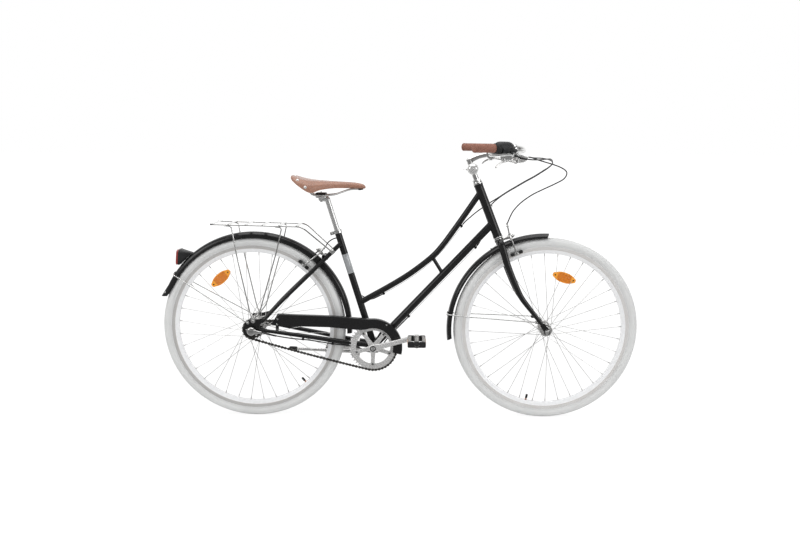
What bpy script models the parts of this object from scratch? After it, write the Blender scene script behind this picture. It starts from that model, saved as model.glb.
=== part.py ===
"""City bike with a low curved top tube, mudguards, a rear rack, hub gear and sidepull brakes.

Each sub-part is a closed solid of its own. Metres, +X forward, +Y to the rider's left, +Z up.
The wheels stand on Z = 0 and the saddle, the bar and the pedals stand as on a parked bike.
"""
import math

import bmesh
import bpy
from mathutils import Matrix, Vector

# Driving dimensions of the frame
REAR_AXLE = Vector((-0.5504, 0, 0.348))
FRONT_AXLE = Vector((0.5564, 0, 0.348))
BOTTOM_BRACKET = Vector((-0.0955, 0, 0.282))
HEAD_TOP = Vector((0.2925, 0, 0.8954))
HEAD_ANGLE = math.radians(68.5)
HEAD_LENGTH = 0.2097
SEAT_ANGLE = math.radians(72.8)
SEAT_TUBE_LENGTH = 0.4344
GAP = 0.0003

# Tube radii
HEAD_TUBE_RADIUS = 0.01675
HEAD_BORE_RADIUS = 0.0150
TOP_TUBE_RADIUS = 0.0111
DOWN_TUBE_RADIUS = 0.0143
STRUT_RADIUS = 0.0070
SEAT_TUBE_RADIUS = 0.0129
SEAT_BORE_RADIUS = 0.0116
SEATPOST_RADIUS = 0.0111
SHELL_RADIUS = 0.0205
SHELL_BORE_RADIUS = 0.0176
SHELL_HALF_WIDTH = 0.034
CHAINSTAY_RADIUS = 0.0095
SEATSTAY_RADIUS = 0.0080
STEERER_RADIUS = 0.0127
STEERER_BORE_RADIUS = 0.0117
QUILL_RADIUS = 0.0111
BAR_RADIUS = 0.0111
BAR_CENTRE_RADIUS = 0.0127
SLEEVE_BORE = BAR_RADIUS + 0.0006
GRIP_RADIUS = 0.0155

# Wheels
WHEEL_RADIUS = 0.348
WHEEL_STEPS = 40
RIM_INNER_RADIUS = 0.289
RIM_HALF_WIDTH = 0.012
SPOKE_RADIUS = 0.001
SPOKE_COUNT = 36
SPOKE_LEAN = math.radians(60)
FRONT_FLANGE_RADIUS = 0.0233
FRONT_FLANGE_Y = 0.0295
REAR_FLANGE_RADIUS = 0.0375
REAR_FLANGE_Y = 0.0285
FORK_HALF_WIDTH = 0.0503
STAY_HALF_WIDTH = 0.0600
DROPOUT_THICKNESS = 0.0050
AXLE_RADIUS = 0.0048

# Drive
CHAIN_PITCH = 0.0127
RING_TEETH = 44
SPROCKET_TEETH = 18
CHAIN_LINKS = 104
CHAIN_Y = -0.043
CHAIN_HALF_WIDTH = 0.0045
CRANK_LENGTH = 0.170
CRANK_ANGLE = math.radians(16.2)
BOLT_CIRCLE_RADIUS = 0.0645

FORWARD = Vector((1, 0, 0))
LEFT = Vector((0, 1, 0))
UP = Vector((0, 0, 1))
HEAD_DOWN = Vector((math.cos(HEAD_ANGLE), 0, -math.sin(HEAD_ANGLE)))
HEAD_FORWARD = Vector((math.sin(HEAD_ANGLE), 0, math.cos(HEAD_ANGLE)))
HEAD_BOTTOM = HEAD_TOP + HEAD_DOWN * HEAD_LENGTH
SEAT_UP = Vector((-math.cos(SEAT_ANGLE), 0, math.sin(SEAT_ANGLE)))
CRANK_FORWARD = Vector((math.cos(CRANK_ANGLE), 0, math.sin(CRANK_ANGLE)))


def clear_objects():
    for item in list(bpy.data.objects):
        bpy.data.objects.remove(item, do_unlink=True)


def new_collection(name):
    group = bpy.data.collections.new(name)
    bpy.context.scene.collection.children.link(group)
    return group


clear_objects()
PARTS = new_collection("city_bike")


# Materials
def finish(name, colour, roughness, metallic=0.0):
    material = bpy.data.materials.new(name)
    material.use_nodes = True
    shader = material.node_tree.nodes["Principled BSDF"]
    shader.inputs["Base Color"].default_value = (*colour, 1)
    shader.inputs["Roughness"].default_value = roughness
    shader.inputs["Metallic"].default_value = metallic
    material.diffuse_color = (*colour, 1)
    return material


BLACK_PAINT = finish("black_paint", (0.012, 0.012, 0.013), 0.22)
CHROME = finish("chrome", (0.80, 0.80, 0.80), 0.12, 1.0)
ALLOY = finish("polished_alloy", (0.72, 0.72, 0.73), 0.28, 1.0)
PALE_RIM = finish("pale_rim", (0.74, 0.75, 0.78), 0.35, 0.3)
PALE_RUBBER = finish("pale_rubber", (0.72, 0.73, 0.72), 0.65)
TAN_LEATHER = finish("tan_leather", (0.34, 0.13, 0.07), 0.5)
TAN_RUBBER = finish("tan_rubber", (0.32, 0.12, 0.07), 0.7)
BLACK_PLASTIC = finish("black_plastic", (0.02, 0.02, 0.021), 0.5)
BLACK_CASING = finish("black_casing", (0.015, 0.015, 0.016), 0.4)
AMBER = finish("amber_lens", (0.9, 0.36, 0.04), 0.2)
RED_LENS = finish("red_lens", (0.6, 0.02, 0.02), 0.2)
CHAIN_STEEL = finish("chain_steel", (0.20, 0.18, 0.16), 0.4, 1.0)


# Shape helpers
def frame_at(origin, along, side=LEFT):
    """A frame at origin with its Z along a direction and its Y as near as can be to side."""
    z = Vector(along).normalized()
    y = Vector(side) - z * z.dot(Vector(side))
    if y.length < 0.001:
        y = FORWARD - z * z.dot(FORWARD)
    y.normalize()
    x = y.cross(z)
    turn = Matrix((x, y, z)).transposed().to_4x4()
    return Matrix.Translation(origin) @ turn


def solid_from(mesh_data, place=Matrix()):
    """An object from a bmesh, its faces turned outwards."""
    bmesh.ops.recalc_face_normals(mesh_data, faces=mesh_data.faces)
    mesh = bpy.data.meshes.new("solid")
    mesh_data.to_mesh(mesh)
    mesh_data.free()
    item = bpy.data.objects.new("solid", mesh)
    item.matrix_world = place
    PARTS.objects.link(item)
    return item


def meshed(source, weld=0.00001):
    """The evaluated shape of a curve or of an object with modifiers, as a welded mesh object."""
    bpy.context.view_layer.update()
    graph = bpy.context.evaluated_depsgraph_get()
    mesh = bpy.data.meshes.new_from_object(source.evaluated_get(graph))
    welded = bmesh.new()
    welded.from_mesh(mesh)
    bmesh.ops.remove_doubles(welded, verts=welded.verts, dist=weld)
    result = solid_from(welded, source.matrix_world.copy())
    bpy.data.objects.remove(source)
    bpy.data.meshes.remove(mesh)
    return result


def combined(base, tools, operation):
    for tool in tools:
        change = base.modifiers.new(operation.lower(), "BOOLEAN")
        change.operation = operation
        change.solver = "EXACT"
        change.object = tool
    result = meshed(base, 0.000002)
    for tool in tools:
        bpy.data.objects.remove(tool)
    return result


def fused(base, *tools):
    return combined(base, tools, "UNION")


def cut(base, *tools):
    return combined(base, tools, "DIFFERENCE")


def bundled(items):
    """One object that holds several solids which don't touch."""
    together = bmesh.new()
    for item in items:
        copy = item.data.copy()
        copy.transform(item.matrix_world)
        together.from_mesh(copy)
        bpy.data.objects.remove(item)
    return solid_from(together)


def rod(radius, start, end, sides=12, end_radius=None):
    start = Vector(start)
    end = Vector(end)
    data = bmesh.new()
    bmesh.ops.create_cone(data, cap_ends=True, segments=sides, radius1=radius,
                          radius2=radius if end_radius is None else end_radius,
                          depth=(end - start).length)
    return solid_from(data, frame_at((start + end) / 2, end - start))


def block(size, place):
    data = bmesh.new()
    bmesh.ops.create_cube(data, size=1)
    bmesh.ops.scale(data, vec=size, verts=data.verts)
    return solid_from(data, place)


def turned(profile, place, steps=16, ring=False, phase=0.0):
    """A profile of (radius, height) points turned about the place's Z."""
    mesh = bpy.data.meshes.new("profile")
    edges = [(i, i + 1) for i in range(len(profile) - 1)]
    if ring:
        edges.append((len(profile) - 1, 0))
    mesh.from_pydata([(radius, 0, height) for radius, height in profile], edges, [])
    item = bpy.data.objects.new("profile", mesh)
    item.matrix_world = place @ Matrix.Rotation(phase, 4, "Z")
    PARTS.objects.link(item)
    screw = item.modifiers.new("turn", "SCREW")
    screw.steps = steps
    screw.render_steps = steps
    screw.use_merge_vertices = True
    screw.merge_threshold = 0.00001
    return meshed(item)


def sleeve(inner, outer, start, end, sides=16):
    """A hollow cylinder between two points."""
    start = Vector(start)
    end = Vector(end)
    length = (end - start).length
    profile = [(outer, length), (outer, 0), (inner, 0), (inner, length)]
    return turned(profile, frame_at(start, end - start), sides, ring=True)


def spaced(points, count):
    """Points at even distances along a run of points."""
    lengths = [0.0]
    for a, b in zip(points, points[1:]):
        lengths.append(lengths[-1] + (b - a).length)
    result = []
    span = 0
    for k in range(count):
        goal = lengths[-1] * k / (count - 1)
        while span < len(points) - 2 and lengths[span + 1] < goal:
            span += 1
        part_way = (goal - lengths[span]) / (lengths[span + 1] - lengths[span])
        result.append(points[span].lerp(points[span + 1], part_way))
    return result


def smooth_path(points, count):
    """Evenly spaced points on a smooth curve through the given ones."""
    knots = [Vector(point) for point in points]
    padded = [2 * knots[0] - knots[1], *knots, 2 * knots[-1] - knots[-2]]
    fine = []
    for i in range(len(knots) - 1):
        a, b, c, d = padded[i:i + 4]
        for k in range(12):
            t = k / 12
            bend = (2 * a - 5 * b + 4 * c - d) * t * t + (3 * b - a - 3 * c + d) * t ** 3
            fine.append(0.5 * (2 * b + (c - a) * t + bend))
    fine.append(knots[-1])
    return spaced(fine, count)


def tube(points, radius, bevel=2, taper=None):
    """A round tube along points. The taper gives the share of the radius at each point."""
    data = bpy.data.curves.new("tube", "CURVE")
    data.dimensions = "3D"
    data.bevel_depth = radius
    data.bevel_resolution = bevel
    data.use_fill_caps = True
    spline = data.splines.new("POLY")
    spline.points.add(len(points) - 1)
    for i, point in enumerate(points):
        spline.points[i].co = (*point, 1)
        spline.points[i].radius = 1 if taper is None else taper[i]
    item = bpy.data.objects.new("tube", data)
    PARTS.objects.link(item)
    return meshed(item)


def plate(outline, thickness, place, holes=()):
    """A flat plate from an outline in the place's XY, centred on it."""
    data = bpy.data.curves.new("plate", "CURVE")
    data.dimensions = "2D"
    data.fill_mode = "BOTH"
    data.extrude = thickness / 2
    for loop in (outline, *holes):
        spline = data.splines.new("POLY")
        spline.points.add(len(loop) - 1)
        for i, (x, y) in enumerate(loop):
            spline.points[i].co = (x, y, 0, 1)
        spline.use_cyclic_u = True
    item = bpy.data.objects.new("plate", data)
    item.matrix_world = place
    PARTS.objects.link(item)
    return meshed(item)


def side_place(y):
    """A plane seen from the drive side: its X is forward, its Y is up, and it lies at y."""
    return Matrix.Translation((0, y, 0)) @ Matrix.Rotation(math.pi / 2, 4, "X")


def loft(rings):
    """A closed solid through rings of points."""
    data = bmesh.new()
    layers = [[data.verts.new(point) for point in ring] for ring in rings]
    for low, high in zip(layers, layers[1:]):
        for i in range(len(low)):
            j = (i + 1) % len(low)
            data.faces.new((low[i], low[j], high[j], high[i]))
    data.faces.new(layers[0])
    data.faces.new(layers[-1])
    return solid_from(data)


def oval_sweep(points, depths, widths, sides=10):
    """A loft of ovals along points: depths in the plane of the bike, widths across it."""
    rings = []
    for i, point in enumerate(points):
        before = points[max(i - 1, 0)]
        after = points[min(i + 1, len(points) - 1)]
        place = frame_at(point, after - before)
        ring = []
        for k in range(sides):
            angle = math.tau * (k + 0.5) / sides
            ring.append(place @ Vector((depths[i] * math.cos(angle), widths[i] * math.sin(angle), 0)))
        rings.append(ring)
    return loft(rings)


def ribbon(points, width, thickness, place):
    """A flat bar that follows points in the place's XY, on the plus side of its Z."""
    path = [Vector((*point, 0)) for point in points]
    rings = []
    for i, point in enumerate(path):
        run = (path[min(i + 1, len(path) - 1)] - path[max(i - 1, 0)]).normalized()
        across = Vector((-run.y, run.x, 0)) * width / 2
        corners = [point + across, point - across]
        ring = [corners[0], corners[1], corners[1] + UP * thickness, corners[0] + UP * thickness]
        rings.append([place @ corner for corner in ring])
    return loft(rings)


def shell(sections, thickness):
    """An open surface through sections, thickened inwards."""
    data = bmesh.new()
    layers = [[data.verts.new(point) for point in section] for section in sections]
    for low, high in zip(layers, layers[1:]):
        for i in range(len(low) - 1):
            data.faces.new((low[i], low[i + 1], high[i + 1], high[i]))
    mesh = bpy.data.meshes.new("shell")
    data.to_mesh(mesh)
    data.free()
    item = bpy.data.objects.new("shell", mesh)
    PARTS.objects.link(item)
    wall = item.modifiers.new("wall", "SOLIDIFY")
    wall.thickness = thickness
    wall.offset = -1
    wall.use_even_offset = True
    return meshed(item)


def around(centre, angle, radius, y=0.0):
    """A point at an angle and radius about an axle, seen from the drive side."""
    return Vector((centre.x + radius * math.cos(angle), y, centre.z + radius * math.sin(angle)))


def mirrored(point):
    return Vector((point[0], -point[1], point[2]))


# Joint axes, as empties that the moving pieces hang from
PIVOTS = {}


def pivot(name, point, parent=None):
    empty = bpy.data.objects.new("pivot_" + name, None)
    empty.empty_display_size = 0.03
    empty.location = point
    if parent:
        empty.parent = PIVOTS[parent]
        empty.location = Vector(point) - PIVOTS[parent].matrix_world.translation
    PARTS.objects.link(empty)
    PIVOTS[name] = empty
    bpy.context.view_layer.update()


def part(name, item, material, body=None):
    """Names a finished solid, gives it its material and hangs it from its joint axis."""
    item.name = name
    item.data.name = name
    item.data.materials.clear()
    item.data.materials.append(material)
    item.data.shade_smooth()
    item.data.set_sharp_from_angle(angle=math.radians(35))
    if body:
        bpy.context.view_layer.update()
        item.parent = PIVOTS[body]
        item.matrix_parent_inverse = PIVOTS[body].matrix_world.inverted()
    return item


# Handlebar line, from the clamp to the end of the right grip
BAR_CLAMP = Vector((0.333, 0, 0.993))
BAR_BENDS = [(0.333, 0, 0.993), (0.333, -0.022, 0.993), (0.343, -0.040, 0.994), (0.383, -0.073, 1.002),
             (0.420, -0.103, 1.012), (0.4345, -0.133, 1.019), (0.427, -0.164, 1.024), (0.411, -0.182, 1.027)]
GRIP_END = Vector((0.252, -0.280, 1.029))
GRIP_INBOARD = (Vector(BAR_BENDS[-1]) - GRIP_END).normalized()
LEVER_CLAMP_AT = 0.171
LEVER_DROP = 0.045
BARREL_RISE = 0.0140
BARREL_LENGTH = 0.0400
LEVER_DOWN = Vector((0.152, -0.267, -0.9515)).normalized()
SHIFT_EXIT = (LEVER_DOWN * 0.35 - GRIP_INBOARD.cross(LEVER_DOWN).normalized() * 0.94).normalized()


def on_grip(distance, side):
    """A point on the bar's axis at a distance from the grip's end; side is -1 right, 1 left."""
    point = GRIP_END + GRIP_INBOARD * distance
    return Vector((point.x, -point.y * side, point.z))


def to_side(vector, side):
    return Vector((vector[0], -vector[1] * side, vector[2]))


# Brake calipers: both hang from a bolt, with the same arms
FRONT_BOLT = HEAD_BOTTOM + HEAD_DOWN * 0.017
FRONT_BOLT_AXIS = HEAD_FORWARD
REAR_BRIDGE = Vector((-0.280, 0, 0.6226))
REAR_BOLT_AXIS = (UP * 0.702 - FORWARD * 0.712).normalized()
BRIDGE_RADIUS = 0.0070
CALIPERS = {
    "front": {"bolt": FRONT_BOLT, "axis": FRONT_BOLT_AXIS, "offset": 0.0270, "reach": 0.0657,
              "pad_ahead": 0.0434, "rise": 0.0330, "barrel": 0.0160, "anchor": 0.0140},
    "rear": {"bolt": REAR_BRIDGE, "axis": REAR_BOLT_AXIS, "offset": 0.0190, "reach": 0.0760,
             "pad_ahead": 0.0340, "rise": 0.0150, "barrel": 0.0090, "anchor": 0.0060},
}

# Kickstand: the leg lies back under the left chain stay and swings down and out
KICKSTAND_PIVOT = Vector((-0.165, 0.030, 0.245))
KICKSTAND_FOLDED = Vector((-0.265, 0.042, 0.0)).normalized()
KICKSTAND_DEPLOYED = Vector((-0.020, 0.160, -0.225)).normalized()


def kickstand_axis():
    swing = KICKSTAND_FOLDED - KICKSTAND_DEPLOYED
    return (LEFT - swing * (LEFT.dot(swing) / swing.dot(swing))).normalized()


def make_pivots():
    pivot("steering", HEAD_TOP)
    pivot("front_wheel", FRONT_AXLE, "steering")
    pivot("rear_wheel", REAR_AXLE)
    pivot("sprocket", REAR_AXLE)
    pivot("crank", BOTTOM_BRACKET)
    pivot("pedal_right", pedal_centre(-1), "crank")
    pivot("pedal_left", pedal_centre(1), "crank")
    pivot("seat", BOTTOM_BRACKET + SEAT_UP * SEAT_TUBE_LENGTH)
    pivot("kickstand", KICKSTAND_PIVOT)
    pivot("twist_shifter", on_grip(0.109, -1), "steering")
    pivot("bell_lever", BELL_LEVER_ROOT, "steering")
    for side, word in ((-1, "right"), (1, "left")):
        pivot("brake_lever_" + word, lever_pivot(side), "steering")
        pivot("front_brake_arm_" + word, FRONT_BOLT, "steering")
        pivot("rear_brake_arm_" + word, REAR_BRIDGE)


# Frame tubes
TOP_TUBE_LINE = [(0.3036, 0, 0.8673), (0.2491, 0, 0.7862), (0.2060, 0, 0.7240), (0.1651, 0, 0.6673),
                 (0.1240, 0, 0.6215), (0.0478, 0, 0.5615), (-0.0256, 0, 0.5146), (-0.1060, 0, 0.4688),
                 (-0.1462, 0, 0.4459)]
TOP_TUBE_STEPS = 11
DOWN_TUBE_LINE = [Vector((0.3498, 0, 0.7499)), Vector((-0.0930, 0, 0.2790))]
STRUT_LINE = [Vector((0.1257, 0, 0.6221)), Vector((0.1665, 0, 0.5560))]


def head_tube_space():
    return rod(HEAD_TUBE_RADIUS + GAP, HEAD_TOP - HEAD_DOWN * 0.05, HEAD_BOTTOM + HEAD_DOWN * 0.05, 20)


def seat_tube_space():
    return rod(SEAT_TUBE_RADIUS + GAP, BOTTOM_BRACKET, BOTTOM_BRACKET + SEAT_UP * 0.6, 20)


def shell_space():
    half = LEFT * (SHELL_HALF_WIDTH + 0.01)
    return rod(SHELL_RADIUS + GAP, BOTTOM_BRACKET - half, BOTTOM_BRACKET + half, 20)


def top_tube_body(extra=0.0):
    return tube(smooth_path(TOP_TUBE_LINE, TOP_TUBE_STEPS), TOP_TUBE_RADIUS + extra, 3)


def make_head_tube():
    profile = [(HEAD_TUBE_RADIUS, 0), (HEAD_TUBE_RADIUS, -HEAD_LENGTH), (HEAD_BORE_RADIUS, -HEAD_LENGTH),
               (HEAD_BORE_RADIUS, 0)]
    part("head_tube", turned(profile, frame_at(HEAD_TOP, -HEAD_DOWN), 16, ring=True), BLACK_PAINT)


def make_top_tube():
    item = cut(top_tube_body(), head_tube_space(), seat_tube_space())
    part("top_tube", item, BLACK_PAINT)


def make_down_tube():
    item = rod(DOWN_TUBE_RADIUS, *DOWN_TUBE_LINE, 12)
    item = fused(item, rod(STRUT_RADIUS, *STRUT_LINE, 8))
    item = cut(item, head_tube_space(), seat_tube_space(), shell_space(), top_tube_body(GAP * 1.1))
    part("down_tube", item, BLACK_PAINT)


def make_seat_tube():
    half = LEFT * SHELL_HALF_WIDTH
    top = BOTTOM_BRACKET + SEAT_UP * SEAT_TUBE_LENGTH
    item = fused(rod(SEAT_TUBE_RADIUS, BOTTOM_BRACKET, top, 16),
                 rod(SHELL_RADIUS, BOTTOM_BRACKET - half, BOTTOM_BRACKET + half, 16))
    item = cut(item, rod(SHELL_BORE_RADIUS, BOTTOM_BRACKET - half * 1.2, BOTTOM_BRACKET + half * 1.2, 16),
               rod(SEAT_BORE_RADIUS, BOTTOM_BRACKET + SEAT_UP * 0.16, top + SEAT_UP * 0.01, 16))
    part("seat_tube", item, BLACK_PAINT)


CHAINSTAY_LINE = [(-0.1000, 0.0200, 0.2830), (-0.2000, 0.0305, 0.2970), (-0.3170, 0.0425, 0.3180),
                  (-0.4700, 0.0585, 0.3430), (-0.5250, 0.0625, 0.3510)]
SEATSTAY_LINE = [(-0.2254, 0.0205, 0.6650), (-0.3529, 0.0440, 0.5418), (-0.4437, 0.0560, 0.4535),
                 (-0.5020, 0.0625, 0.3910)]
SEATSTAY_END_RUN = (Vector(SEATSTAY_LINE[-1]) - Vector(SEATSTAY_LINE[-2])).normalized()
DROPOUT_OUTLINE = [(-0.4963, 0.3853), (-0.5080, 0.3963), (-0.5300, 0.3905), (-0.5700, 0.3875),
                   (-0.5760, 0.3700), (-0.5840, 0.3570), (-0.5840, 0.3400), (-0.5600, 0.3300),
                   (-0.5200, 0.3340), (-0.4860, 0.3440), (-0.4800, 0.3560)]
KICKSTAND_PLATE_X = -0.166


def make_chainstays():
    pieces = []
    for side in (-1, 1):
        line = [Vector((x, y * side, z)) for x, y, z in CHAINSTAY_LINE]
        taper = [1.0, 1.0, 0.9, 0.8, 0.66]
        pieces.append(tube(smooth_path(line, len(taper)), CHAINSTAY_RADIUS, 2, taper))
        middle = side * (STAY_HALF_WIDTH + DROPOUT_THICKNESS / 2)
        pieces.append(plate(DROPOUT_OUTLINE, DROPOUT_THICKNESS, side_place(middle)))
    bridge = block((0.034, 0.060, 0.006), Matrix.Translation((KICKSTAND_PLATE_X, 0, 0.2890)))
    mount = block((0.026, 0.030, 0.052), Matrix.Translation((KICKSTAND_PLATE_X, 0.003, 0.2620)))
    item = fused(pieces[0], pieces[1], bridge, mount, pieces[2], pieces[3])
    slots = []
    for side in (-1, 1):
        slot_centre = (REAR_AXLE.x - 0.022, side * 0.0625, REAR_AXLE.z)
        slots.append(block((0.0542, 0.02, 2 * AXLE_RADIUS + 0.0008), Matrix.Translation(slot_centre)))
    axis = kickstand_axis()
    barrel = rod(0.0125, KICKSTAND_PIVOT - axis * 0.0110, KICKSTAND_PIVOT + axis * 0.03, 14)
    item = cut(item, shell_space(), *slots, barrel)
    part("chainstays", item, BLACK_PAINT)


def make_seatstays():
    pieces = []
    for side in (-1, 1):
        line = [Vector((x, y * side, z)) for x, y, z in SEATSTAY_LINE]
        line[-1] = line[-1] - to_side(SEATSTAY_END_RUN, -side) * GAP
        taper = [1.0, 1.0, 0.97, 0.92, 0.88]
        pieces.append(tube(smooth_path(line, len(taper)), SEATSTAY_RADIUS, 2, taper))
    bridge = rod(BRIDGE_RADIUS, REAR_BRIDGE - LEFT * 0.030, REAR_BRIDGE + LEFT * 0.030, 10)
    bolt = rod(0.0030, REAR_BRIDGE, REAR_BRIDGE + REAR_BOLT_AXIS * 0.0330, 8)
    item = fused(pieces[0], bridge, pieces[1], bolt)
    item = cut(item, seat_tube_space())
    part("seatstays", item, BLACK_PAINT)


def make_seat_clamp():
    top = BOTTOM_BRACKET + SEAT_UP * SEAT_TUBE_LENGTH
    ring = sleeve(SEAT_TUBE_RADIUS + GAP, 0.0172, top - SEAT_UP * 0.0125, top - SEAT_UP * 0.0005)
    ears = block((0.016, 0.018, 0.011), frame_at(top - SEAT_UP * 0.0065 - HEAD_FORWARD * 0.0220, SEAT_UP))
    item = fused(ring, ears)
    space = rod(SEAT_TUBE_RADIUS + GAP, top - SEAT_UP * 0.03, top + SEAT_UP * 0.02, 16)
    part("seat_clamp", cut(item, space), CHROME)


def make_headset():
    upper = [(0.0172, 0.0100), (0.0190, 0.0070), (0.0190, 0.0003), (HEAD_BORE_RADIUS, 0.0003),
             (HEAD_BORE_RADIUS, 0.0100)]
    part("headset_upper_cup", turned(upper, frame_at(HEAD_TOP, -HEAD_DOWN), 16, ring=True), CHROME)
    lower = [(0.0180, 0.0075), (0.0195, 0.0045), (0.0195, 0.0003), (HEAD_BORE_RADIUS, 0.0003),
             (HEAD_BORE_RADIUS, 0.0075)]
    part("headset_lower_cup", turned(lower, frame_at(HEAD_BOTTOM, HEAD_DOWN), 16, ring=True), CHROME)


def make_bottom_bracket():
    half = LEFT * (SHELL_HALF_WIDTH + 0.0005)
    item = sleeve(0.0092, SHELL_BORE_RADIUS - GAP - 0.0001, BOTTOM_BRACKET - half, BOTTOM_BRACKET + half)
    part("bottom_bracket", item, CHROME)


# Mudguards
FENDER_HALF_WIDTH = 0.021
FENDER_WALL = 0.0012


def fender_section(centre, angle, radius, skirt):
    """Across a mudguard: two skirts and a crown."""
    across = [(-FENDER_HALF_WIDTH, -skirt), (-0.0180, -0.0070), (0, 0), (0.0180, -0.0070),
              (FENDER_HALF_WIDTH, -skirt)]
    return [around(centre, angle, radius + drop, y) for y, drop in across]


def make_rear_fender():
    centre = REAR_AXLE + FORWARD * 0.005 - UP * 0.001
    sections = []
    steps = 17
    start = math.radians(-3)
    straight_at = math.radians(153)
    for k in range(steps):
        angle = start + (straight_at - start) * k / (steps - 1)
        sections.append(fender_section(centre, angle, 0.3685, 0.0230))
    tip_section = fender_section(centre, math.radians(161.3), 0.3782, 0.0205)
    sections.append(tip_section)
    part("rear_fender", shell(sections, FENDER_WALL), BLACK_PAINT)


def make_front_fender():
    centre = FRONT_AXLE - FORWARD * 0.010
    steps = 12
    start = math.radians(89.5)
    end = math.radians(187.4)
    sections = []
    for k in range(steps):
        angle = start + (end - start) * k / (steps - 1)
        sections.append(fender_section(centre, angle, 0.3645, 0.0150))
    part("front_fender", shell(sections, FENDER_WALL), BLACK_PAINT, "steering")


STAY_WIRE_RADIUS = 0.0021


def stay_wire(centre, angle, radius, bolt):
    """A wire from a bolt, over the mudguard's crown and back to the other side's bolt."""
    low = around(centre, angle, radius - 0.0260, 0.0256)
    shoulder = around(centre, angle, radius - 0.0035, 0.0244)
    crown = around(centre, angle, radius + STAY_WIRE_RADIUS + 0.0006, 0.0085)
    bolt = Vector(bolt)
    straight = bolt + Vector((low.x - bolt.x, 0, low.z - bolt.z)).normalized() * 0.020
    half = [bolt, straight, low, shoulder, crown]
    points = half + [mirrored(point) for point in reversed(half)]
    return tube(points, STAY_WIRE_RADIUS, 1)


def make_fender_stays():
    rear_bolt = (-0.5638, STAY_HALF_WIDTH + DROPOUT_THICKNESS + STAY_WIRE_RADIUS + GAP, 0.3786)
    centre = REAR_AXLE + FORWARD * 0.005 - UP * 0.001
    part("rear_fender_stay", stay_wire(centre, math.radians(146.0), 0.3685, rear_bolt), CHROME)
    front_bolt = (0.5155, 0.0545, 0.3835)
    centre = FRONT_AXLE - FORWARD * 0.010
    item = stay_wire(centre, math.radians(171.0), 0.3645, front_bolt)
    part("front_fender_stay", item, CHROME, "steering")


def make_tail_reflector():
    """A housing that widens from the mudguard's crown to an upright lens."""
    centre = REAR_AXLE + FORWARD * 0.005 - UP * 0.001
    out = around(Vector((0, 0, 0)), math.radians(131.0), 1.0)
    base_middle = around(centre, math.radians(131.0), 0.3685 + GAP + 0.0005)
    along = Vector((-out.z, 0, out.x))
    base = []
    for across, run in ((-1, -1), (-1, 1), (1, 1), (1, -1)):
        base.append(base_middle + LEFT * (0.012 * across) + along * (0.014 * run))
    lens_low = Vector((-0.8346, 0, 0.5910))
    lens_high = Vector((-0.8280, 0, 0.6460))
    lens = [lens_high - LEFT * 0.030, lens_low - LEFT * 0.030, lens_low + LEFT * 0.030, lens_high + LEFT * 0.030]
    back = [point + FORWARD * 0.012 for point in lens]
    part("tail_reflector", loft([base, back, lens]), RED_LENS)


# Rear rack
RACK_HALF_WIDTH = 0.0610
RACK_ROD_RADIUS = 0.0028
DECK_REAR = Vector((-0.6930, RACK_HALF_WIDTH, 0.7474))
DECK_FRONT = Vector((-0.3572, RACK_HALF_WIDTH, 0.7398))
RACK_STRUT_END = Vector((-0.2519, 0.0368, 0.6469))
SLAT_PLACES = (0.03, 0.26, 0.50, 0.74, 0.97)
SLAT_WIDTH = 0.014
SLAT_THICKNESS = 0.0024
RACK_FOOT = Vector((-0.5440, 0.0676, 0.3860))
REAR_LEG = [(-0.6164, 0.0612, 0.7456), (-0.5980, 0.0625, 0.6268), (-0.5554, 0.0660, 0.4199),
            (-0.5460, 0.0676, 0.3900)]
FRONT_LEG = [(-0.4299, 0.0612, 0.7414), (-0.4499, 0.0625, 0.6509), (-0.5173, 0.0660, 0.4221),
             (-0.5420, 0.0676, 0.3900)]


def make_rear_rack():
    pieces = []
    for side in (-1, 1):
        rail = [RACK_STRUT_END, DECK_FRONT, DECK_REAR]
        pieces.append(tube([to_side(point, -side) for point in rail], RACK_ROD_RADIUS, 2))
        for leg in (REAR_LEG, FRONT_LEG):
            pieces.append(tube([to_side(point, -side) for point in leg], RACK_ROD_RADIUS - 0.0003, 1))
        foot = to_side(RACK_FOOT, -side)
        pieces.append(rod(0.0085, foot - LEFT * 0.0018, foot + LEFT * 0.0018, 8))
    for share in SLAT_PLACES:
        middle = DECK_REAR.lerp(DECK_FRONT, share)
        middle = Vector((middle.x, 0, middle.z + RACK_ROD_RADIUS * 0.6))
        size = (SLAT_WIDTH, 2 * RACK_HALF_WIDTH + 0.002, SLAT_THICKNESS)
        pieces.append(block(size, Matrix.Translation(middle)))
    part("rear_rack", fused(*pieces), CHROME)


# Chain guard
GUARD_Y = -0.05225
GUARD_THICKNESS = 0.0015
GUARD_INNER_RADIUS = 0.0755
GUARD_OUTER_RADIUS = 0.1100
GUARD_REAR = [(-0.1520, 0.3502), (-0.2536, 0.3599), (-0.4570, 0.3647), (-0.4777, 0.3737), (-0.4560, 0.4084),
              (-0.2449, 0.4022)]
GUARD_FRONT_ANGLE = math.radians(-14)


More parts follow.
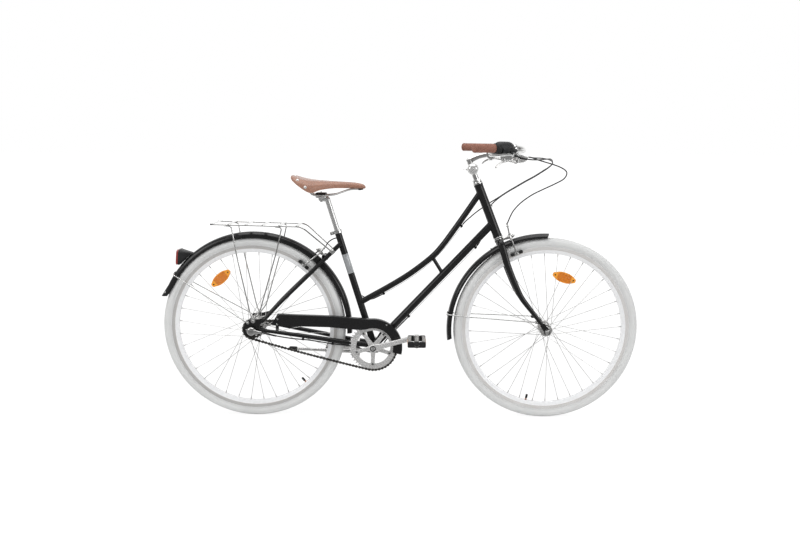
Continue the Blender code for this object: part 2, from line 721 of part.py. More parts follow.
def make_chain_guard():
    outline = []
    for k in range(10):
        angle = GUARD_FRONT_ANGLE + (math.radians(116) - GUARD_FRONT_ANGLE) * k / 9
        point = around(BOTTOM_BRACKET, angle, GUARD_INNER_RADIUS)
        outline.append((point.x, point.z))
    outline.extend(GUARD_REAR)
    top_line = []
    for k in range(9):
        angle = math.radians(96) + (GUARD_FRONT_ANGLE - math.radians(96)) * k / 8
        point = around(BOTTOM_BRACKET, angle, GUARD_OUTER_RADIUS)
        outline.append((point.x, point.z))
        top_line.append((point.x, point.z))
    face = plate(outline, GUARD_THICKNESS, side_place(GUARD_Y))
    lip_line = [GUARD_REAR[4], GUARD_REAR[5], *top_line]
    depth = 0.0180
    inside = [Vector((x, GUARD_Y + GUARD_THICKNESS / 2 - 0.0003, z)) for x, z in lip_line]
    rings = []
    for i, point in enumerate(inside):
        run = (inside[min(i + 1, len(inside) - 1)] - inside[max(i - 1, 0)]).normalized()
        inward = Vector((run.z, 0, -run.x)) * -0.0014
        if inward.dot(BOTTOM_BRACKET - point) < 0:
            inward = -inward
        rings.append([point, point + LEFT * depth, point + LEFT * depth + inward, point + inward])
    lip = loft(rings)
    bracket_angle = math.radians(60)
    low = around(BOTTOM_BRACKET, bracket_angle, 0.0215)
    high = around(BOTTOM_BRACKET, bracket_angle, GUARD_OUTER_RADIUS - 0.0005)
    size = (0.014, 0.0016, (high - low).length)
    bracket_place = frame_at((low + high) / 2 + Vector((0, -0.0358, 0)), high - low)
    bracket = block(size, bracket_place)
    tab = block((0.012, GUARD_THICKNESS, 0.0200), Matrix.Translation((-0.4560, GUARD_Y, 0.3590)))
    part("chain_guard", fused(face, lip, bracket, tab), BLACK_PAINT)


# Chain and toothed wheels
def pitch_radius(teeth):
    return CHAIN_PITCH / (2 * math.sin(math.pi / teeth))


def chain_pins():
    """Pin centres round the drive, one pitch apart, with the slack in the lower run."""
    big = pitch_radius(RING_TEETH)
    small = pitch_radius(SPROCKET_TEETH)
    line = REAR_AXLE - BOTTOM_BRACKET
    distance = line.length
    heading = math.atan2(line.z, line.x)
    lean = math.asin((big - small) / distance)
    run = math.sqrt(distance ** 2 - (big - small) ** 2)
    upper_angle = heading - math.pi / 2 + lean
    lower_angle = heading + math.pi / 2 - lean
    ring_arc = RING_TEETH * CHAIN_PITCH * (math.pi + 2 * lean) / math.tau
    sprocket_arc = SPROCKET_TEETH * CHAIN_PITCH * (math.pi - 2 * lean) / math.tau
    total = CHAIN_LINKS * CHAIN_PITCH
    lower_run = total - ring_arc - sprocket_arc - run
    sag = math.sqrt(max(3 * run * (lower_run - run) / 8, 0))
    ring_top = around(BOTTOM_BRACKET, upper_angle, big)
    ring_bottom = around(BOTTOM_BRACKET, lower_angle, big)
    sprocket_top = around(REAR_AXLE, upper_angle, small)
    sprocket_bottom = around(REAR_AXLE, lower_angle, small)
    pins = []
    for k in range(CHAIN_LINKS):
        place = k * CHAIN_PITCH
        if place < run:
            pins.append(ring_top.lerp(sprocket_top, place / run))
            continue
        place -= run
        if place < sprocket_arc:
            turn = place / CHAIN_PITCH * math.tau / SPROCKET_TEETH
            pins.append(around(REAR_AXLE, upper_angle + turn, small))
            continue
        place -= sprocket_arc
        if place < lower_run:
            share = place / lower_run
            drop = UP * (4 * sag * share * (1 - share))
            pins.append(sprocket_bottom.lerp(ring_bottom, share) - drop)
            continue
        place -= lower_run
        turn = place / CHAIN_PITCH * math.tau / RING_TEETH
        pins.append(around(BOTTOM_BRACKET, lower_angle + turn, big))
    phase = (run % CHAIN_PITCH) / CHAIN_PITCH
    return pins, upper_angle, phase


def make_chain():
    """A ladder of waisted links: a window between each two pins takes a tooth."""
    tall = 0.0042
    waist = 0.0031
    window_half_length = 0.0027
    window_half_width = 0.0019
    window_height = 0.0034
    pins, _, _ = chain_pins()
    count = len(pins)
    data = bmesh.new()
    across = (-1, 1)
    upright = (-1, 1)
    at_pin = []
    at_waist = []
    window_start = []
    window_end = []
    for i in range(count):
        before = pins[i - 1]
        here = pins[i]
        after = pins[(i + 1) % count]
        run = (after - here).normalized()
        pin_run = (after - before).normalized()
        pin_out = Vector((pin_run.z, 0, -pin_run.x))
        out = Vector((run.z, 0, -run.x))
        middle = (here + after) / 2

        def corner(point, normal, height, half_width, s, k):
            return data.verts.new(point + normal * (height * k) + LEFT * (CHAIN_Y + half_width * s))

        at_pin.append({(s, k): corner(here, pin_out, tall, CHAIN_HALF_WIDTH, s, k)
                       for s in across for k in upright})
        at_waist.append({(s, k): corner(middle, out, waist, CHAIN_HALF_WIDTH, s, k)
                         for s in across for k in upright})
        start = middle - run * window_half_length
        end = middle + run * window_half_length
        window_start.append({(s, k): corner(start, out, window_height, window_half_width, s, k)
                             for s in across for k in upright})
        window_end.append({(s, k): corner(end, out, window_height, window_half_width, s, k)
                           for s in across for k in upright})
    for i in range(count):
        j = (i + 1) % count
        pin, waist_here, next_pin = at_pin[i], at_waist[i], at_pin[j]
        start, end, last_end = window_start[i], window_end[i], window_end[i - 1]
        for k in upright:
            data.faces.new((last_end[-1, k], last_end[1, k], start[1, k], start[-1, k]))
            for s in across:
                data.faces.new((last_end[s, k], pin[s, k], start[s, k]))
                data.faces.new((pin[s, k], waist_here[s, k], start[s, k]))
                data.faces.new((start[s, k], waist_here[s, k], end[s, k]))
                data.faces.new((waist_here[s, k], next_pin[s, k], end[s, k]))
            data.faces.new((start[-k, 1], end[-k, 1], end[-k, -1], start[-k, -1]))
        for s in across:
            data.faces.new((pin[s, 1], pin[s, -1], waist_here[s, -1], waist_here[s, 1]))
            data.faces.new((waist_here[s, 1], waist_here[s, -1], next_pin[s, -1], next_pin[s, 1]))
        data.faces.new((start[-1, 1], start[1, 1], start[1, -1], start[-1, -1]))
        data.faces.new((end[-1, 1], end[1, 1], end[1, -1], end[-1, -1]))
    part("chain", solid_from(data), CHAIN_STEEL)


def toothed_wheel(teeth, centre, hole_radius, thickness, first_gap):
    """A plate with a roller seat at first_gap and one at each pitch from it."""
    radius = pitch_radius(teeth)
    root = radius - 0.0046
    tip = radius + 0.0034
    step = math.tau / teeth
    seat_half = 0.0038 / root
    outline = []
    for k in range(teeth):
        seat = first_gap + k * step
        for angle, reach in ((seat - seat_half, root), (seat + seat_half, root), (seat + step / 2, tip)):
            point = around(centre, angle, reach)
            outline.append((point.x, point.z))
    hole = []
    for k in range(16):
        point = around(centre, math.tau * k / 16, hole_radius)
        hole.append((point.x, point.z))
    return plate(outline, thickness, side_place(CHAIN_Y), [hole])


def make_toothed_wheels():
    _, upper_angle, phase = chain_pins()
    item = toothed_wheel(RING_TEETH, BOTTOM_BRACKET, 0.0570, 0.0028, upper_angle)
    part("chainring", item, ALLOY, "crank")
    step = math.tau / SPROCKET_TEETH
    item = toothed_wheel(SPROCKET_TEETH, REAR_AXLE, 0.0150, 0.0026, upper_angle + (1 - phase) * step)
    driver = sleeve(0.0062, 0.0168, REAR_AXLE + LEFT * -0.0520, REAR_AXLE + LEFT * -0.0393, 12)
    part("rear_sprocket", fused(item, driver), CHAIN_STEEL, "sprocket")


# Cranks and pedals
def crank_direction(side):
    return CRANK_FORWARD * -side


def pedal_centre(side):
    return BOTTOM_BRACKET + crank_direction(side) * CRANK_LENGTH + LEFT * (0.1375 * side)


def crank_arm(side):
    """A tapering arm from the axle to the pedal eye, bowed outwards."""
    stations = [(-0.016, 0.0628, 0.0085), (-0.010, 0.0628, 0.0145), (0.012, 0.0628, 0.0150),
                (0.035, 0.0640, 0.0110), (0.100, 0.0685, 0.0090), (0.155, 0.0728, 0.0105),
                (0.172, 0.0735, 0.0120), (0.182, 0.0735, 0.0060)]
    direction = crank_direction(side)
    rise = Vector((-direction.z, 0, direction.x))
    rings = []
    for distance, y, half_height in stations:
        middle = BOTTOM_BRACKET + direction * distance + LEFT * (y * side)
        half_depth = 0.0062
        ring = []
        for up, out in ((-1, -0.5), (-0.6, -1), (0.6, -1), (1, -0.5), (1, 0.5), (0.6, 1), (-0.6, 1), (-1, 0.5)):
            ring.append(middle + rise * (half_height * up) + LEFT * (half_depth * out))
        rings.append(ring)
    arm = loft(rings)
    eye = BOTTOM_BRACKET + direction * CRANK_LENGTH + LEFT * (0.0740 * side)
    spindle = rod(0.0045, eye, eye + LEFT * (0.1080 * side), 8)
    collar = rod(0.0085, eye, eye + LEFT * (0.0090 * side), 8)
    return fused(arm, collar, spindle)


def axle_space(side):
    middle = BOTTOM_BRACKET + LEFT * (0.055 * side)
    return rod(0.0085, middle - LEFT * 0.030, middle + LEFT * 0.030, 12)


def make_cranks():
    part("crank_axle", rod(0.0080, BOTTOM_BRACKET - LEFT * 0.0665, BOTTOM_BRACKET + LEFT * 0.0665, 12),
         CHROME, "crank")
    hub = rod(0.0150, BOTTOM_BRACKET - LEFT * 0.0448, BOTTOM_BRACKET - LEFT * 0.0650, 14)
    arms = []
    for k in range(5):
        angle = CRANK_ANGLE + math.radians(36 + 72 * k)
        start = around(BOTTOM_BRACKET, angle, 0.005, -0.0470)
        end = around(BOTTOM_BRACKET, angle, BOLT_CIRCLE_RADIUS + 0.0055, -0.0470)
        place = frame_at(start, end - start)
        rings = []
        for share, half in ((0, 0.0085), (0.35, 0.0062), (0.8, 0.0055), (1, 0.0070)):
            middle = start.lerp(end, share)
            across = place.to_3x3() @ Vector((half, 0, 0))
            thick = LEFT * 0.0021
            rings.append([middle - across - thick, middle + across - thick,
                          middle + across + thick, middle - across + thick])
        arms.append(loft(rings))
    item = fused(crank_arm(-1), hub, *arms)
    part("crank_right", cut(item, axle_space(-1)), ALLOY, "crank")
    boss = rod(0.0150, BOTTOM_BRACKET + LEFT * 0.0540, BOTTOM_BRACKET + LEFT * 0.0650, 14)
    part("crank_left", cut(fused(crank_arm(1), boss), axle_space(1)), ALLOY, "crank")


def make_pedal(side, name):
    """A flat pedal: a barrel on the spindle, two end plates and two tread bars."""
    middle = pedal_centre(side)
    inner = 0.0850 * side
    outer = 0.1900 * side
    half_length = 0.033
    half_height = 0.0105
    barrel = rod(0.0125, (middle.x, inner, middle.z), (middle.x, outer, middle.z), 10)
    pieces = [barrel]
    for y in (inner + 0.006 * side, outer - 0.006 * side):
        pieces.append(block((2 * half_length - 0.004, 0.010, 2 * half_height - 0.003),
                            Matrix.Translation((middle.x, y, middle.z))))
    for run in (-1, 1):
        place = Matrix.Translation((middle.x + run * (half_length - 0.0065), middle.y, middle.z))
        pieces.append(block((0.013, 0.104, 2 * half_height), place))
    item = fused(*pieces)
    bore = rod(0.0052, (middle.x, inner - 0.01 * side, middle.z), (middle.x, outer - 0.0065 * side, middle.z), 10)
    part(name, cut(item, bore), BLACK_PLASTIC, name)


# Wheels
RIM_PROFILE = [(0.3172, 0.0120), (0.3115, 0.0100), (0.3115, -0.0100), (0.3172, -0.0120),
               (0.3085, -0.0120), (0.2890, -0.0055), (0.2890, 0.0055), (0.3085, 0.0120)]
TYRE_PROFILE = [(0.3480, 0.0050), (0.3480, -0.0050), (0.3405, -0.0150), (0.3290, -0.0176),
                (0.3119, -0.0090), (0.3119, 0.0090), (0.3290, 0.0176), (0.3405, 0.0150)]


def wheel_ring(profile, centre):
    """A ring whose facets, and not their corners, lie at the profile's radii."""
    grow = 1 / math.cos(math.pi / WHEEL_STEPS)
    grown = [(radius * grow, y) for radius, y in profile]
    return turned(grown, frame_at(centre, LEFT), WHEEL_STEPS, ring=True, phase=math.pi / WHEEL_STEPS)


def spokes(centre, hole_radius, flange_y, first_angle, first_pair):
    """Spokes laced three cross, each pair on its own side of the hub."""
    result = []
    step = math.tau / SPOKE_COUNT
    for k in range(SPOKE_COUNT):
        angle = first_angle + k * step
        lean = SPOKE_LEAN if (k - first_pair) % 4 < 2 else -SPOKE_LEAN
        side = 1 if k % 2 else -1
        face = 0.0017 if lean > 0 else -0.0017
        hub_end = around(centre, angle + lean, hole_radius, side * (flange_y + face))
        rim_end = around(centre, angle, RIM_INNER_RADIUS - GAP, side * 0.0020)
        result.append(rod(SPOKE_RADIUS, hub_end, rim_end, 3))
    return bundled(result)


def make_front_wheel():
    part("front_tyre", wheel_ring(TYRE_PROFILE, FRONT_AXLE), PALE_RUBBER, "front_wheel")
    part("front_rim", wheel_ring(RIM_PROFILE, FRONT_AXLE), PALE_RIM, "front_wheel")
    half = [(0.0105, 0.0440), (0.0150, 0.0400), (0.0150, 0.0310 + 0.0012), (FRONT_FLANGE_RADIUS, 0.0310),
            (FRONT_FLANGE_RADIUS, 0.0280), (0.0140, 0.0265)]
    profile = half + [(radius, -y) for radius, y in reversed(half)]
    profile += [(0.0056, -0.0440), (0.0056, 0.0440)]
    hub = turned(profile, frame_at(FRONT_AXLE, LEFT), 12, ring=True)
    laced = spokes(FRONT_AXLE, 0.0195, FRONT_FLANGE_Y, math.radians(2), 2)
    part("front_hub", fused(hub, laced), ALLOY, "front_wheel")


def make_rear_wheel():
    part("rear_tyre", wheel_ring(TYRE_PROFILE, REAR_AXLE), PALE_RUBBER, "rear_wheel")
    part("rear_rim", wheel_ring(RIM_PROFILE, REAR_AXLE), PALE_RIM, "rear_wheel")
    profile = [(0.0180, 0.0520), (0.0300, 0.0480), (0.0300, 0.0312), (REAR_FLANGE_RADIUS, 0.0300),
               (REAR_FLANGE_RADIUS, 0.0270), (0.0300, 0.0255), (0.0300, -0.0255),
               (REAR_FLANGE_RADIUS, -0.0270), (REAR_FLANGE_RADIUS, -0.0300), (0.0290, -0.0312),
               (0.0240, -0.0385), (0.0058, -0.0385), (0.0058, 0.0520)]
    hub = turned(profile, frame_at(REAR_AXLE, LEFT), 14, ring=True)
    laced = spokes(REAR_AXLE, 0.0335, REAR_FLANGE_Y, math.radians(5.5), 1)
    part("rear_hub", fused(hub, laced), ALLOY, "rear_wheel")


def make_reflector(name, centre, radius, angle, body):
    """An amber wheel reflector, long along the rim."""
    middle = around(centre, angle, radius)
    outline = []
    for x, y in ((0.045, 0.0045), (0.036, 0.0125), (0.018, 0.0160), (0, 0.0165)):
        outline.append((x, y))
    upper = outline + [(-x, y) for x, y in reversed(outline[:-1])]
    loop = upper + [(x, -y) for x, y in reversed(upper)]
    place = Matrix.Translation(middle) @ Matrix.Rotation(math.pi / 2 - angle, 4, "Y") @ side_place(0)
    part(name, plate(loop, 0.0085, place), AMBER, body)


def axle_with_nuts(centre, half_width, thickness, cone, reach, nut_radius):
    """A threaded axle: cones inside the dropouts, nuts outside them."""
    end = half_width + thickness
    half = [(nut_radius * 0.8, end + reach), (nut_radius, end + reach - 0.002), (nut_radius, end + GAP),
            (AXLE_RADIUS, end + GAP), (AXLE_RADIUS, half_width - GAP), (0.0080, half_width - GAP),
            (0.0080, cone + 0.0004), (AXLE_RADIUS, cone + 0.0004)]
    profile = [(0, end + reach)] + half + [(radius, -y) for radius, y in reversed(half)]
    profile.append((0, -(end + reach)))
    return turned(profile, frame_at(centre, LEFT), 8)


def make_axles():
    item = axle_with_nuts(FRONT_AXLE, FORK_HALF_WIDTH, 0.0045, 0.0440, 0.0075, 0.0092)
    part("front_axle", item, CHROME, "steering")
    item = axle_with_nuts(REAR_AXLE, STAY_HALF_WIDTH, DROPOUT_THICKNESS, 0.0522, 0.0080, 0.0092)
    part("rear_axle", item, CHROME)


def make_bell_crank():
    """The gear cable's bell crank, outside the right axle nut."""
    outer = -0.0830
    body = rod(0.0165, REAR_AXLE + LEFT * -0.0735, REAR_AXLE + LEFT * outer, 14)
    nose = block((0.030, 0.0048, 0.014), Matrix.Translation((REAR_AXLE.x + 0.024, -0.0803, REAR_AXLE.z - 0.003)))
    part("shift_bell_crank", fused(body, nose), BLACK_PLASTIC)


# Fork
BLADE_LINE = [(0.3790, 0.0340, 0.6800), (0.3876, 0.0350, 0.6525), (0.4044, 0.0395, 0.5979),
              (0.4332, 0.0440, 0.5271), (0.4597, 0.0470, 0.4740), (0.5050, 0.0505, 0.4154), (0.5400, 0.0524, 0.3710)]
BLADE_DEPTHS = [0.0130, 0.0130, 0.0125, 0.0118, 0.0105, 0.0085, 0.0070]
BLADE_WIDTHS = [0.0105, 0.0105, 0.0105, 0.0100, 0.0090, 0.0075, 0.0060]
FORK_END_OUTLINE = [(-0.0260, 0.0210), (-0.0120, 0.0330), (0.0020, 0.0150), (0.0120, 0.0040), (0.0110, -0.0080),
                    (0.0020, -0.0130), (-0.0090, -0.0100), (-0.0130, 0.0020)]


def make_fork():
    crown_centre = HEAD_BOTTOM + HEAD_DOWN * 0.0180
    steerer = rod(STEERER_RADIUS, crown_centre, HEAD_TOP - HEAD_DOWN * 0.0120, 12)
    race = rod(0.0180, HEAD_BOTTOM + HEAD_DOWN * 0.0079, HEAD_BOTTOM + HEAD_DOWN * 0.0110, 12)
    locknut = rod(0.0172, HEAD_TOP - HEAD_DOWN * 0.0104, HEAD_TOP - HEAD_DOWN * 0.0190, 8)
    crown = oval_sweep([crown_centre - LEFT * 0.036, crown_centre - LEFT * 0.018, crown_centre + LEFT * 0.018,
                        crown_centre + LEFT * 0.036], [0.0080, 0.0085, 0.0085, 0.0080],
                       [0.0120, 0.0125, 0.0125, 0.0120], 8)
    bolt = rod(0.0030, FRONT_BOLT, FRONT_BOLT + FRONT_BOLT_AXIS * 0.0410, 8)
    pieces = [race, locknut, crown, bolt]
    for side in (-1, 1):
        line = [Vector((x, y * side, z)) for x, y, z in BLADE_LINE]
        pieces.append(oval_sweep(line, BLADE_DEPTHS, BLADE_WIDTHS, 8))
        outline = [(FRONT_AXLE.x + x, FRONT_AXLE.z + z) for x, z in FORK_END_OUTLINE]
        pieces.append(plate(outline, 0.0045, side_place(side * (FORK_HALF_WIDTH + 0.00225))))
        pieces.append(block((0.026, 0.0036, 0.012), Matrix.Translation((0.5220, side * 0.0503, 0.3830))))
    item = fused(steerer, *pieces)
    bore = rod(STEERER_BORE_RADIUS, HEAD_TOP + HEAD_DOWN * 0.075, HEAD_TOP - HEAD_DOWN * 0.03, 12)
    reach = LEFT * 0.07
    item = cut(item, bore, rod(AXLE_RADIUS + GAP * 2, FRONT_AXLE - reach, FRONT_AXLE + reach, 8))
    part("fork", item, BLACK_PAINT, "steering")


# Stem, handlebar and what they carry
STEM_ELBOW = HEAD_TOP - HEAD_DOWN * 0.0960


def bar_line(count):
    half = smooth_path([Vector(point) for point in BAR_BENDS], count)
    end = GRIP_END + GRIP_INBOARD * 0.004
    half.append(end)
    return [mirrored(point) for point in reversed(half)] + half[1:]


def make_stem():
    quill = rod(QUILL_RADIUS, HEAD_TOP + HEAD_DOWN * 0.060, STEM_ELBOW, 12)
    cap = rod(QUILL_RADIUS - 0.0004, STEM_ELBOW + HEAD_DOWN * 0.0010, STEM_ELBOW - HEAD_DOWN * 0.0040, 12, 0.0070)
    clamp = rod(0.0182, BAR_CLAMP - LEFT * 0.0180, BAR_CLAMP + LEFT * 0.0180, 16)
    start = STEM_ELBOW + HEAD_DOWN * 0.004
    reach = [start, start.lerp(BAR_CLAMP, 0.45) + UP * 0.0015, BAR_CLAMP - FORWARD * 0.006]
    arm = oval_sweep(reach, [0.0117, 0.0105, 0.0110], [0.0106, 0.0112, 0.0150], 10)
    bolt = rod(0.0055, BAR_CLAMP - UP * 0.010, BAR_CLAMP - UP * 0.0260, 8)
    item = fused(quill, cap, arm, clamp, bolt)
    space = rod(BAR_CENTRE_RADIUS + GAP * 3, BAR_CLAMP - LEFT * 0.03, BAR_CLAMP + LEFT * 0.03, 12)
    part("stem", cut(item, space), ALLOY, "steering")


def make_handlebar():
    points = bar_line(11)
    taper = []
    for point in points:
        taper.append(BAR_CENTRE_RADIUS / BAR_RADIUS if abs(point.y) < 0.030 else 1.0)
    part("handlebar", tube(points, BAR_RADIUS, 2, taper), CHROME, "steering")


def make_grip(name, side, length):
    start = on_grip(0, side)
    inboard = to_side(GRIP_INBOARD, side)
    profile = [(0, 0), (GRIP_RADIUS - 0.0030, 0), (GRIP_RADIUS, 0.0030), (GRIP_RADIUS, length),
               (SLEEVE_BORE, length), (SLEEVE_BORE, 0.0036), (0, 0.0036)]
    flipped = [(radius, height) for radius, height in reversed(profile)]
    item = turned(flipped, frame_at(start, inboard), 16)
    part(name, item, TAN_RUBBER, "steering")


def lever_pivot(side):
    return on_grip(LEVER_CLAMP_AT + 0.004, side) + to_side(LEVER_DOWN, side) * LEVER_DROP


def make_lever_clamp(name, side):
    """A band round the bar, a bracket down to the lever's pin and a barrel for the cable."""
    inboard = to_side(GRIP_INBOARD, side)
    down = to_side(LEVER_DOWN, side)
    axis = inboard.cross(down).normalized()
    middle = on_grip(LEVER_CLAMP_AT, side)
    band = rod(0.0152, middle - inboard * 0.0065, middle + inboard * 0.0065, 12)
    neck = block((0.013, 0.013, 0.026), frame_at(middle + down * 0.0230 + inboard * 0.001, down, axis))
    yoke = block((0.018, 0.018, 0.011), frame_at(middle + down * 0.0310 + inboard * 0.003, down, axis))
    centre = lever_pivot(side)
    cheeks = []
    for reach in (-1, 1):
        cheek = centre - down * 0.0030 + axis * (0.00765 * reach)
        cheeks.append(block((0.014, 0.0027, 0.0200), frame_at(cheek, down, axis)))
    pin = rod(0.0025, centre - axis * 0.0090, centre + axis * 0.0090, 8)
    nose = centre - down * BARREL_RISE + inboard * 0.0040
    barrel = rod(0.0055, nose, nose + inboard * BARREL_LENGTH, 8)
    item = fused(band, neck, yoke, *cheeks, pin, barrel)
    reach = inboard * 0.02
    item = cut(item, rod(SLEEVE_BORE, middle - reach, middle + reach, 12))
    part(name, item, ALLOY, "steering")


def make_brake_lever(name, side):
    """A blade from the pin outwards under the grip."""
    inboard = to_side(GRIP_INBOARD, side)
    down = to_side(LEVER_DOWN, side)
    axis = inboard.cross(down).normalized()
    centre = lever_pivot(side)
    hub = rod(0.0070, centre - axis * 0.0059, centre + axis * 0.0059, 10)
    stations = [(0.000, 0.000, 0.0050, 0.0055), (0.020, 0.002, 0.0035, 0.0058), (0.050, 0.010, 0.0028, 0.0065),
                (0.080, 0.019, 0.0028, 0.0070), (0.100, 0.021, 0.0030, 0.0065), (0.106, 0.0235, 0.0028, 0.0045)]
    rings = []
    for out, drop, half_thick, half_wide in stations:
        middle = centre - inboard * out + down * drop
        rings.append([middle + down * (half_thick * a) + axis * (half_wide * b)
                      for a, b in ((-1, -1), (1, -1), (1, 1), (-1, 1))])
    item = fused(hub, loft(rings))
    pin = rod(0.0029, centre - axis * 0.02, centre + axis * 0.02, 8)
    part(name, cut(item, pin), ALLOY, name)


def make_shifter():
    """The turning sleeve beside the right grip, and the fixed housing inboard of it."""
    inboard = to_side(GRIP_INBOARD, -1)
    bore = SLEEVE_BORE
    turning = [(0.0172, 0.0370), (0.0192, 0.0290), (0.0180, 0.0010), (0.0165, 0), (bore, 0), (bore, 0.0370)]
    item = turned(turning, frame_at(on_grip(0.0905, -1), inboard), 16, ring=True)
    part("twist_shifter", item, BLACK_PLASTIC, "twist_shifter")
    start = on_grip(0.1280, -1)
    body = rod(0.0190, start, start + inboard * 0.0260, 16, 0.0175)
    top = frame_at(start + inboard * 0.0160 + UP * 0.0140 + FORWARD * 0.004, inboard, LEFT)
    window = block((0.020, 0.022, 0.030), top)
    boss_start = start + SHIFT_EXIT * 0.0190 + inboard * 0.010
    exit_boss = rod(0.0045, boss_start, boss_start + inboard * 0.0160, 8)
    item = fused(body, window, exit_boss)
    reach = inboard * 0.03
    item = cut(item, rod(SLEEVE_BORE, start - reach, start + inboard * 0.0260 + reach, 12))
    part("shifter_body", item, BLACK_PLASTIC, "steering")


BELL_HEIGHT = 0.0600
BELL_CENTRE = HEAD_TOP - HEAD_DOWN * BELL_HEIGHT
BELL_RADIUS = 0.0215
BELL_LEVER_ROOT = BELL_CENTRE + Vector((-0.0205, -0.0195, -0.0020))


def make_bell():
    band = rod(0.0150, BELL_CENTRE + HEAD_DOWN * 0.0050, BELL_CENTRE - HEAD_DOWN * 0.0050, 12)
    post = rod(0.0045, BELL_CENTRE - LEFT * 0.0130, BELL_CENTRE - LEFT * 0.0240, 8)
    profile = [(0, 0.0185), (0.0095, 0.0175), (0.0170, 0.0130), (BELL_RADIUS, 0.0040), (BELL_RADIUS, 0), (0, 0)]
    dome = turned(profile, frame_at(BELL_CENTRE - LEFT * 0.0225, -LEFT), 14)
    item = fused(band, post, dome)
    space = rod(QUILL_RADIUS + GAP * 2, BELL_CENTRE + HEAD_DOWN * 0.03, BELL_CENTRE - HEAD_DOWN * 0.03, 12)
    part("bell", cut(item, space), CHROME, "steering")
    hub = rod(0.0040, BELL_LEVER_ROOT - LEFT * 0.0013, BELL_LEVER_ROOT + LEFT * 0.0013, 8)
    blade = block((0.0180, 0.0020, 0.0050), Matrix.Translation(BELL_LEVER_ROOT + Vector((-0.0080, 0, -0.001))))
    part("bell_lever", fused(hub, blade), CHROME, "bell_lever")


# Brakes
def caliper_place(which):
    """Origin at the bolt, X across the bike, Y down to the rim, Z along the bolt."""
    data = CALIPERS[which]
    z = data["axis"]
    down = LEFT.cross(z)
    if down.dot(UP) > 0:
        down = -down
    across = down.cross(z)
    turn = Matrix((across, down, z)).transposed().to_4x4()
    return Matrix.Translation(data["bolt"]) @ turn


def caliper_arm(which, side):
    """One curved arm: the right one carries the cable's barrel, the left one its anchor."""
    data = CALIPERS[which]
    place = caliper_place(which)
    sign = 1 if (place.to_3x3() @ Vector((1, 0, 0))).y * side > 0 else -1
    layer = data["offset"] + (0.0 if side < 0 else 0.0055)
    reach = data["reach"]
    path = [(0.000, 0.000), (0.012, -0.0050), (0.026, -0.0030), (0.0355, 0.0080), (0.0375, 0.0260),
            (0.0340, reach - 0.0170), (0.0290, reach - 0.0030)]
    shift = Matrix.Translation((0, 0, layer))
    arm = ribbon([(x * sign, y) for x, y in path], 0.0090, 0.0046, place @ shift)
    hub = rod(0.0080, place @ Vector((0, 0, layer)), place @ Vector((0, 0, layer + 0.0046)), 8)
    cable_side = sign if side < 0 else -sign
    top = (0.0190 * cable_side, -data["rise"] if side < 0 else -data["anchor"])
    upper = ribbon([(0, 0), (0.0090 * cable_side, top[1] * 0.45), top], 0.0080, 0.0046, place @ shift)
    pad_middle = Vector((0.0188 * sign, reach, data["pad_ahead"]))
    pad = block((0.0095, 0.0088, 0.0470), place @ Matrix.Translation(pad_middle))
    post = rod(0.0035, place @ Vector((0.020 * sign, reach - 0.003, layer + 0.0023)),
               place @ Vector((0.0330 * sign, reach - 0.003, layer + 0.0023)), 6)
    pieces = [hub, upper, post, pad]
    if side < 0:
        barrel_low = place @ Vector((*top, layer + 0.0023))
        barrel_high = barrel_low + (place.to_3x3() @ Vector((0, -data["barrel"], 0)))
        pieces.append(rod(0.0040, barrel_low, barrel_high, 6))
    item = fused(arm, *pieces)
    bore = rod(0.0036, place @ Vector((0, 0, layer - 0.01)), place @ Vector((0, 0, layer + 0.02)), 8)
    return cut(item, bore)


def barrel_top(which):
    data = CALIPERS[which]
    place = caliper_place(which)
    sign = 1 if (place.to_3x3() @ Vector((1, 0, 0))).y < 0 else -1
    return place @ Vector((0.0190 * sign, -data["rise"] - data["barrel"], data["offset"] + 0.0023))


def make_brakes():
    for which in ("front", "rear"):
        for side, word in ((-1, "right"), (1, "left")):
            name = f"{which}_brake_arm_{word}"
            part(name, caliper_arm(which, side), ALLOY, name)


# Cables
CABLE_RADIUS = 0.0023
CABLE_GAP = 0.0009


def lever_cable_exit(side):
    inboard = to_side(GRIP_INBOARD, side)
    down = to_side(LEVER_DOWN, side)
    return lever_pivot(side) - down * BARREL_RISE + inboard * (0.0040 + BARREL_LENGTH + GAP)


def cable_up(which):
    return (caliper_place(which).to_3x3() @ Vector((0, -1, 0))).normalized()


def beside_tube(start, end, offset, count):
    """Points along a straight tube's line, moved off it."""
    return [Vector(start).lerp(Vector(end), k / (count - 1)) + offset for k in range(count)]


def under_top_tube(first, last):
    """Points along the underside of the top tube, from one share of its length to another."""
    line = smooth_path(TOP_TUBE_LINE, 21)
    result = []
    for k in range(round(first * 20), round(last * 20) + 1):
        run = (line[min(k + 1, 20)] - line[max(k - 1, 0)]).normalized()
        below = Vector((-run.z, 0, run.x))
        result.append(line[k] + below * (TOP_TUBE_RADIUS + CABLE_RADIUS + 0.0008))
    return result


def make_front_brake_cable():
    start = lever_cable_exit(-1)
    inboard = to_side(GRIP_INBOARD, -1)
    end = barrel_top("front") + cable_up("front") * CABLE_GAP
    route = [start, start + inboard * 0.020, (0.5150, -0.1160, 0.9930), (0.5750, -0.0700, 0.9790),
             (0.6120, -0.0350, 0.9480), (0.5950, -0.0200, 0.9130), (0.5300, -0.0180, 0.8730),
             (0.4600, -0.0180, 0.8290), (0.4150, -0.0180, 0.7800), end + cable_up("front") * 0.015, end]
    item = tube(smooth_path(route, 26), CABLE_RADIUS, 1)
    part("front_brake_cable", item, BLACK_CASING, "steering")


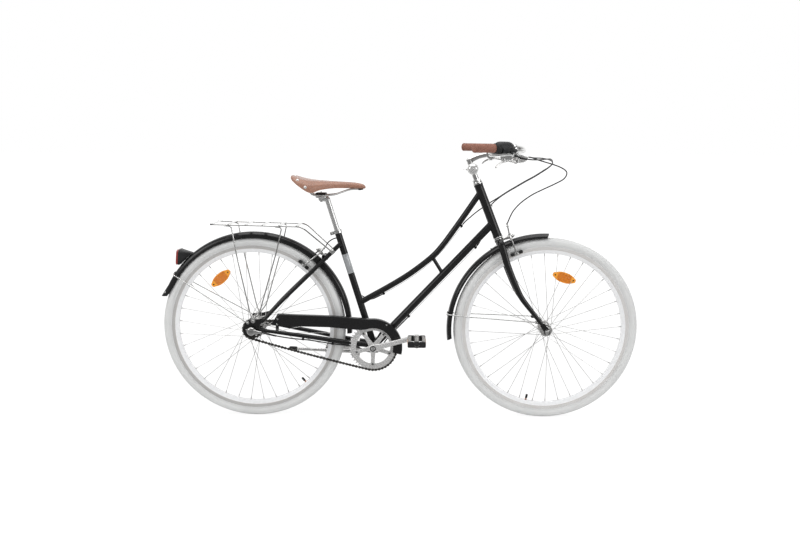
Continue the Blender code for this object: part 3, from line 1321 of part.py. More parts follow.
def make_rear_brake_cable():
    start = lever_cable_exit(1)
    inboard = to_side(GRIP_INBOARD, 1)
    end = barrel_top("rear") + cable_up("rear") * CABLE_GAP
    beneath = under_top_tube(0.30, 0.85)
    for point in beneath:
        if abs(point.x - STRUT_LINE[0].x - 0.012) < 0.045:
            point.y = STRUT_RADIUS + CABLE_RADIUS + 0.0032
    beside_seat = FORWARD * 0.0060 + LEFT * (SEAT_TUBE_RADIUS + CABLE_RADIUS + 0.0010)
    up_seat = beside_tube(BOTTOM_BRACKET + SEAT_UP * 0.205, BOTTOM_BRACKET + SEAT_UP * 0.385, beside_seat, 4)
    route = [start, start + inboard * 0.020, (0.5150, 0.1150, 0.9940), (0.5520, 0.0800, 0.9830),
             (0.5250, 0.0520, 0.9550), (0.4200, 0.0300, 0.8930), (0.3350, 0.0260, 0.8360),
             (0.2850, 0.0215, 0.7950), (0.2450, 0.0080, 0.7480), *beneath[::2],
             (-0.0950, 0.0120, 0.4590), (-0.1180, 0.0172, 0.4570), (-0.1380, 0.0172, 0.4660), *up_seat,
             (-0.2120, 0.0220, 0.6880), (-0.2260, 0.0230, 0.7060), (-0.2450, 0.0130, 0.7100),
             (-0.2630, -0.0040, 0.7010), (-0.2680, -0.0160, 0.6820), end + cable_up("rear") * 0.008, end]
    part("rear_brake_cable", tube(smooth_path(route, 62), CABLE_RADIUS, 1), BLACK_CASING)


def make_shift_cable():
    start = on_grip(0.1550, -1) + SHIFT_EXIT * 0.0190
    down_run = (DOWN_TUBE_LINE[1] - DOWN_TUBE_LINE[0]).normalized()
    below = Vector((-down_run.z, 0, down_run.x)) * (DOWN_TUBE_RADIUS + CABLE_RADIUS + 0.0015)
    beneath = beside_tube(DOWN_TUBE_LINE[0].lerp(DOWN_TUBE_LINE[1], 0.17),
                          DOWN_TUBE_LINE[0].lerp(DOWN_TUBE_LINE[1], 0.92), below, 5)
    route = [start, start + GRIP_INBOARD * 0.026, (0.4700, -0.1400, 0.9960), (0.5150, -0.0950, 0.9860),
             (0.5000, -0.0550, 0.9480), (0.4300, -0.0330, 0.8800), (0.3700, -0.0270, 0.8200),
             (0.3330, -0.0240, 0.7400), (0.3120, -0.0190, 0.6890), *beneath,
             (-0.0720, -0.0040, 0.2600), (-0.0880, -0.0120, 0.2540), (-0.1250, -0.0200, 0.2600),
             (-0.1600, -0.0262, 0.2780), (-0.2500, -0.0370, 0.2925), (-0.3400, -0.0465, 0.3090),
             (-0.4000, -0.0600, 0.3180), (-0.4600, -0.0720, 0.3310), (REAR_AXLE.x + 0.0480, -0.0795, 0.3430),
             (REAR_AXLE.x + 0.0402, -0.0803, REAR_AXLE.z - 0.003)]
    part("shift_cable", tube(smooth_path(route, 56), CABLE_RADIUS, 1), BLACK_CASING)


# Kickstand
def make_kickstand():
    axis = kickstand_axis()
    barrel = rod(0.0110, KICKSTAND_PIVOT - axis * 0.0100, KICKSTAND_PIVOT + axis * 0.0130, 12)
    start = KICKSTAND_PIVOT
    bend = start + KICKSTAND_FOLDED * 0.245
    foot = start + KICKSTAND_FOLDED * 0.268
    leg = tube([start, start + KICKSTAND_FOLDED * 0.06, bend, foot], 0.0072, 2, [1, 1, 0.95, 1.15])
    part("kickstand_leg", fused(barrel, leg), ALLOY, "kickstand")


# Saddle
SADDLE_CLAMP = Vector((-0.2900, 0, 0.8500))
RAIL_LINE = [(-0.1450, 0.0120, 0.8760), (-0.1800, 0.0160, 0.8740), (-0.2120, 0.0200, 0.8640),
             (-0.2450, 0.0220, 0.8545), (-0.3200, 0.0220, 0.8520), (-0.3520, 0.0300, 0.8680),
             (-0.3780, 0.0400, 0.8950)]
RAIL_RADIUS = 0.0034
SADDLE_SECTIONS = [
    (-0.3950, 0.9235, 0.052, 0.0165, 0.30), (-0.3850, 0.9205, 0.070, 0.0280, 0.45),
    (-0.3600, 0.9135, 0.083, 0.0390, 0.70), (-0.3250, 0.9085, 0.081, 0.0420, 0.90),
    (-0.2850, 0.9060, 0.060, 0.0300, 1.00), (-0.2400, 0.9040, 0.036, 0.0245, 1.00),
    (-0.1950, 0.9020, 0.025, 0.0225, 1.00), (-0.1580, 0.8990, 0.0205, 0.0200, 1.00),
    (-0.1330, 0.8930, 0.0160, 0.0150, 1.00), (-0.1250, 0.8860, 0.0100, 0.0080, 1.00)]


def make_saddle():
    """Leather stretched from a wide curled tail to a narrow nose, with hanging skirts."""
    sections = []
    for x, top, half_width, depth, fullness in SADDLE_SECTIONS:
        across = [(-1.0, -1.0), (-0.97, -0.45), (-0.72, -0.10 * fullness), (-0.36, -0.02), (0, 0),
                  (0.36, -0.02), (0.72, -0.10 * fullness), (0.97, -0.45), (1.0, -1.0)]
        sections.append([Vector((x, half_width * a, top + depth * b)) for a, b in across])
    item = shell(sections, 0.0040)
    part("saddle_cover", item, TAN_LEATHER, "seat")
    rails = []
    for side in (-1, 1):
        line = [Vector((x, y * side, z)) for x, y, z in RAIL_LINE]
        rails.append(tube(smooth_path(line, 10), RAIL_RADIUS, 1))
    nose = block((0.012, 0.030, 0.006), Matrix.Translation((-0.1450, 0, 0.8760)))
    tail = block((0.006, 0.100, 0.008), Matrix.Translation((-0.3780, 0, 0.8950)))
    part("saddle_rails", fused(rails[0], nose, tail, rails[1]), CHROME, "seat")


def make_seatpost():
    bottom = BOTTOM_BRACKET + SEAT_UP * 0.250
    top = BOTTOM_BRACKET + SEAT_UP * 0.582
    post = rod(SEATPOST_RADIUS, bottom, top, 16)
    head = block((0.044, 0.024, 0.014), Matrix.Translation((-0.2790, 0, 0.8385)))
    cradle = block((0.040, 0.056, 0.016), Matrix.Translation(SADDLE_CLAMP + UP * 0.002))
    item = fused(post, head, cradle)
    spaces = []
    for side in (-1, 1):
        line = [Vector((x, y * side, z)) for x, y, z in RAIL_LINE]
        spaces.append(tube(smooth_path(line, 10), RAIL_RADIUS + GAP * 1.2, 1))
    part("seatpost", cut(item, *spaces), ALLOY, "seat")


make_pivots()
make_head_tube()
make_top_tube()
make_down_tube()
make_seat_tube()
make_chainstays()
make_seatstays()
make_seat_clamp()
make_headset()
make_bottom_bracket()
make_rear_fender()
make_front_fender()
make_fender_stays()
make_tail_reflector()
make_rear_rack()
make_chain_guard()
make_chain()
make_toothed_wheels()
make_cranks()
make_pedal(-1, "pedal_right")
make_pedal(1, "pedal_left")
make_front_wheel()
make_rear_wheel()
make_reflector("front_wheel_reflector", FRONT_AXLE, 0.2088, math.radians(71.7), "front_wheel")
make_reflector("rear_wheel_reflector", REAR_AXLE, 0.2257, math.radians(123.5), "rear_wheel")
make_axles()
make_bell_crank()
make_fork()
make_stem()
make_handlebar()
make_grip("grip_right", -1, 0.090)
make_grip("grip_left", 1, 0.130)
make_lever_clamp("lever_clamp_right", -1)
make_lever_clamp("lever_clamp_left", 1)
make_brake_lever("brake_lever_right", -1)
make_brake_lever("brake_lever_left", 1)
make_shifter()
make_bell()
make_brakes()
make_front_brake_cable()
make_rear_brake_cable()
make_shift_cable()
make_kickstand()
make_saddle()
make_seatpost()
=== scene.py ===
"""City bike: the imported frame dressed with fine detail, finishes, light and a camera.

Metres, +X forward, +Y to the rider's left, +Z up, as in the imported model.
"""
import math

import bmesh
import bpy
from mathutils import Matrix, Vector
from mathutils.geometry import tessellate_polygon


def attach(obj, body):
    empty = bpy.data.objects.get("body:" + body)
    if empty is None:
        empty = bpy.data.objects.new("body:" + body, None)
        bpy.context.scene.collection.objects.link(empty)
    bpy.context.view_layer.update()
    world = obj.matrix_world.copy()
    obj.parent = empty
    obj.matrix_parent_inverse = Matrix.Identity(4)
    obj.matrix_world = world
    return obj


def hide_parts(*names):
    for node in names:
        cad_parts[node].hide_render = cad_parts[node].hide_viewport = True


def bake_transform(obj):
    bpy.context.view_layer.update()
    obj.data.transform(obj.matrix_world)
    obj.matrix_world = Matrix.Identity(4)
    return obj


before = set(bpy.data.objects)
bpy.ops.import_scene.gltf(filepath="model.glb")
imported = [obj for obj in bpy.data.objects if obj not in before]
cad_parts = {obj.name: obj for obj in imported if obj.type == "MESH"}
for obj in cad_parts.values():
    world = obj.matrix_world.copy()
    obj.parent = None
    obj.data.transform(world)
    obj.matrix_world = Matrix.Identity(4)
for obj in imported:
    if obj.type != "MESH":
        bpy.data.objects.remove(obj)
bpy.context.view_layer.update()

# The bike's main places and sizes
REAR_AXLE = Vector((-0.5504, 0, 0.348))
FRONT_AXLE = Vector((0.5564, 0, 0.348))
BOTTOM_BRACKET = Vector((-0.0955, 0, 0.282))
HEAD_TOP = Vector((0.2925, 0, 0.8954))
HEAD_ANGLE = math.radians(68.5)
HEAD_LENGTH = 0.2097
SEAT_ANGLE = math.radians(72.8)
SEAT_TUBE_LENGTH = 0.4344
TOP_TUBE_RADIUS = 0.0111
DOWN_TUBE_RADIUS = 0.0143
STRUT_RADIUS = 0.007
HEAD_TUBE_RADIUS = 0.01675
SEAT_TUBE_RADIUS = 0.0129
BAR_RADIUS = 0.0111
BAR_CENTRE_RADIUS = 0.0127
CABLE_RADIUS = 0.0023
RIM_INNER_RADIUS = 0.289
FORK_HALF_WIDTH = 0.0503
STAY_HALF_WIDTH = 0.06
DROPOUT_THICKNESS = 0.005
CHAIN_PITCH = 0.0127
RING_TEETH = 44
SPROCKET_TEETH = 18
CHAIN_LINKS = 104
CHAIN_Y = -0.043
CRANK_LENGTH = 0.17
CRANK_ANGLE = math.radians(16.2)
BOLT_CIRCLE_RADIUS = 0.0645

FORWARD = Vector((1, 0, 0))
LEFT = Vector((0, 1, 0))
UP = Vector((0, 0, 1))
HEAD_DOWN = Vector((math.cos(HEAD_ANGLE), 0, -math.sin(HEAD_ANGLE)))
HEAD_FORWARD = Vector((math.sin(HEAD_ANGLE), 0, math.cos(HEAD_ANGLE)))
HEAD_BOTTOM = HEAD_TOP + HEAD_DOWN * HEAD_LENGTH
SEAT_UP = Vector((-math.cos(SEAT_ANGLE), 0, math.sin(SEAT_ANGLE)))
CRANK_FORWARD = Vector((math.cos(CRANK_ANGLE), 0, math.sin(CRANK_ANGLE)))


# Finishes
def feed(tree, node, inputs):
    """Gives a node's inputs their values: each is a number, a colour or another node's output."""
    for name, value in inputs.items():
        if isinstance(value, bpy.types.NodeSocket):
            tree.links.new(value, node.inputs[name])
        else:
            node.inputs[name].default_value = value
    return node


def add_node(tree, kind, inputs):
    return feed(tree, tree.nodes.new("ShaderNode" + kind), inputs)


def maths(tree, kind, operation, *values):
    """The result of a Math or VectorMath node."""
    node = tree.nodes.new("ShaderNode" + kind)
    node.operation = operation
    feed(tree, node, dict(enumerate(values)))
    return node.outputs["Value" if operation == "LENGTH" else 0]


def mixed(tree, share, first, second):
    """Two shaders mixed by a share."""
    return add_node(tree, "MixShader", {0: share, 1: first, 2: second}).outputs[0]


def mix_node(tree, share, first, second):
    """A colour that runs from the first to the second by a share."""
    node = tree.nodes.new("ShaderNodeMix")
    node.data_type = "RGBA"
    tree.links.new(share, node.inputs["Factor"])
    for name, colour in (("A", first), ("B", second)):
        socket = [s for s in node.inputs if s.name == name and s.type == "RGBA"][0]
        socket.default_value = (*colour, 1)
    return [s for s in node.outputs if s.type == "RGBA"][0]


def scaled(tree, value, low, high, to_low, to_high):
    ranges = {"Value": value, "From Min": low, "From Max": high, "To Min": to_low, "To Max": to_high}
    return add_node(tree, "MapRange", ranges).outputs["Result"]


def noise(tree, place, scale, detail=3.0, stretch=(1, 1, 1)):
    mapping = add_node(tree, "Mapping", {"Vector": place, "Scale": stretch})
    inputs = {"Vector": mapping.outputs["Vector"], "Scale": scale, "Detail": detail}
    return add_node(tree, "TexNoise", inputs).outputs["Fac"]


def cells(tree, place, scale, feature="F1"):
    node = tree.nodes.new("ShaderNodeTexVoronoi")
    node.feature = feature
    feed(tree, node, {"Scale": scale, "Vector": place})
    return node.outputs["Distance"]


def bumped(tree, height, strength, distance, below=None):
    inputs = {"Strength": strength, "Distance": distance, "Height": height}
    if below:
        inputs["Normal"] = below
    return add_node(tree, "Bump", inputs).outputs["Normal"]


def new_look(name, slot):
    look = bpy.data.materials.new(name)
    look.use_nodes = True
    look["slot"] = slot
    return look


def parts_of(look):
    """A material's node tree, its shader and its object's own coordinates."""
    tree = look.node_tree
    return tree, tree.nodes["Principled BSDF"], add_node(tree, "TexCoord", {}).outputs["Object"]


def finish(name, slot, colour, roughness, metallic=0.0, shade=0.85, patch=35.0, vary=0.05, smear=90.0,
           grain=900.0, relief=0.15, depth=0.0002, coat=0.0, pebble=0.0, pebble_scale=500.0,
           stretch=(1, 1, 1), **sockets):
    """A finish whose colour, roughness and relief each follow their own pattern."""
    look = new_look(name, slot)
    tree, shader, place = parts_of(look)
    darker = tuple(c * shade for c in colour)
    tint = scaled(tree, noise(tree, place, patch), 0.3, 0.7, 0.0, 1.0)
    smears = scaled(tree, noise(tree, place, smear, 5.0, stretch), 0.3, 0.7, roughness - vary,
                    roughness + vary)
    normal = bumped(tree, noise(tree, place, grain, 2.0, stretch), relief, depth)
    if pebble:
        normal = bumped(tree, cells(tree, place, pebble_scale), pebble, depth * 2, normal)
    feed(tree, shader, {"Base Color": mix_node(tree, tint, darker, colour), "Roughness": smears,
                        "Normal": normal, "Metallic": metallic, "Coat Weight": coat, "Coat Roughness": 0.04})
    feed(tree, shader, {socket.replace("_", " "): value for socket, value in sockets.items()})
    look.diffuse_color = (*colour, 1)
    return look


BLACK_PAINT = finish("gloss_black_paint", "black_paint", (0.01, 0.01, 0.0104), 0.24, shade=0.8, vary=0.05,
                     grain=260.0, relief=0.03, Specular_IOR_Level=0.48)
CHROME = finish("chrome_plate", "chrome", (0.83, 0.83, 0.82), 0.1, 1.0, shade=0.95, vary=0.04, relief=0.03)
BELL_CHROME = finish("bell_plate", "chrome", (0.8, 0.8, 0.79), 0.12, 0.6, shade=0.95, vary=0.04, relief=0.03)
ALLOY = finish("polished_alloy_metal", "polished_alloy", (0.8, 0.795, 0.785), 0.22, 1.0, shade=0.92,
               vary=0.07, relief=0.1, smear=240.0)
BRUSHED = finish("brushed_alloy", "polished_alloy", (0.78, 0.78, 0.775), 0.33, 1.0, shade=0.93, vary=0.06,
                 relief=0.25, stretch=(1, 6, 1))
POST_ALLOY = finish("brushed_post_alloy", "polished_alloy", (0.8, 0.8, 0.795), 0.27, 0.86, shade=0.95,
                    vary=0.05, relief=0.15, stretch=(1, 6, 1))
SPOKE_STEEL = finish("spoke_steel", "polished_alloy", (0.84, 0.835, 0.825), 0.36, 1.0, shade=0.95)
RIM_WHITE = finish("white_rim_enamel", "pale_rim", (0.87, 0.875, 0.885), 0.28, shade=0.97, coat=0.6,
                   relief=0.04)
# Painted shade: a grey-brown for the seam where the rim's side wall steps in to the brake track
RIM_SEAM_SHADE = finish("rim_seam_painted_shade", "pale_rim", (0.57, 0.54, 0.51), 0.45, shade=0.92, vary=0.08)
RUBBER_GREY = finish("pale_tyre_rubber", "pale_rubber", (0.675, 0.68, 0.675), 0.72, shade=0.94, patch=14.0,
                     relief=0.5, grain=1400.0, vary=0.08, pebble=0.15, pebble_scale=900.0)
GRIP_BROWN = finish("brown_grip_rubber", "tan_rubber", (0.285, 0.12, 0.082), 0.62, shade=0.8, patch=60.0,
                    relief=0.15, pebble=0.1, pebble_scale=1100.0, vary=0.05)
BLACK_RESIN = finish("black_moulded_resin", "black_plastic", (0.017, 0.017, 0.018), 0.46, shade=0.75,
                     relief=0.3, pebble=0.25, pebble_scale=1500.0, vary=0.1)
BLACK_RUBBER = finish("black_soft_rubber", "black_plastic", (0.021, 0.021, 0.021), 0.7, shade=0.75,
                      relief=0.5, pebble=0.35, pebble_scale=900.0, vary=0.09)
CASING = finish("black_cable_casing", "black_casing", (0.016, 0.016, 0.017), 0.36, shade=0.8, relief=0.08)
CHAIN_DARK = finish("oiled_chain_steel", "chain_steel", (0.085, 0.08, 0.075), 0.38, 0.9, shade=0.6,
                    patch=120.0, vary=0.12, relief=0.25)
CHAIN_BRIGHT = finish("worn_chain_steel", "chain_steel", (0.34, 0.33, 0.31), 0.3, 1.0, shade=0.6,
                      patch=120.0, vary=0.1, relief=0.2)
CRANK_ALLOY = finish("satin_crank_alloy", "polished_alloy", (0.74, 0.735, 0.73), 0.26, 0.5, shade=0.94,
                     vary=0.05, relief=0.1, smear=240.0)
PEDAL_ALLOY = finish("scuffed_pedal_alloy", "polished_alloy", (0.42, 0.41, 0.395), 0.38, 0.9, shade=0.8,
                     vary=0.08, relief=0.15, smear=260.0)
COPPER = finish("copper_valve", "chain_steel", (0.72, 0.42, 0.3), 0.25, 1.0)
CLEAR = finish("clear_gear_window", "black_plastic", (0.86, 0.87, 0.88), 0.08, shade=0.97, coat=1.0,
               Transmission_Weight=0.55, IOR=1.45)
BAND_SILVER = finish("silver_band", "polished_alloy", (0.42, 0.435, 0.445), 0.38, 0.35, shade=0.94, coat=0.8,
                     relief=0.05)


def lens(name, slot, colour, deep):
    """Moulded reflector plastic: prisms painted bright in the middle and shaded at the edges, under a glossy
    face.
    """
    look = finish(name, slot, colour, 0.24, shade=0.8, coat=0.3, relief=0.05, vary=0.04)
    tree, shader, place = parts_of(look)
    # Painted highlight and shade: each cell runs from the bright colour at its middle to the deep one at its
    # edges
    facets = cells(tree, place, 420.0)
    shade = scaled(tree, facets, 0.05, 0.5, 0.0, 1.0)
    feed(tree, shader, {"Base Color": mix_node(tree, shade, colour, deep),
                        "Normal": bumped(tree, facets, 0.5, 0.0008)})
    return look


AMBER_FACE = lens("amber_prisms", "amber_lens", (0.76, 0.235, 0.01), (0.62, 0.165, 0.006))
AMBER_RIM = finish("amber_rim", "amber_lens", (0.9, 0.36, 0.035), 0.22, shade=0.95, coat=0.3)
RED_FACE = lens("red_prisms", "red_lens", (0.66, 0.03, 0.022), (0.36, 0.01, 0.01))
RED_EDGE = finish("red_lens_edge", "red_lens", (0.3, 0.035, 0.03), 0.18, shade=0.8, coat=1.0)


def leather(name):
    """Waxed leather: pores, fine creases and an uneven tint."""
    look = finish(name, "tan_leather", (0.358, 0.18, 0.122), 0.4, shade=0.86, patch=26.0, vary=0.09,
                  relief=0.35, grain=1500.0, depth=0.0003, coat=0.22)
    tree, shader, place = parts_of(look)
    valley = scaled(tree, cells(tree, place, 620.0, "DISTANCE_TO_EDGE"), 0.0, 0.12, 0.0, 1.0)
    pores = scaled(tree, noise(tree, place, 2600.0, 2.0), 0.35, 0.6, 0.0, 1.0)
    normal = bumped(tree, pores, 0.25, 0.0002, bumped(tree, valley, 0.35, 0.0003))
    feed(tree, shader, {"Normal": normal, "Sheen Weight": 0.15, "Sheen Roughness": 0.4})
    return look


LEATHER = leather("tan_saddle_leather")


def ring_brushed(name, centre, pale):
    """A machined brake track: fine circles about the axle, its broad grey-brown patches a painted reflection.
    """
    look = new_look(name, "polished_alloy")
    tree, shader, place = parts_of(look)
    moved = maths(tree, "VectorMath", "SUBTRACT", place, centre)
    flat = maths(tree, "VectorMath", "MULTIPLY", moved, (1, 0, 1))
    rings = tree.nodes.new("ShaderNodeTexNoise")
    rings.noise_dimensions = "1D"
    feed(tree, rings, {"Scale": 2500.0, "W": maths(tree, "VectorMath", "LENGTH", flat)})
    fine = rings.outputs["Fac"]
    # Painted reflection: the grey-brown and the pale colour that the broad patches run between
    dark, light = (tuple(c * pale for c in colour) for colour in ((0.7, 0.675, 0.65), (0.84, 0.835, 0.83)))
    feed(tree, shader, {"Base Color": mix_node(tree, noise(tree, place, 18.0, 4.0), dark, light),
                        "Roughness": scaled(tree, fine, 0.3, 0.7, 0.24, 0.42),
                        "Normal": bumped(tree, fine, 0.12, 0.0002), "Metallic": 0.25})
    return look


# Shape helpers
def frame_at(origin, along, side=LEFT):
    """A frame at origin with its Z along a direction and its Y as near as can be to side."""
    z = Vector(along).normalized()
    y = Vector(side) - z * z.dot(Vector(side))
    if y.length < 0.001:
        y = FORWARD - z * z.dot(FORWARD)
    y.normalize()
    x = y.cross(z)
    return Matrix.Translation(origin) @ Matrix((x, y, z)).transposed().to_4x4()


def side_place(y):
    """A plane seen from the drive side: its X is forward, its Y is up, and it lies at y."""
    return Matrix.Translation((0, y, 0)) @ Matrix.Rotation(math.pi / 2, 4, "X")


def around(centre, angle, radius, y=0.0):
    return Vector((centre.x + radius * math.cos(angle), y, centre.z + radius * math.sin(angle)))


def mirrored(point):
    return Vector((point[0], -point[1], point[2]))


def on_side(points, side):
    """Points of the bike's left side, put on the given side."""
    return [Vector((x, y * side, z)) for x, y, z in points]


def side_view(points):
    """Points as they are seen from the side."""
    return [(point.x, point.z) for point in points]


def both_halves(half):
    """A profile's first half and its mirror image."""
    return half + [(radius, -height) for radius, height in reversed(half[:-1])]


def collar(bore, shoulder, radius, edge, half):
    """The profile of a ring of half its width each way, whose rim is eased from edge out."""
    return [(bore, -half), (shoulder, -half), (radius, -edge), (radius, edge), (shoulder, half),
            (bore, half)]


def arc(radius, first, end, step, x=0, y=0):
    """Points on a circle about x, y, from one angle in degrees up to another."""
    turns = [math.radians(degrees) for degrees in range(first, end, step)]
    return [(x + radius * math.cos(turn), y + radius * math.sin(turn)) for turn in turns]


def walk(points, count):
    """The span, and the share of it, at even distances along a run of points."""
    lengths = [0.0]
    for a, b in zip(points, points[1:]):
        lengths.append(lengths[-1] + (Vector(b) - Vector(a)).length)
    span = 0
    for k in range(count):
        goal = lengths[-1] * k / (count - 1)
        while span < len(points) - 2 and lengths[span + 1] < goal:
            span += 1
        yield span, (goal - lengths[span]) / max(lengths[span + 1] - lengths[span], 1e-9)


def spaced(points, count):
    """Points at even distances along a run of points."""
    return [points[span].lerp(points[span + 1], share) for span, share in walk(points, count)]


def shared(points, values, count):
    """Values given at points, read at even distances along the run of points."""
    return [values[span] + (values[span + 1] - values[span]) * share for span, share in walk(points, count)]


def curve_at(a, b, c, d, t):
    """A share t of the way from b to c on a smooth curve through four points or numbers."""
    bend = (2 * a - 5 * b + 4 * c - d) * t * t + (3 * b - a - 3 * c + d) * t ** 3
    return 0.5 * (2 * b + (c - a) * t + bend)


def smooth_path(points, count):
    """Evenly spaced points on a smooth curve through the given ones."""
    knots = [Vector(point) for point in points]
    padded = [2 * knots[0] - knots[1], *knots, 2 * knots[-1] - knots[-2]]
    fine = []
    for i in range(len(knots) - 1):
        fine.extend(curve_at(*padded[i:i + 4], k / 12) for k in range(12))
    fine.append(knots[-1])
    return spaced(fine, count)


def eased(knots, count):
    """Rows of numbers on a smooth curve through the given rows, evenly shared between them."""
    rows = [knots[0], *knots, knots[-1]]
    spans = len(knots) - 1
    result = []
    for k in range(count):
        where = k / (count - 1) * spans
        i = min(int(where), spans - 1)
        result.append([curve_at(*column, where - i) for column in zip(*rows[i:i + 4])])
    return result


def corner(before, here, after, radius, steps):
    """A short arc in place of a corner."""
    reach = min(radius, (here - before).length * 0.45, (after - here).length * 0.45)
    start = here + (before - here).normalized() * reach
    end = here + (after - here).normalized() * reach
    shares = [k / steps for k in range(steps + 1)]
    return [start.lerp(here, t).lerp(here.lerp(end, t), t) for t in shares]


def rounded(points, radius, steps=5):
    """A run of points whose corners are turned into short arcs."""
    points = [Vector(point) for point in points]
    result = [points[0]]
    for before, here, after in zip(points, points[1:], points[2:]):
        result.extend(corner(before, here, after, radius, steps))
    return [*result, points[-1]]


def soft_loop(points, radius, steps=4):
    """A closed outline whose corners are turned into short arcs."""
    count = len(points)
    result = []
    for i in range(count):
        before, here, after = (Vector(points[(i + k) % count]) for k in (-1, 0, 1))
        result.extend((point.x, point.y) for point in corner(before, here, after, radius, steps))
    return result


def one_each(value, count):
    """A list as it is, or one value as often as count says."""
    return list(value) if isinstance(value, (list, tuple)) else [value] * count


CIRCLE = {}


def circle(sides):
    if sides not in CIRCLE:
        CIRCLE[sides] = [(math.cos(math.tau * k / sides), math.sin(math.tau * k / sides))
                         for k in range(sides)]
    return CIRCLE[sides]


def soft_square(sides, power=4.0):
    """A unit square section with well rounded corners."""
    result = []
    for k in range(sides):
        angle = math.tau * (k + 0.5) / sides
        c, s = math.cos(angle), math.sin(angle)
        result.append((math.copysign(abs(c) ** (2 / power), c), math.copysign(abs(s) ** (2 / power), s)))
    return result


class Shape:
    """Vertices and faces gathered for one piece; each face has the number of its finish."""

    def __init__(self):
        self.verts = []
        self.faces = []
        self.slots = []

    def add(self, verts, faces, slot=0, place=None):
        start = len(self.verts)
        self.verts.extend(place @ Vector(v) if place else Vector(v) for v in verts)
        self.faces.extend([start + i for i in face] for face in faces)
        self.slots.extend([slot] * len(faces))
        return self

    def loft(self, rings, slot=0, place=None, caps=(0, -1), closed=False):
        """A skin over rings of as many points each, with a flat face on each ring in caps."""
        sides = len(rings[0])
        faces = []
        for i in range(len(rings) if closed else len(rings) - 1):
            a = i * sides
            b = (i + 1) % len(rings) * sides
            faces.extend((a + k, a + (k + 1) % sides, b + (k + 1) % sides, b + k) for k in range(sides))
        for cap in caps:
            start = cap % len(rings) * sides
            faces.append(tuple(range(start, start + sides)))
        return self.add([point for ring in rings for point in ring], faces, slot, place)

    def facet(self, centre, across, up, tip, place=None):
        """One small prism of a reflector: four faces that meet in a tip."""
        centre, across, up = Vector(centre), Vector(across), Vector(up)
        corners = [centre - across - up, centre + across - up, centre + across + up, centre - across + up]
        return self.add([*corners, tip], [(0, 1, 4), (1, 2, 4), (2, 3, 4), (3, 0, 4)], 0, place)

    def lathe(self, profile, place, steps=48, slot=0, ring=False, slots=None, change=None):
        """A profile of (radius, height) turned about the place's Z. A ring's profile is closed."""
        count = len(profile)
        start = len(self.verts)
        for k, (c, s) in enumerate(circle(steps)):
            for i, (radius, height) in enumerate(profile):
                if change:
                    radius, height = change(k, i, radius, height)
                self.verts.append(place @ Vector((radius * c, radius * s, height)))
        for i in range(count if ring else count - 1):
            j = (i + 1) % count
            for k in range(steps):
                a = start + k * count
                b = start + (k + 1) % steps * count
                self.faces.append((a + i, b + i, b + j, a + j))
            self.slots.extend([slots[i] if slots else slot] * steps)
        return self

    def sweep(self, points, radius, sides=16, slot=0, wide=None, side=None, section=None, closed=False,
              ends=0.0):
        """A tube along points. Its radius, and an oval's other half width, may be given for each point."""
        points = [Vector(point) for point in points]
        radii = one_each(radius, len(points))
        wides = list(radii) if wide is None else one_each(wide, len(points))
        if ends:
            for last, inner, place in ((0, 1, slice(0, 1)), (-1, -2, slice(-1, None))):
                outward = (points[last] - points[inner]).normalized()
                run = []
                for turn in (0, 25, 50, 72):
                    angle = math.radians(turn)
                    run.append((points[last] - outward * ends * (1 - math.sin(angle)), math.cos(angle)))
                if last == 0:
                    run.reverse()
                points[place] = [point for point, _ in run]
                radii[place] = [radii[last] * share for _, share in run]
                wides[place] = [wides[last] * share for _, share in run]
        count = len(points)
        section = section or circle(sides)
        rings = []
        y = LEFT
        for i, point in enumerate(points):
            before = points[(i - 1) % count] if closed else points[max(i - 1, 0)]
            after = points[(i + 1) % count] if closed else points[min(i + 1, count - 1)]
            z = (after - before).normalized()
            reference = y if side is None else Vector(side)
            y = reference - z * z.dot(reference)
            if y.length < 0.01:
                y = FORWARD - z * z.dot(FORWARD)
            y.normalize()
            x = y.cross(z)
            rings.append([point + x * (u * radii[i]) + y * (v * wides[i]) for u, v in section])
        return self.loft(rings, slot, caps=() if closed else (0, -1), closed=closed)

    def bar(self, points, half, wide, side, sides, power=4.0, slot=0, ends=0.0):
        """A bar of softly squared section, whose half width is wide along side and half across it."""
        section = soft_square(sides, power)
        return self.sweep(points, half, slot=slot, wide=wide, side=side, section=section, ends=ends)

    def rod(self, radius, start, end, sides=20, slot=0, soft=0.0):
        """A round bar, its ends eased by soft."""
        start = Vector(start)
        end = Vector(end)
        length = (end - start).length
        profile = [(0, 0), (radius - soft, 0), (radius, soft), (radius, length - soft),
                   (radius - soft, length), (0, length)]
        return self.lathe(profile, frame_at(start, end - start), sides, slot)

    def prism(self, outline, thickness, place, slot=0, holes=()):
        """A flat plate from an outline in the place's XY, centred on it."""
        loops = [outline, *holes]
        flat = [(x, y) for loop in loops for x, y in loop]
        count = len(flat)
        verts = [(x, y, -thickness / 2) for x, y in flat] + [(x, y, thickness / 2) for x, y in flat]
        faces = []
        for tri in tessellate_polygon([[Vector((x, y, 0)) for x, y in loop] for loop in loops]):
            faces.append(tuple(tri))
            faces.append(tuple(i + count for i in reversed(tri)))
        start = 0
        for loop in loops:
            size = len(loop)
            for k in range(size):
                a = start + k
                b = start + (k + 1) % size
                faces.append((a, b, b + count, a + count))
            start += size
        return self.add(verts, faces, slot, place)

    def box(self, size, place):
        x, y, z = (value / 2 for value in size)
        return self.prism([(-x, -y), (x, -y), (x, y), (-x, y)], 2 * z, place)

    def nut(self, across, height, base, along, slot=0, hole=0.0, washer=0.0):
        """A six-sided nut or bolt head on a base point, with eased corners."""
        radius = across / math.sqrt(3)
        ease = across * 0.06
        profile = [(hole, 0), (radius, 0), (radius, height - ease), (radius - ease * 1.5, height),
                   (hole, height)]
        place = frame_at(base, along)
        self.lathe(profile, place, 6, slot, ring=hole > 0)
        if washer:
            flat = [(hole, 0), (washer, 0), (washer, 0.0009), (hole, 0.0009)]
            self.lathe(flat, place, 24, slot, ring=hole > 0)
        return self

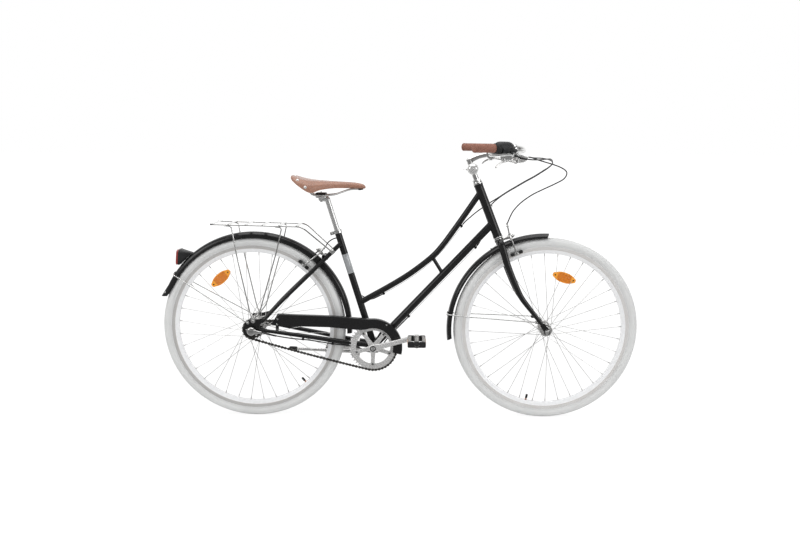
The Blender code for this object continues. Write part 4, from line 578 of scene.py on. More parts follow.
    def screw(self, radius, base, along, slot=0, rise=None):
        """A domed screw head with a hexagon recess."""
        rise = rise or radius * 0.7
        key = radius * 0.48
        profile = [(0, rise * 0.35), (key, rise * 0.35), (key, rise * 0.98), (radius * 0.68, rise),
                   (radius * 0.93, rise * 0.72), (radius, rise * 0.3), (radius, 0), (0, 0)]
        return self.lathe(profile, frame_at(base, along), 18, slot)


def piece(name, shape, looks, body, replaced=(), bevel=0.0, sharp=38, blend=None):
    """Makes one named object from a shape, with its finishes, and puts it on its body unless blend is given.
    """
    data = bmesh.new()
    verts = [data.verts.new(point) for point in shape.verts]
    for face, slot in zip(shape.faces, shape.slots):
        made = data.faces.new([verts[i] for i in face])
        made.material_index = slot
        made.smooth = True
    bmesh.ops.remove_doubles(data, verts=data.verts, dist=1e-7)
    bmesh.ops.dissolve_degenerate(data, edges=data.edges, dist=1e-8)
    bmesh.ops.recalc_face_normals(data, faces=data.faces)
    mesh = bpy.data.meshes.new(name)
    data.to_mesh(mesh)
    data.free()
    looks = looks if isinstance(looks, (list, tuple)) else [looks]
    for look in looks:
        mesh.materials.append(look)
    item = bpy.data.objects.new(name, mesh)
    bpy.context.scene.collection.objects.link(item)
    if bevel:
        ease = item.modifiers.new("ease", "BEVEL")
        ease.width = bevel
        ease.segments = 2
        ease.limit_method = "ANGLE"
        ease.angle_limit = math.radians(40)
        ease.harden_normals = True
    else:
        mesh.set_sharp_from_angle(angle=math.radians(sharp))
    if blend:
        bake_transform(item)
    else:
        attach(item, body)
    if replaced:
        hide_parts(*([replaced] if isinstance(replaced, str) else replaced))
    return item


def dress(node, look):
    """Gives a CAD node its finish and smooth shading; its mesh stays as it is."""
    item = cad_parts[node]
    item.data.materials.clear()
    item.data.materials.append(look)
    for name in ("custom_normal", "sharp_edge"):
        found = item.data.attributes.get(name)
        if found:
            item.data.attributes.remove(found)
    item.data.shade_smooth()
    weld = item.modifiers.new("weld", "WELD")
    weld.merge_threshold = 0.000002
    split = item.modifiers.new("edges", "EDGE_SPLIT")
    split.split_angle = math.radians(35)


LOOK_OF = {"black_paint": BLACK_PAINT, "chrome": CHROME, "polished_alloy": ALLOY, "pale_rim": RIM_WHITE,
           "pale_rubber": RUBBER_GREY, "tan_leather": LEATHER, "tan_rubber": GRIP_BROWN,
           "black_plastic": BLACK_RESIN, "black_casing": CASING, "amber_lens": AMBER_FACE,
           "red_lens": RED_FACE, "chain_steel": CHAIN_DARK}
for node_name, node_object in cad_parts.items():
    dress(node_name, LOOK_OF[node_object.data.materials[0].name.split(".")[0]])


# Camera, light and floor
PHOTO_WIDTH = 800
FOCAL_PIXELS = 787.54
SENSOR_WIDTH = 36
CAMERA_PLACE = (0.04521, -2.93471, 1.05104)
CAMERA_TURN = (-0.0139603, 0.1595813, 0.0027842)
FLOOR_REACH = 60


def look_through():
    """Puts the camera where the photograph was taken from."""
    yaw, pitch, roll = CAMERA_TURN
    ahead = Vector((math.sin(yaw) * math.cos(pitch), math.cos(yaw) * math.cos(pitch), -math.sin(pitch)))
    right = Vector((math.cos(yaw), -math.sin(yaw), 0))
    top = right.cross(ahead)
    right_rolled = right * math.cos(roll) + top * math.sin(roll)
    top_rolled = top * math.cos(roll) - right * math.sin(roll)
    data = bpy.data.cameras.new("camera")
    data.sensor_width = SENSOR_WIDTH
    data.lens = SENSOR_WIDTH * FOCAL_PIXELS / PHOTO_WIDTH
    item = bpy.data.objects.new("camera", data)
    turn = Matrix((right_rolled, top_rolled, -ahead)).transposed().to_4x4()
    item.matrix_world = Matrix.Translation(CAMERA_PLACE) @ turn
    bpy.context.scene.collection.objects.link(item)
    bpy.context.scene.camera = item


def lamp(name, place, target, size, watts):
    data = bpy.data.lights.new(name, "AREA")
    data.shape = "RECTANGLE"
    data.size = size[0]
    data.size_y = size[1]
    data.energy = watts
    item = bpy.data.objects.new(name, data)
    item.matrix_world = frame_at(place, Vector(place) - Vector(target))
    bpy.context.scene.collection.objects.link(item)


def make_world():
    """White all round for the camera; a plain studio with a darker side for what shines."""
    world = bpy.data.worlds.new("studio")
    world.use_nodes = True
    tree = world.node_tree
    tree.nodes.clear()
    rays = add_node(tree, "LightPath", {}).outputs
    place = add_node(tree, "TexCoord", {}).outputs["Generated"]
    split = add_node(tree, "SeparateXYZ", {"Vector": place}).outputs
    room = maths(tree, "Math", "MAXIMUM", scaled(tree, split["Y"], -0.05, 0.65, 0.15, 1.0),
                 scaled(tree, split["Z"], 0.72, 0.95, 0.15, 0.9))
    lights = []
    for strength in (room, 0.6, 1.0):
        light = add_node(tree, "Background", {"Color": (1, 1, 1, 1), "Strength": strength})
        lights.append(light.outputs[0])
    studio, soft, white = lights
    shine = mixed(tree, rays["Is Glossy Ray"], soft, studio)
    seen = maths(tree, "Math", "MAXIMUM", rays["Is Camera Ray"], rays["Is Transmission Ray"])
    add_node(tree, "OutputWorld", {"Surface": mixed(tree, seen, shine, white)})
    bpy.context.scene.world = world


def make_floor():
    """A pale floor that runs out to white for the camera, and shows darker on one side in what shines."""
    look = bpy.data.materials.new("white_floor")
    look.use_nodes = True
    tree = look.node_tree
    tree.nodes.clear()
    rays = add_node(tree, "LightPath", {}).outputs
    place = add_node(tree, "NewGeometry", {}).outputs["Position"]
    split = add_node(tree, "SeparateXYZ", {"Vector": place}).outputs
    matt = add_node(tree, "BsdfDiffuse", {"Color": (0.86, 0.86, 0.86, 1)}).outputs[0]
    white = add_node(tree, "Emission", {"Strength": 1.15}).outputs[0]
    distance = maths(tree, "VectorMath", "LENGTH", place)
    share = maths(tree, "Math", "MULTIPLY", rays["Is Camera Ray"],
                  scaled(tree, distance, 1.2, 3.5, 0.74, 1.0))
    dim = add_node(tree, "Emission", {"Strength": scaled(tree, split["Y"], -0.5, 0.9, 0.24, 1.0)}).outputs[0]
    final = mixed(tree, rays["Is Glossy Ray"], mixed(tree, share, matt, white), dim)
    add_node(tree, "OutputMaterial", {"Surface": final})
    mesh = bpy.data.meshes.new("floor")
    corners = [(x * FLOOR_REACH, y * FLOOR_REACH, 0) for x, y in ((-1, -1), (1, -1), (1, 1), (-1, 1))]
    mesh.from_pydata(corners, [], [(0, 1, 2, 3)])
    mesh.materials.append(look)
    item = bpy.data.objects.new("floor", mesh)
    bpy.context.scene.collection.objects.link(item)


look_through()
make_world()
make_floor()
lamp("top_light", (0.0, -0.6, 3.6), (0, 0, 0.4), (4.0, 3.0), 68)
lamp("left_light", (-3.0, -2.4, 2.0), (0, 0, 0.5), (1.6, 2.4), 30)
lamp("right_light", (3.2, -2.0, 1.6), (0, 0, 0.5), (1.2, 2.4), 24)
bpy.context.scene.view_settings.view_transform = "Standard"

# Wheels
TYRE_HALF = [(0.312, 0.0), (0.312, 0.0088), (0.3165, 0.0098), (0.3185, 0.0122), (0.3188, 0.0131),
             (0.3198, 0.0134), (0.3206, 0.0131), (0.324, 0.0158), (0.3285, 0.0174), (0.3325, 0.0175),
             (0.336, 0.0167), (0.3366, 0.0169), (0.3376, 0.0167), (0.3404, 0.015), (0.3432, 0.0126),
             (0.345, 0.0104), (0.3463, 0.0084), (0.3471, 0.0064), (0.3463, 0.0061), (0.3463, 0.0053),
             (0.3473, 0.005), (0.3478, 0.003), (0.348, 0.0011), (0.3472, 0.0008), (0.3472, 0.0)]
SHOULDER = {13, 14, 15, 16}
TREAD_STEPS = 300
RIM_HALF = [(0.289, 0.0), (0.289, 0.0044), (0.2894, 0.0054), (0.2903, 0.006), (0.296, 0.0082),
            (0.3022, 0.0105), (0.3036, 0.0112), (0.3044, 0.0118), (0.305, 0.012), (0.316, 0.012),
            (0.3168, 0.0119), (0.3172, 0.0113), (0.3172, 0.0104), (0.315, 0.0098), (0.3118, 0.0096),
            (0.3112, 0.0)]
TRACK = 8
# Rim profile places whose faces take the seam's painted shade
SEAM = {6, 7}
# How bright each wheel's brake track is painted: a painted reflection, darker on the rear
TRACK_REFLECTION_BRIGHTNESS = {"front": 0.95, "rear": 0.7}


def make_tyre(which, centre):
    profile = both_halves(TYRE_HALF)

    def tread(k, i, radius, height):
        j = min(i, len(profile) - 1 - i)
        if j in SHOULDER and (k + (0 if i == j else 2)) % 4 == 0:
            radius -= 0.0009
        return radius, height

    shape = Shape().lathe(profile, frame_at(centre, LEFT), TREAD_STEPS, change=tread)
    piece(which + "_tyre_cover", shape, RUBBER_GREY, which + "_wheel", which + "_tyre", sharp=28)


def make_rim(which, centre):
    """White enamel with the brake track's band, and on each side a seam painted grey as shade where the wall
    steps in.
    """
    profile = both_halves(RIM_HALF)[:-1]
    last = len(profile)
    slots = []
    for i in range(last):
        j = min(i, last - 1 - i)
        slots.append(1 if j == TRACK else 2 if j in SEAM else 0)
    shape = Shape().lathe(profile, frame_at(centre, LEFT), 180, ring=True, slots=slots)
    track = ring_brushed(which + "_brake_track", centre, TRACK_REFLECTION_BRIGHTNESS[which])
    piece(which + "_rim_hoop", shape, [RIM_WHITE, track, RIM_SEAM_SHADE], which + "_wheel", which + "_rim")


def make_valve(which, centre, angle):
    stem = Shape()
    inward = (centre - around(centre, angle, 1.0)).normalized()
    place = frame_at(around(centre, angle, RIM_INNER_RADIUS + 0.0004), inward)
    stem.lathe([(0, 0), (0.0052, 0), (0.0052, 0.0012), (0.0036, 0.002), (0.003, 0.0024), (0.003, 0.0075),
                (0, 0.0075)], place, 20)
    ribs = [(0, 0.0065), (0.004, 0.0065)]
    for k in range(6):
        ribs += [(radius, height + 0.0022 * k)
                 for radius, height in ((0.0043, 0.0072), (0.0043, 0.0085), (0.004, 0.0089))]
    ribs += [(0.0036, 0.0212), (0.002, 0.0222), (0, 0.0224)]
    stem.lathe(ribs, place, 20, 1)
    piece(which + "_valve", stem, [COPPER, BLACK_RUBBER], which + "_wheel")


def make_spokes(which, centre, hole_radius, flange_y, first_angle, first_pair):
    """Three-cross spokes with elbows, heads and nipples."""
    shape = Shape()
    for k in range(36):
        angle = math.radians(first_angle) + k * math.tau / 36
        lean = math.radians(60 if (k - first_pair) % 4 < 2 else -60)
        side = 1 if k % 2 else -1
        outside = 1 if lean > 0 else -1
        root_angle = angle + lean
        face = 0.0021 * outside
        hub_end = around(centre, root_angle, hole_radius, side * (flange_y + face))
        head = around(centre, root_angle, hole_radius, side * (flange_y - face * 1.15))
        rim_end = around(centre, angle, RIM_INNER_RADIUS + 0.001, side * 0.002)
        along = (rim_end - hub_end).normalized()
        elbow = hub_end + (head - hub_end).normalized() * 0.0007
        shape.sweep([head, elbow, hub_end + along * 0.0004, hub_end + along * 0.0016, rim_end], 0.00095, 8)
        shape.lathe([(0, 0.0009), (0.0013, 0.0007), (0.0019, 0), (0.0019, -0.0005), (0, -0.0006)],
                    frame_at(head, head - hub_end), 10)
        shape.lathe([(0.001, 0), (0.0016, 0.0003), (0.0019, 0.0035), (0.0019, 0.0105), (0.0026, 0.0118),
                     (0.0026, 0.0128)], frame_at(rim_end - along * 0.0118, along), 8)
    piece(which + "_spokes", shape, SPOKE_STEEL, which + "_wheel")


def flange_hole_shade_discs(shape, centre, radius, y, phase, slot):
    """Small dark discs of painted shade where the spokes pass through a flange, in place of its holes."""
    for k in range(18):
        for side in (-1, 1):
            at = around(centre, phase + k * math.tau / 18 + (0 if side < 0 else math.tau / 36), radius,
                        side * y)
            shape.lathe([(0, 0), (0.0016, 0), (0.0016, 0.0003), (0, 0.0003)], frame_at(at, LEFT * side), 8,
                        slot)


def make_hubs():
    half = [(0.0056, 0.044), (0.0098, 0.044), (0.011, 0.0432), (0.0118, 0.041), (0.015, 0.04),
            (0.0152, 0.039), (0.0152, 0.0338), (0.0165, 0.0322), (0.0218, 0.0312), (0.023, 0.0308),
            (0.0233, 0.03), (0.0233, 0.0286), (0.0226, 0.0279), (0.017, 0.0276), (0.0142, 0.0262),
            (0.0122, 0.022), (0.011, 0.015), (0.0106, 0.0)]
    shape = Shape().lathe(both_halves(half), frame_at(FRONT_AXLE, LEFT), 64, ring=True)
    flange_hole_shade_discs(shape, FRONT_AXLE, 0.0195, 0.0311, math.radians(2 + 60), 1)
    piece("front_hub_shell", shape, [ALLOY, BLACK_RESIN], "front_wheel", "front_hub")
    profile = [(0.0058, 0.052), (0.0165, 0.052), (0.018, 0.0512), (0.0195, 0.0496), (0.028, 0.0484),
               (0.0298, 0.0474), (0.03, 0.046), (0.03, 0.033), (0.0315, 0.0312), (0.0362, 0.0304),
               (0.0374, 0.0298), (0.0375, 0.0288), (0.0372, 0.0274), (0.036, 0.0269), (0.031, 0.0262),
               (0.0296, 0.0245), (0.029, 0.02), (0.029, 0.006), (0.0294, 0.0054), (0.0294, -0.0054),
               (0.029, -0.006), (0.029, -0.02), (0.0296, -0.0245), (0.031, -0.0262), (0.036, -0.0269),
               (0.0372, -0.0274), (0.0375, -0.0288), (0.0374, -0.0298), (0.0362, -0.0304), (0.03, -0.0314),
               (0.0282, -0.033), (0.025, -0.0372), (0.0236, -0.0385), (0.0058, -0.0385)]
    shape = Shape().lathe(profile, frame_at(REAR_AXLE, LEFT), 72, ring=True)
    flange_hole_shade_discs(shape, REAR_AXLE, 0.0335, 0.0302, math.radians(5.5 + 60), 1)
    piece("rear_hub_shell", shape, [ALLOY, BLACK_RESIN], "rear_wheel", "rear_hub")


def make_axle(name, centre, half_width, thickness, cone, reach, body):
    shape = Shape()
    end = half_width + thickness
    for side in (-1, 1):
        thread = [(0, 0)]
        for k in range(8):
            thread += [(0.0046, 0.0004 + k * 0.001), (0.0041, 0.0009 + k * 0.001)]
        thread += [(0.0036, 0.009), (0, 0.0093)]
        outward = LEFT * side
        span = reach / 0.0093
        thread = [(r, h * span) for r, h in thread]
        shape.lathe(thread, frame_at(centre + outward * end, outward), 16)
        shape.nut(0.0158, reach * 0.72, centre + outward * (end + 0.0004), outward, 0, 0.004, 0.009)
        low = cone + 0.0006
        high = half_width - 0.0003
        shape.lathe([(0.0044, low), (0.0066, low), (0.0082, low + 0.0012), (0.0082, high), (0.0044, high)],
                    frame_at(centre, outward), 24, ring=True)
        shape.rod(0.0046, centre + outward * (cone - 0.004), centre + outward * end, 16)
    piece(name + "_set", shape, CHROME, body, name)


REFLECTOR = [(0.045, 0.003), (0.0441, 0.0058), (0.0412, 0.0082), (0.035, 0.0112), (0.0265, 0.0155),
             (0.017, 0.0184), (0.0085, 0.0195), (0.0, 0.0198)]


def make_reflector(which, centre, radius, degrees, tilt):
    """A pointed oval with amber prisms on both faces, in a smooth rim, with a screw at each end."""
    angle = math.radians(degrees)
    middle = around(centre, angle, radius, -0.0075)
    turn = math.pi / 2 - angle + math.radians(tilt)
    place = Matrix.Translation(middle) @ Matrix.Rotation(turn, 4, "Y") @ side_place(0)
    long, tall = REFLECTOR[0][0], REFLECTOR[-1][1]

    def loop(shrink):
        half = [(x * (1 - shrink / long), y * (1 - shrink / tall)) for x, y in REFLECTOR]
        upper = half + [(-x, y) for x, y in reversed(half[:-1])]
        return upper + [(x, -y) for x, y in reversed(upper)]

    shape = Shape()
    columns = 22
    step = 0.00295
    reach = 0.0014
    for side in (1, -1):
        levels = [(0.0, 0.0), (0.0, 0.0034), (0.0006, 0.0042), (0.0022, 0.0042), (0.0026, 0.0036)]
        rings = [[(x, y, rise * side) for x, y in loop(shrink)] for shrink, rise in levels]
        shape.loft(rings, 1, place, caps=())
        shape.prism(loop(levels[-1][0]), 0.0006, place @ Matrix.Translation((0, 0, 0.0033 * side)), 1)
        for c in range(columns):
            for r in range(-5, 6):
                x = (c - (columns - 1) / 2) * step
                y = r * step
                if abs(x) < 0.0275 and (x / 0.042) ** 2 + (y / 0.0178) ** 2 < 1:
                    tip = (x, y, 0.0043 * side)
                    shape.facet((x, y, 0.0036 * side), (reach, 0, 0), (0, reach, 0), tip, place)
        for end in (-1, 1):
            at = place @ Vector((0.036 * end, 0, 0.0036 * side))
            shape.screw(0.0026, at, place.to_3x3() @ Vector((0, 0, side)), 2, 0.001)
    piece(which + "_reflector_lens", shape, [AMBER_FACE, AMBER_RIM, CHAIN_DARK], which + "_wheel",
          which + "_wheel_reflector", sharp=30)


# Each wheel: its axle, the radius and place of its flange's holes, the angle of the first hole,
# the first pair of spokes and the valve's angle
WHEELS = (("front", FRONT_AXLE, 0.0195, 0.0295, 2.0, 2, 257.0),
          ("rear", REAR_AXLE, 0.0335, 0.0285, 5.5, 1, 311.5))
for which_wheel, axle, hole, flange, first, pair, valve in WHEELS:
    make_tyre(which_wheel, axle)
    make_rim(which_wheel, axle)
    make_valve(which_wheel, axle, math.radians(valve))
    make_spokes(which_wheel, axle, hole, flange, first, pair)
make_hubs()
make_axle("front_axle", FRONT_AXLE, FORK_HALF_WIDTH, 0.0045, 0.044, 0.0075, "steering")
make_axle("rear_axle", REAR_AXLE, STAY_HALF_WIDTH, DROPOUT_THICKNESS, 0.0522, 0.008, "frame")
make_reflector("front", FRONT_AXLE, 0.2088, 71.7, 0.0)
make_reflector("rear", REAR_AXLE, 0.2257, 123.0, -8.0)


# Saddle
# Each row: place along the bike, height of the top, half width, depth and fullness
SADDLE_SECTIONS = [(-0.395, 0.926, 0.052, 0.0105, 0.3), (-0.385, 0.9235, 0.07, 0.0175, 0.45),
                   (-0.36, 0.9165, 0.083, 0.03, 0.7), (-0.33, 0.9115, 0.082, 0.044, 0.9),
                   (-0.312, 0.9095, 0.075, 0.044, 0.95), (-0.285, 0.9075, 0.06, 0.033, 1.0),
                   (-0.24, 0.9045, 0.036, 0.025, 1.0), (-0.195, 0.902, 0.025, 0.0225, 1.0),
                   (-0.158, 0.899, 0.0205, 0.02, 1.0), (-0.133, 0.893, 0.016, 0.015, 1.0),
                   (-0.125, 0.886, 0.01, 0.008, 1.0)]
SADDLE_WALL = 0.0042
RAIL_LINE = [(-0.145, 0.012, 0.876), (-0.18, 0.016, 0.874), (-0.212, 0.02, 0.864), (-0.245, 0.022, 0.8545),
             (-0.312, 0.022, 0.8525), (-0.33, 0.025, 0.865), (-0.35, 0.032, 0.885), (-0.37, 0.04, 0.904)]
# Each rivet: place along the bike and share of the way across
SADDLE_RIVETS = ((-0.366, 0.118), (-0.386, 0.5), (-0.3395, 0.067))


def saddle_section(row, count=33):
    x, top, half_width, depth, fullness = row
    half = [(0, 0), (0.36, -0.02), (0.72, -0.1 * fullness), (0.97, -0.45), (1.0, -1.0)]
    line = [(-a, b) for a, b in reversed(half[1:])] + half
    across = smooth_path([Vector((a * half_width, b * depth, 0)) for a, b in line], count)
    return [Vector((x, p.x, top + p.y)) for p in across]


def sheet_normal(rows, i, k):
    """The upward normal of a grid of points at a row and a place in it."""
    row = rows[i]
    across = row[min(k + 1, len(row) - 1)] - row[max(k - 1, 0)]
    along = rows[min(i + 1, len(rows) - 1)][k] - rows[max(i - 1, 0)][k]
    normal = across.cross(along)
    if normal.length < 1e-9:
        normal = UP.copy()
    normal.normalize()
    return -normal if normal.z < 0 else normal


def make_saddle():
    """The leather cover, as thick as its wall, and its rivets."""
    layers = [saddle_section(row) for row in eased(SADDLE_SECTIONS, 64)]
    inner = [[point - sheet_normal(layers, i, k) * SADDLE_WALL for k, point in enumerate(layer)]
             for i, layer in enumerate(layers)]
    last = len(layers) - 1
    width = len(layers[0])
    total = len(layers) * width
    faces = []
    for i in range(last):
        for k in range(width - 1):
            a = i * width + k
            faces.append((a, a + 1, a + width + 1, a + width))
            faces.append((total + a, total + a + width, total + a + width + 1, total + a + 1))
    edges = []
    for i in range(last):
        edges += [(i * width, (i + 1) * width), ((i + 2) * width - 1, (i + 1) * width - 1)]
    for k in range(width - 1):
        edges += [(k, k + 1), (last * width + k + 1, last * width + k)]
    faces += [(a, b, b + total, a + total) for a, b in edges]
    shape = Shape().add([point for layer in layers + inner for point in layer], faces)
    cover = piece("saddle_leather", shape, LEATHER, "seat", "saddle_cover", bevel=0.0013)
    rivets = Shape()
    for x, share in SADDLE_RIVETS:
        i = min(range(last), key=lambda row: abs(layers[row][0].x - x))
        near = round(share * (width - 1))
        for k in sorted({near, width - 1 - near}):
            rivets.lathe([(0, 0.0026), (0.003, 0.0023), (0.0048, 0.0014), (0.0057, 0.0001),
                          (0.0057, -0.0012), (0, -0.0012)],
                         frame_at(layers[i][k], sheet_normal(layers, i, k)), 20)
    piece("saddle_rivets", rivets, BELL_CHROME, "seat")


def make_saddle_rails():
    shape = Shape()
    for side in (-1, 1):
        shape.sweep(smooth_path(on_side(RAIL_LINE, side), 40), 0.0034, 14, ends=0.001)
    tail = smooth_path([(-0.373, -0.056, 0.906), (-0.3755, -0.03, 0.909), (-0.376, 0, 0.91),
                        (-0.3755, 0.03, 0.909), (-0.373, 0.056, 0.906)], 20)
    shape.bar(tail, 0.0035, 0.0058, UP, 12)
    piece("saddle_rail_set", shape, BELL_CHROME, "seat", "saddle_rails")
    clip = Shape()
    clip.bar([(-0.16, 0, 0.876), (-0.145, 0, 0.8762), (-0.133, 0, 0.877)], [0.004, 0.0052, 0.004],
             [0.015, 0.0165, 0.01], LEFT, 16)
    piece("saddle_nose_clip", clip, BLACK_RESIN, "seat", bevel=0.0005)


def make_seatpost():
    bottom = BOTTOM_BRACKET + SEAT_UP * 0.25
    top = BOTTOM_BRACKET + SEAT_UP * 0.576
    shape = Shape()
    shape.rod(0.0111, bottom, top, 40, soft=0.0006)
    neck = [top - SEAT_UP * 0.01, top + SEAT_UP * 0.006, Vector((-0.274, 0, 0.8375)),
            Vector((-0.286, 0, 0.8385)), Vector((-0.299, 0, 0.8385))]
    shape.sweep(smooth_path(neck, 18), [0.0112] * 7 + [0.01] * 5 + [0.008] * 6, 24,
                wide=[0.0112] * 7 + [0.012] * 11, side=LEFT)
    for z, thick, material in ((0.846, 0.004, 0), (0.8575, 0.0042, 1)):
        shape.bar([(-0.3095, 0, z), (-0.305, 0, z), (-0.275, 0, z), (-0.2705, 0, z)],
                  [thick * 0.7, thick, thick, thick * 0.7], [0.022, 0.0278, 0.0278, 0.022], LEFT, 16, 6,
                  slot=material)
    clamp = Shape()
    clamp.nut(0.01, 0.005, Vector((-0.29, 0, 0.8315)), -UP, 0, washer=0.0075)
    clamp.rod(0.0032, (-0.29, 0, 0.829), (-0.29, 0, 0.866), 12)
    clamp.rod(0.0085, (-0.29, 0, 0.842), (-0.29, 0, 0.844), 24, 1)
    for x in (-0.303, -0.277):
        clamp.rod(0.0022, (x, -0.02, 0.8518), (x, 0.02, 0.8518), 8, 1)
    piece("seatpost_set", shape, [POST_ALLOY, BLACK_RESIN], "seat", "seatpost", bevel=0.0005)
    piece("seatpost_clamp_bolt", clamp, [CHROME, BLACK_RESIN], "seat")


make_saddle()
make_saddle_rails()
make_seatpost()

# Bar, grips, levers and shifter
BAR_CLAMP = Vector((0.337, 0, 1.006))
BAR_BENDS = [(0.337, 0, 1.006), (0.337, -0.022, 1.006), (0.346, -0.04, 1.007), (0.384, -0.073, 1.011),
             (0.42, -0.103, 1.016), (0.4345, -0.133, 1.0205), (0.427, -0.164, 1.0245),
             (0.411, -0.182, 1.027)]
GRIP_END = Vector((0.252, -0.28, 1.029))
GRIP_INBOARD = (Vector(BAR_BENDS[-1]) - GRIP_END).normalized()
LEVER_CLAMP_AT = 0.171
SHIFTER_FROM = 0.0858
LEVER_DROP = 0.045
BARREL_RISE = 0.014
BARREL_LENGTH = 0.04
LEVER_DOWN = Vector((0.152, -0.267, -0.9515)).normalized()
STEM_ELBOW = HEAD_TOP - HEAD_DOWN * 0.096
SLEEVE_BORE = 0.0117


def on_grip(distance, side):
    point = GRIP_END + GRIP_INBOARD * distance
    return Vector((point.x, -point.y * side, point.z))


def to_side(vector, side):
    return Vector((vector[0], -vector[1] * side, vector[2]))


def lever_pivot(side):
    return on_grip(LEVER_CLAMP_AT + 0.004, side) + to_side(LEVER_DOWN, side) * LEVER_DROP


def make_bar_and_stem():
    half = smooth_path(BAR_BENDS, 36) + [GRIP_END + GRIP_INBOARD * 0.004]
    points = [mirrored(point) for point in reversed(half)] + half[1:]
    radii = []
    for point in points:
        share = min(max((0.034 - abs(point.y)) / 0.012, 0), 1)
        radii.append(BAR_RADIUS + (BAR_CENTRE_RADIUS - BAR_RADIUS) * share * share * (3 - 2 * share))
    piece("handlebar_tube", Shape().sweep(points, radii, 28), CHROME, "steering", "handlebar")
    shape = Shape()
    shape.rod(BAR_RADIUS, HEAD_TOP + HEAD_DOWN * 0.06, STEM_ELBOW, 32)
    shape.lathe([(BAR_RADIUS, -0.002), (0.0118, 0.0), (0.0116, 0.0022), (0.01, 0.004), (0.0078, 0.0046),
                 (0, 0.0046)], frame_at(STEM_ELBOW, -HEAD_DOWN), 32)
    reach = smooth_path([STEM_ELBOW + HEAD_DOWN * 0.004, STEM_ELBOW.lerp(BAR_CLAMP, 0.45) + UP * 0.0025,
                         BAR_CLAMP - FORWARD * 0.006], 14)
    shape.sweep(reach, [0.0117 - 0.0012 * math.sin(math.pi * k / 13) for k in range(14)], 24,
                wide=[0.0104 + 0.005 * (k / 13) ** 2 for k in range(14)], side=LEFT)
    shape.lathe(collar(0.0131, 0.0172, 0.0182, 0.0168, 0.018), frame_at(BAR_CLAMP, LEFT), 48, ring=True)
    shape.bar([BAR_CLAMP - UP * 0.015, BAR_CLAMP - UP * 0.0235], 0.008, 0.009, LEFT, 16, 5)
    piece("stem_body", shape, ALLOY, "steering", "stem", bevel=0.0006)
    bolts = Shape()
    bolts.screw(0.0046, STEM_ELBOW - HEAD_DOWN * 0.004, -HEAD_DOWN, rise=0.003)
    bolts.screw(0.0042, BAR_CLAMP - UP * 0.019 - LEFT * 0.009, -LEFT)
    bolts.nut(0.0078, 0.004, BAR_CLAMP - UP * 0.019 + LEFT * 0.009, LEFT)
    piece("stem_bolts", bolts, CHROME, "steering")


def make_grips():
    for name, side, length in (("right", -1, 0.0855), ("left", 1, 0.13)):
        profile = [(0, 0), (0.01, 0.0), (0.0124, 0.0005), (0.0142, 0.0016), (0.0152, 0.0034),
                   (0.0155, 0.005), (0.0155, 0.0076), (0.0147, 0.008), (0.0147, 0.0086)]
        ribs = int((length - 0.022) / 0.0036)
        for k in range(ribs):
            at = 0.0092 + k * 0.0036
            profile += [(0.015, at + 0.0002), (0.0152, at + 0.0012), (0.0151, at + 0.0026),
                        (0.0148, at + 0.0031)]
        profile += [(0.0147, length - 0.011), (0.0153, length - 0.0104), (0.0155, length - 0.0096),
                    (0.0155, length - 0.001), (0.0151, length), (SLEEVE_BORE, length), (SLEEVE_BORE, 0.0036),
                    (0, 0.0036)]
        place = frame_at(on_grip(0, side), to_side(GRIP_INBOARD, side))
        shape = Shape().lathe(profile, place, 56)
        piece("grip_rubber_" + name, shape, GRIP_BROWN, "steering", "grip_" + name, sharp=60)


def lever_places(side):
    """The clamp's middle, the blade's pivot, and the directions inboard, down and along the pivot's pin."""
    inboard = to_side(GRIP_INBOARD, side)
    down = to_side(LEVER_DOWN, side)
    return on_grip(LEVER_CLAMP_AT, side), lever_pivot(side), inboard, down, inboard.cross(down).normalized()


def lever_nose(side):
    return lever_pivot(side) - to_side(LEVER_DOWN, side) * BARREL_RISE + to_side(GRIP_INBOARD, side) * 0.003


def make_lever_bracket(name, side):
    middle, centre, inboard, down, axis = lever_places(side)
    shape = Shape()
    shape.lathe(collar(SLEEVE_BORE, 0.0146, 0.0153, 0.006, 0.007), frame_at(middle, inboard), 40, ring=True)
    neck = smooth_path([middle + down * 0.012, middle + down * 0.022 + inboard * 0.0004,
                        middle + down * 0.03 + inboard * 0.002, centre - down * 0.01 + inboard * 0.002], 12)
    shape.bar(neck, [0.0066, 0.0062, 0.006, 0.0062, 0.0066, 0.0072, 0.0078, 0.0084, 0.0088, 0.009, 0.009,
                     0.0088], [0.0066 + 0.0002 * k for k in range(12)], axis, 20, 3.5)
    cheek = arc(0.0078, -100, 101, 20) + [(-0.012, 0.0088), (-0.012, -0.0088)]
    for face in (-1, 1):
        place = frame_at(centre + axis * (0.00765 * face), axis, down)
        shape.prism(cheek, 0.0027, place @ Matrix.Rotation(math.pi / 2, 4, "Z"))
    fairing = [(-0.0085, 0.015), (-0.0012, 0.0142), (0.006, 0.018), (0.012, 0.0226), (0.021, 0.0243),
               (0.0303, 0.026), (0.039, 0.0292), (0.046, 0.0322), (0.05, 0.0345), (0.0485, 0.0395),
               (0.043, 0.0438), (0.034, 0.0488), (0.024, 0.0512), (0.0165, 0.049), (0.0136, 0.042),
               (0.0105, 0.0364), (0.004, 0.0346), (-0.0045, 0.0346), (-0.011, 0.03)]
    turn = Matrix((inboard, down, axis)).transposed().to_4x4()
    shape.prism(fairing, 0.0128, Matrix.Translation(middle) @ turn)
    # Painted shade: thin dark strips on each side of the fairing stand in for its slits
    run = (inboard * 0.55 + down).normalized() * 0.0042
    for face in (-1, 1):
        for k in range(3):
            slit_shade_strip = middle + inboard * (-0.005 + 0.0056 * k) + down * 0.0262 + axis * (0.0064 * face)
            shape.sweep([slit_shade_strip - run, slit_shade_strip + run], 0.0008, 8, 1, wide=0.0003, side=axis)
    shape.lathe([(0, 0), (0.0072, 0), (0.007, 0.009), (0.006, 0.02), (0.005, 0.026), (0.0034, 0.0268),
                 (0, 0.0268)], frame_at(lever_nose(side), inboard), 24)
    piece("lever_bracket_" + name, shape, [ALLOY, BLACK_RESIN], "steering", "lever_clamp_" + name,
          bevel=0.0005)


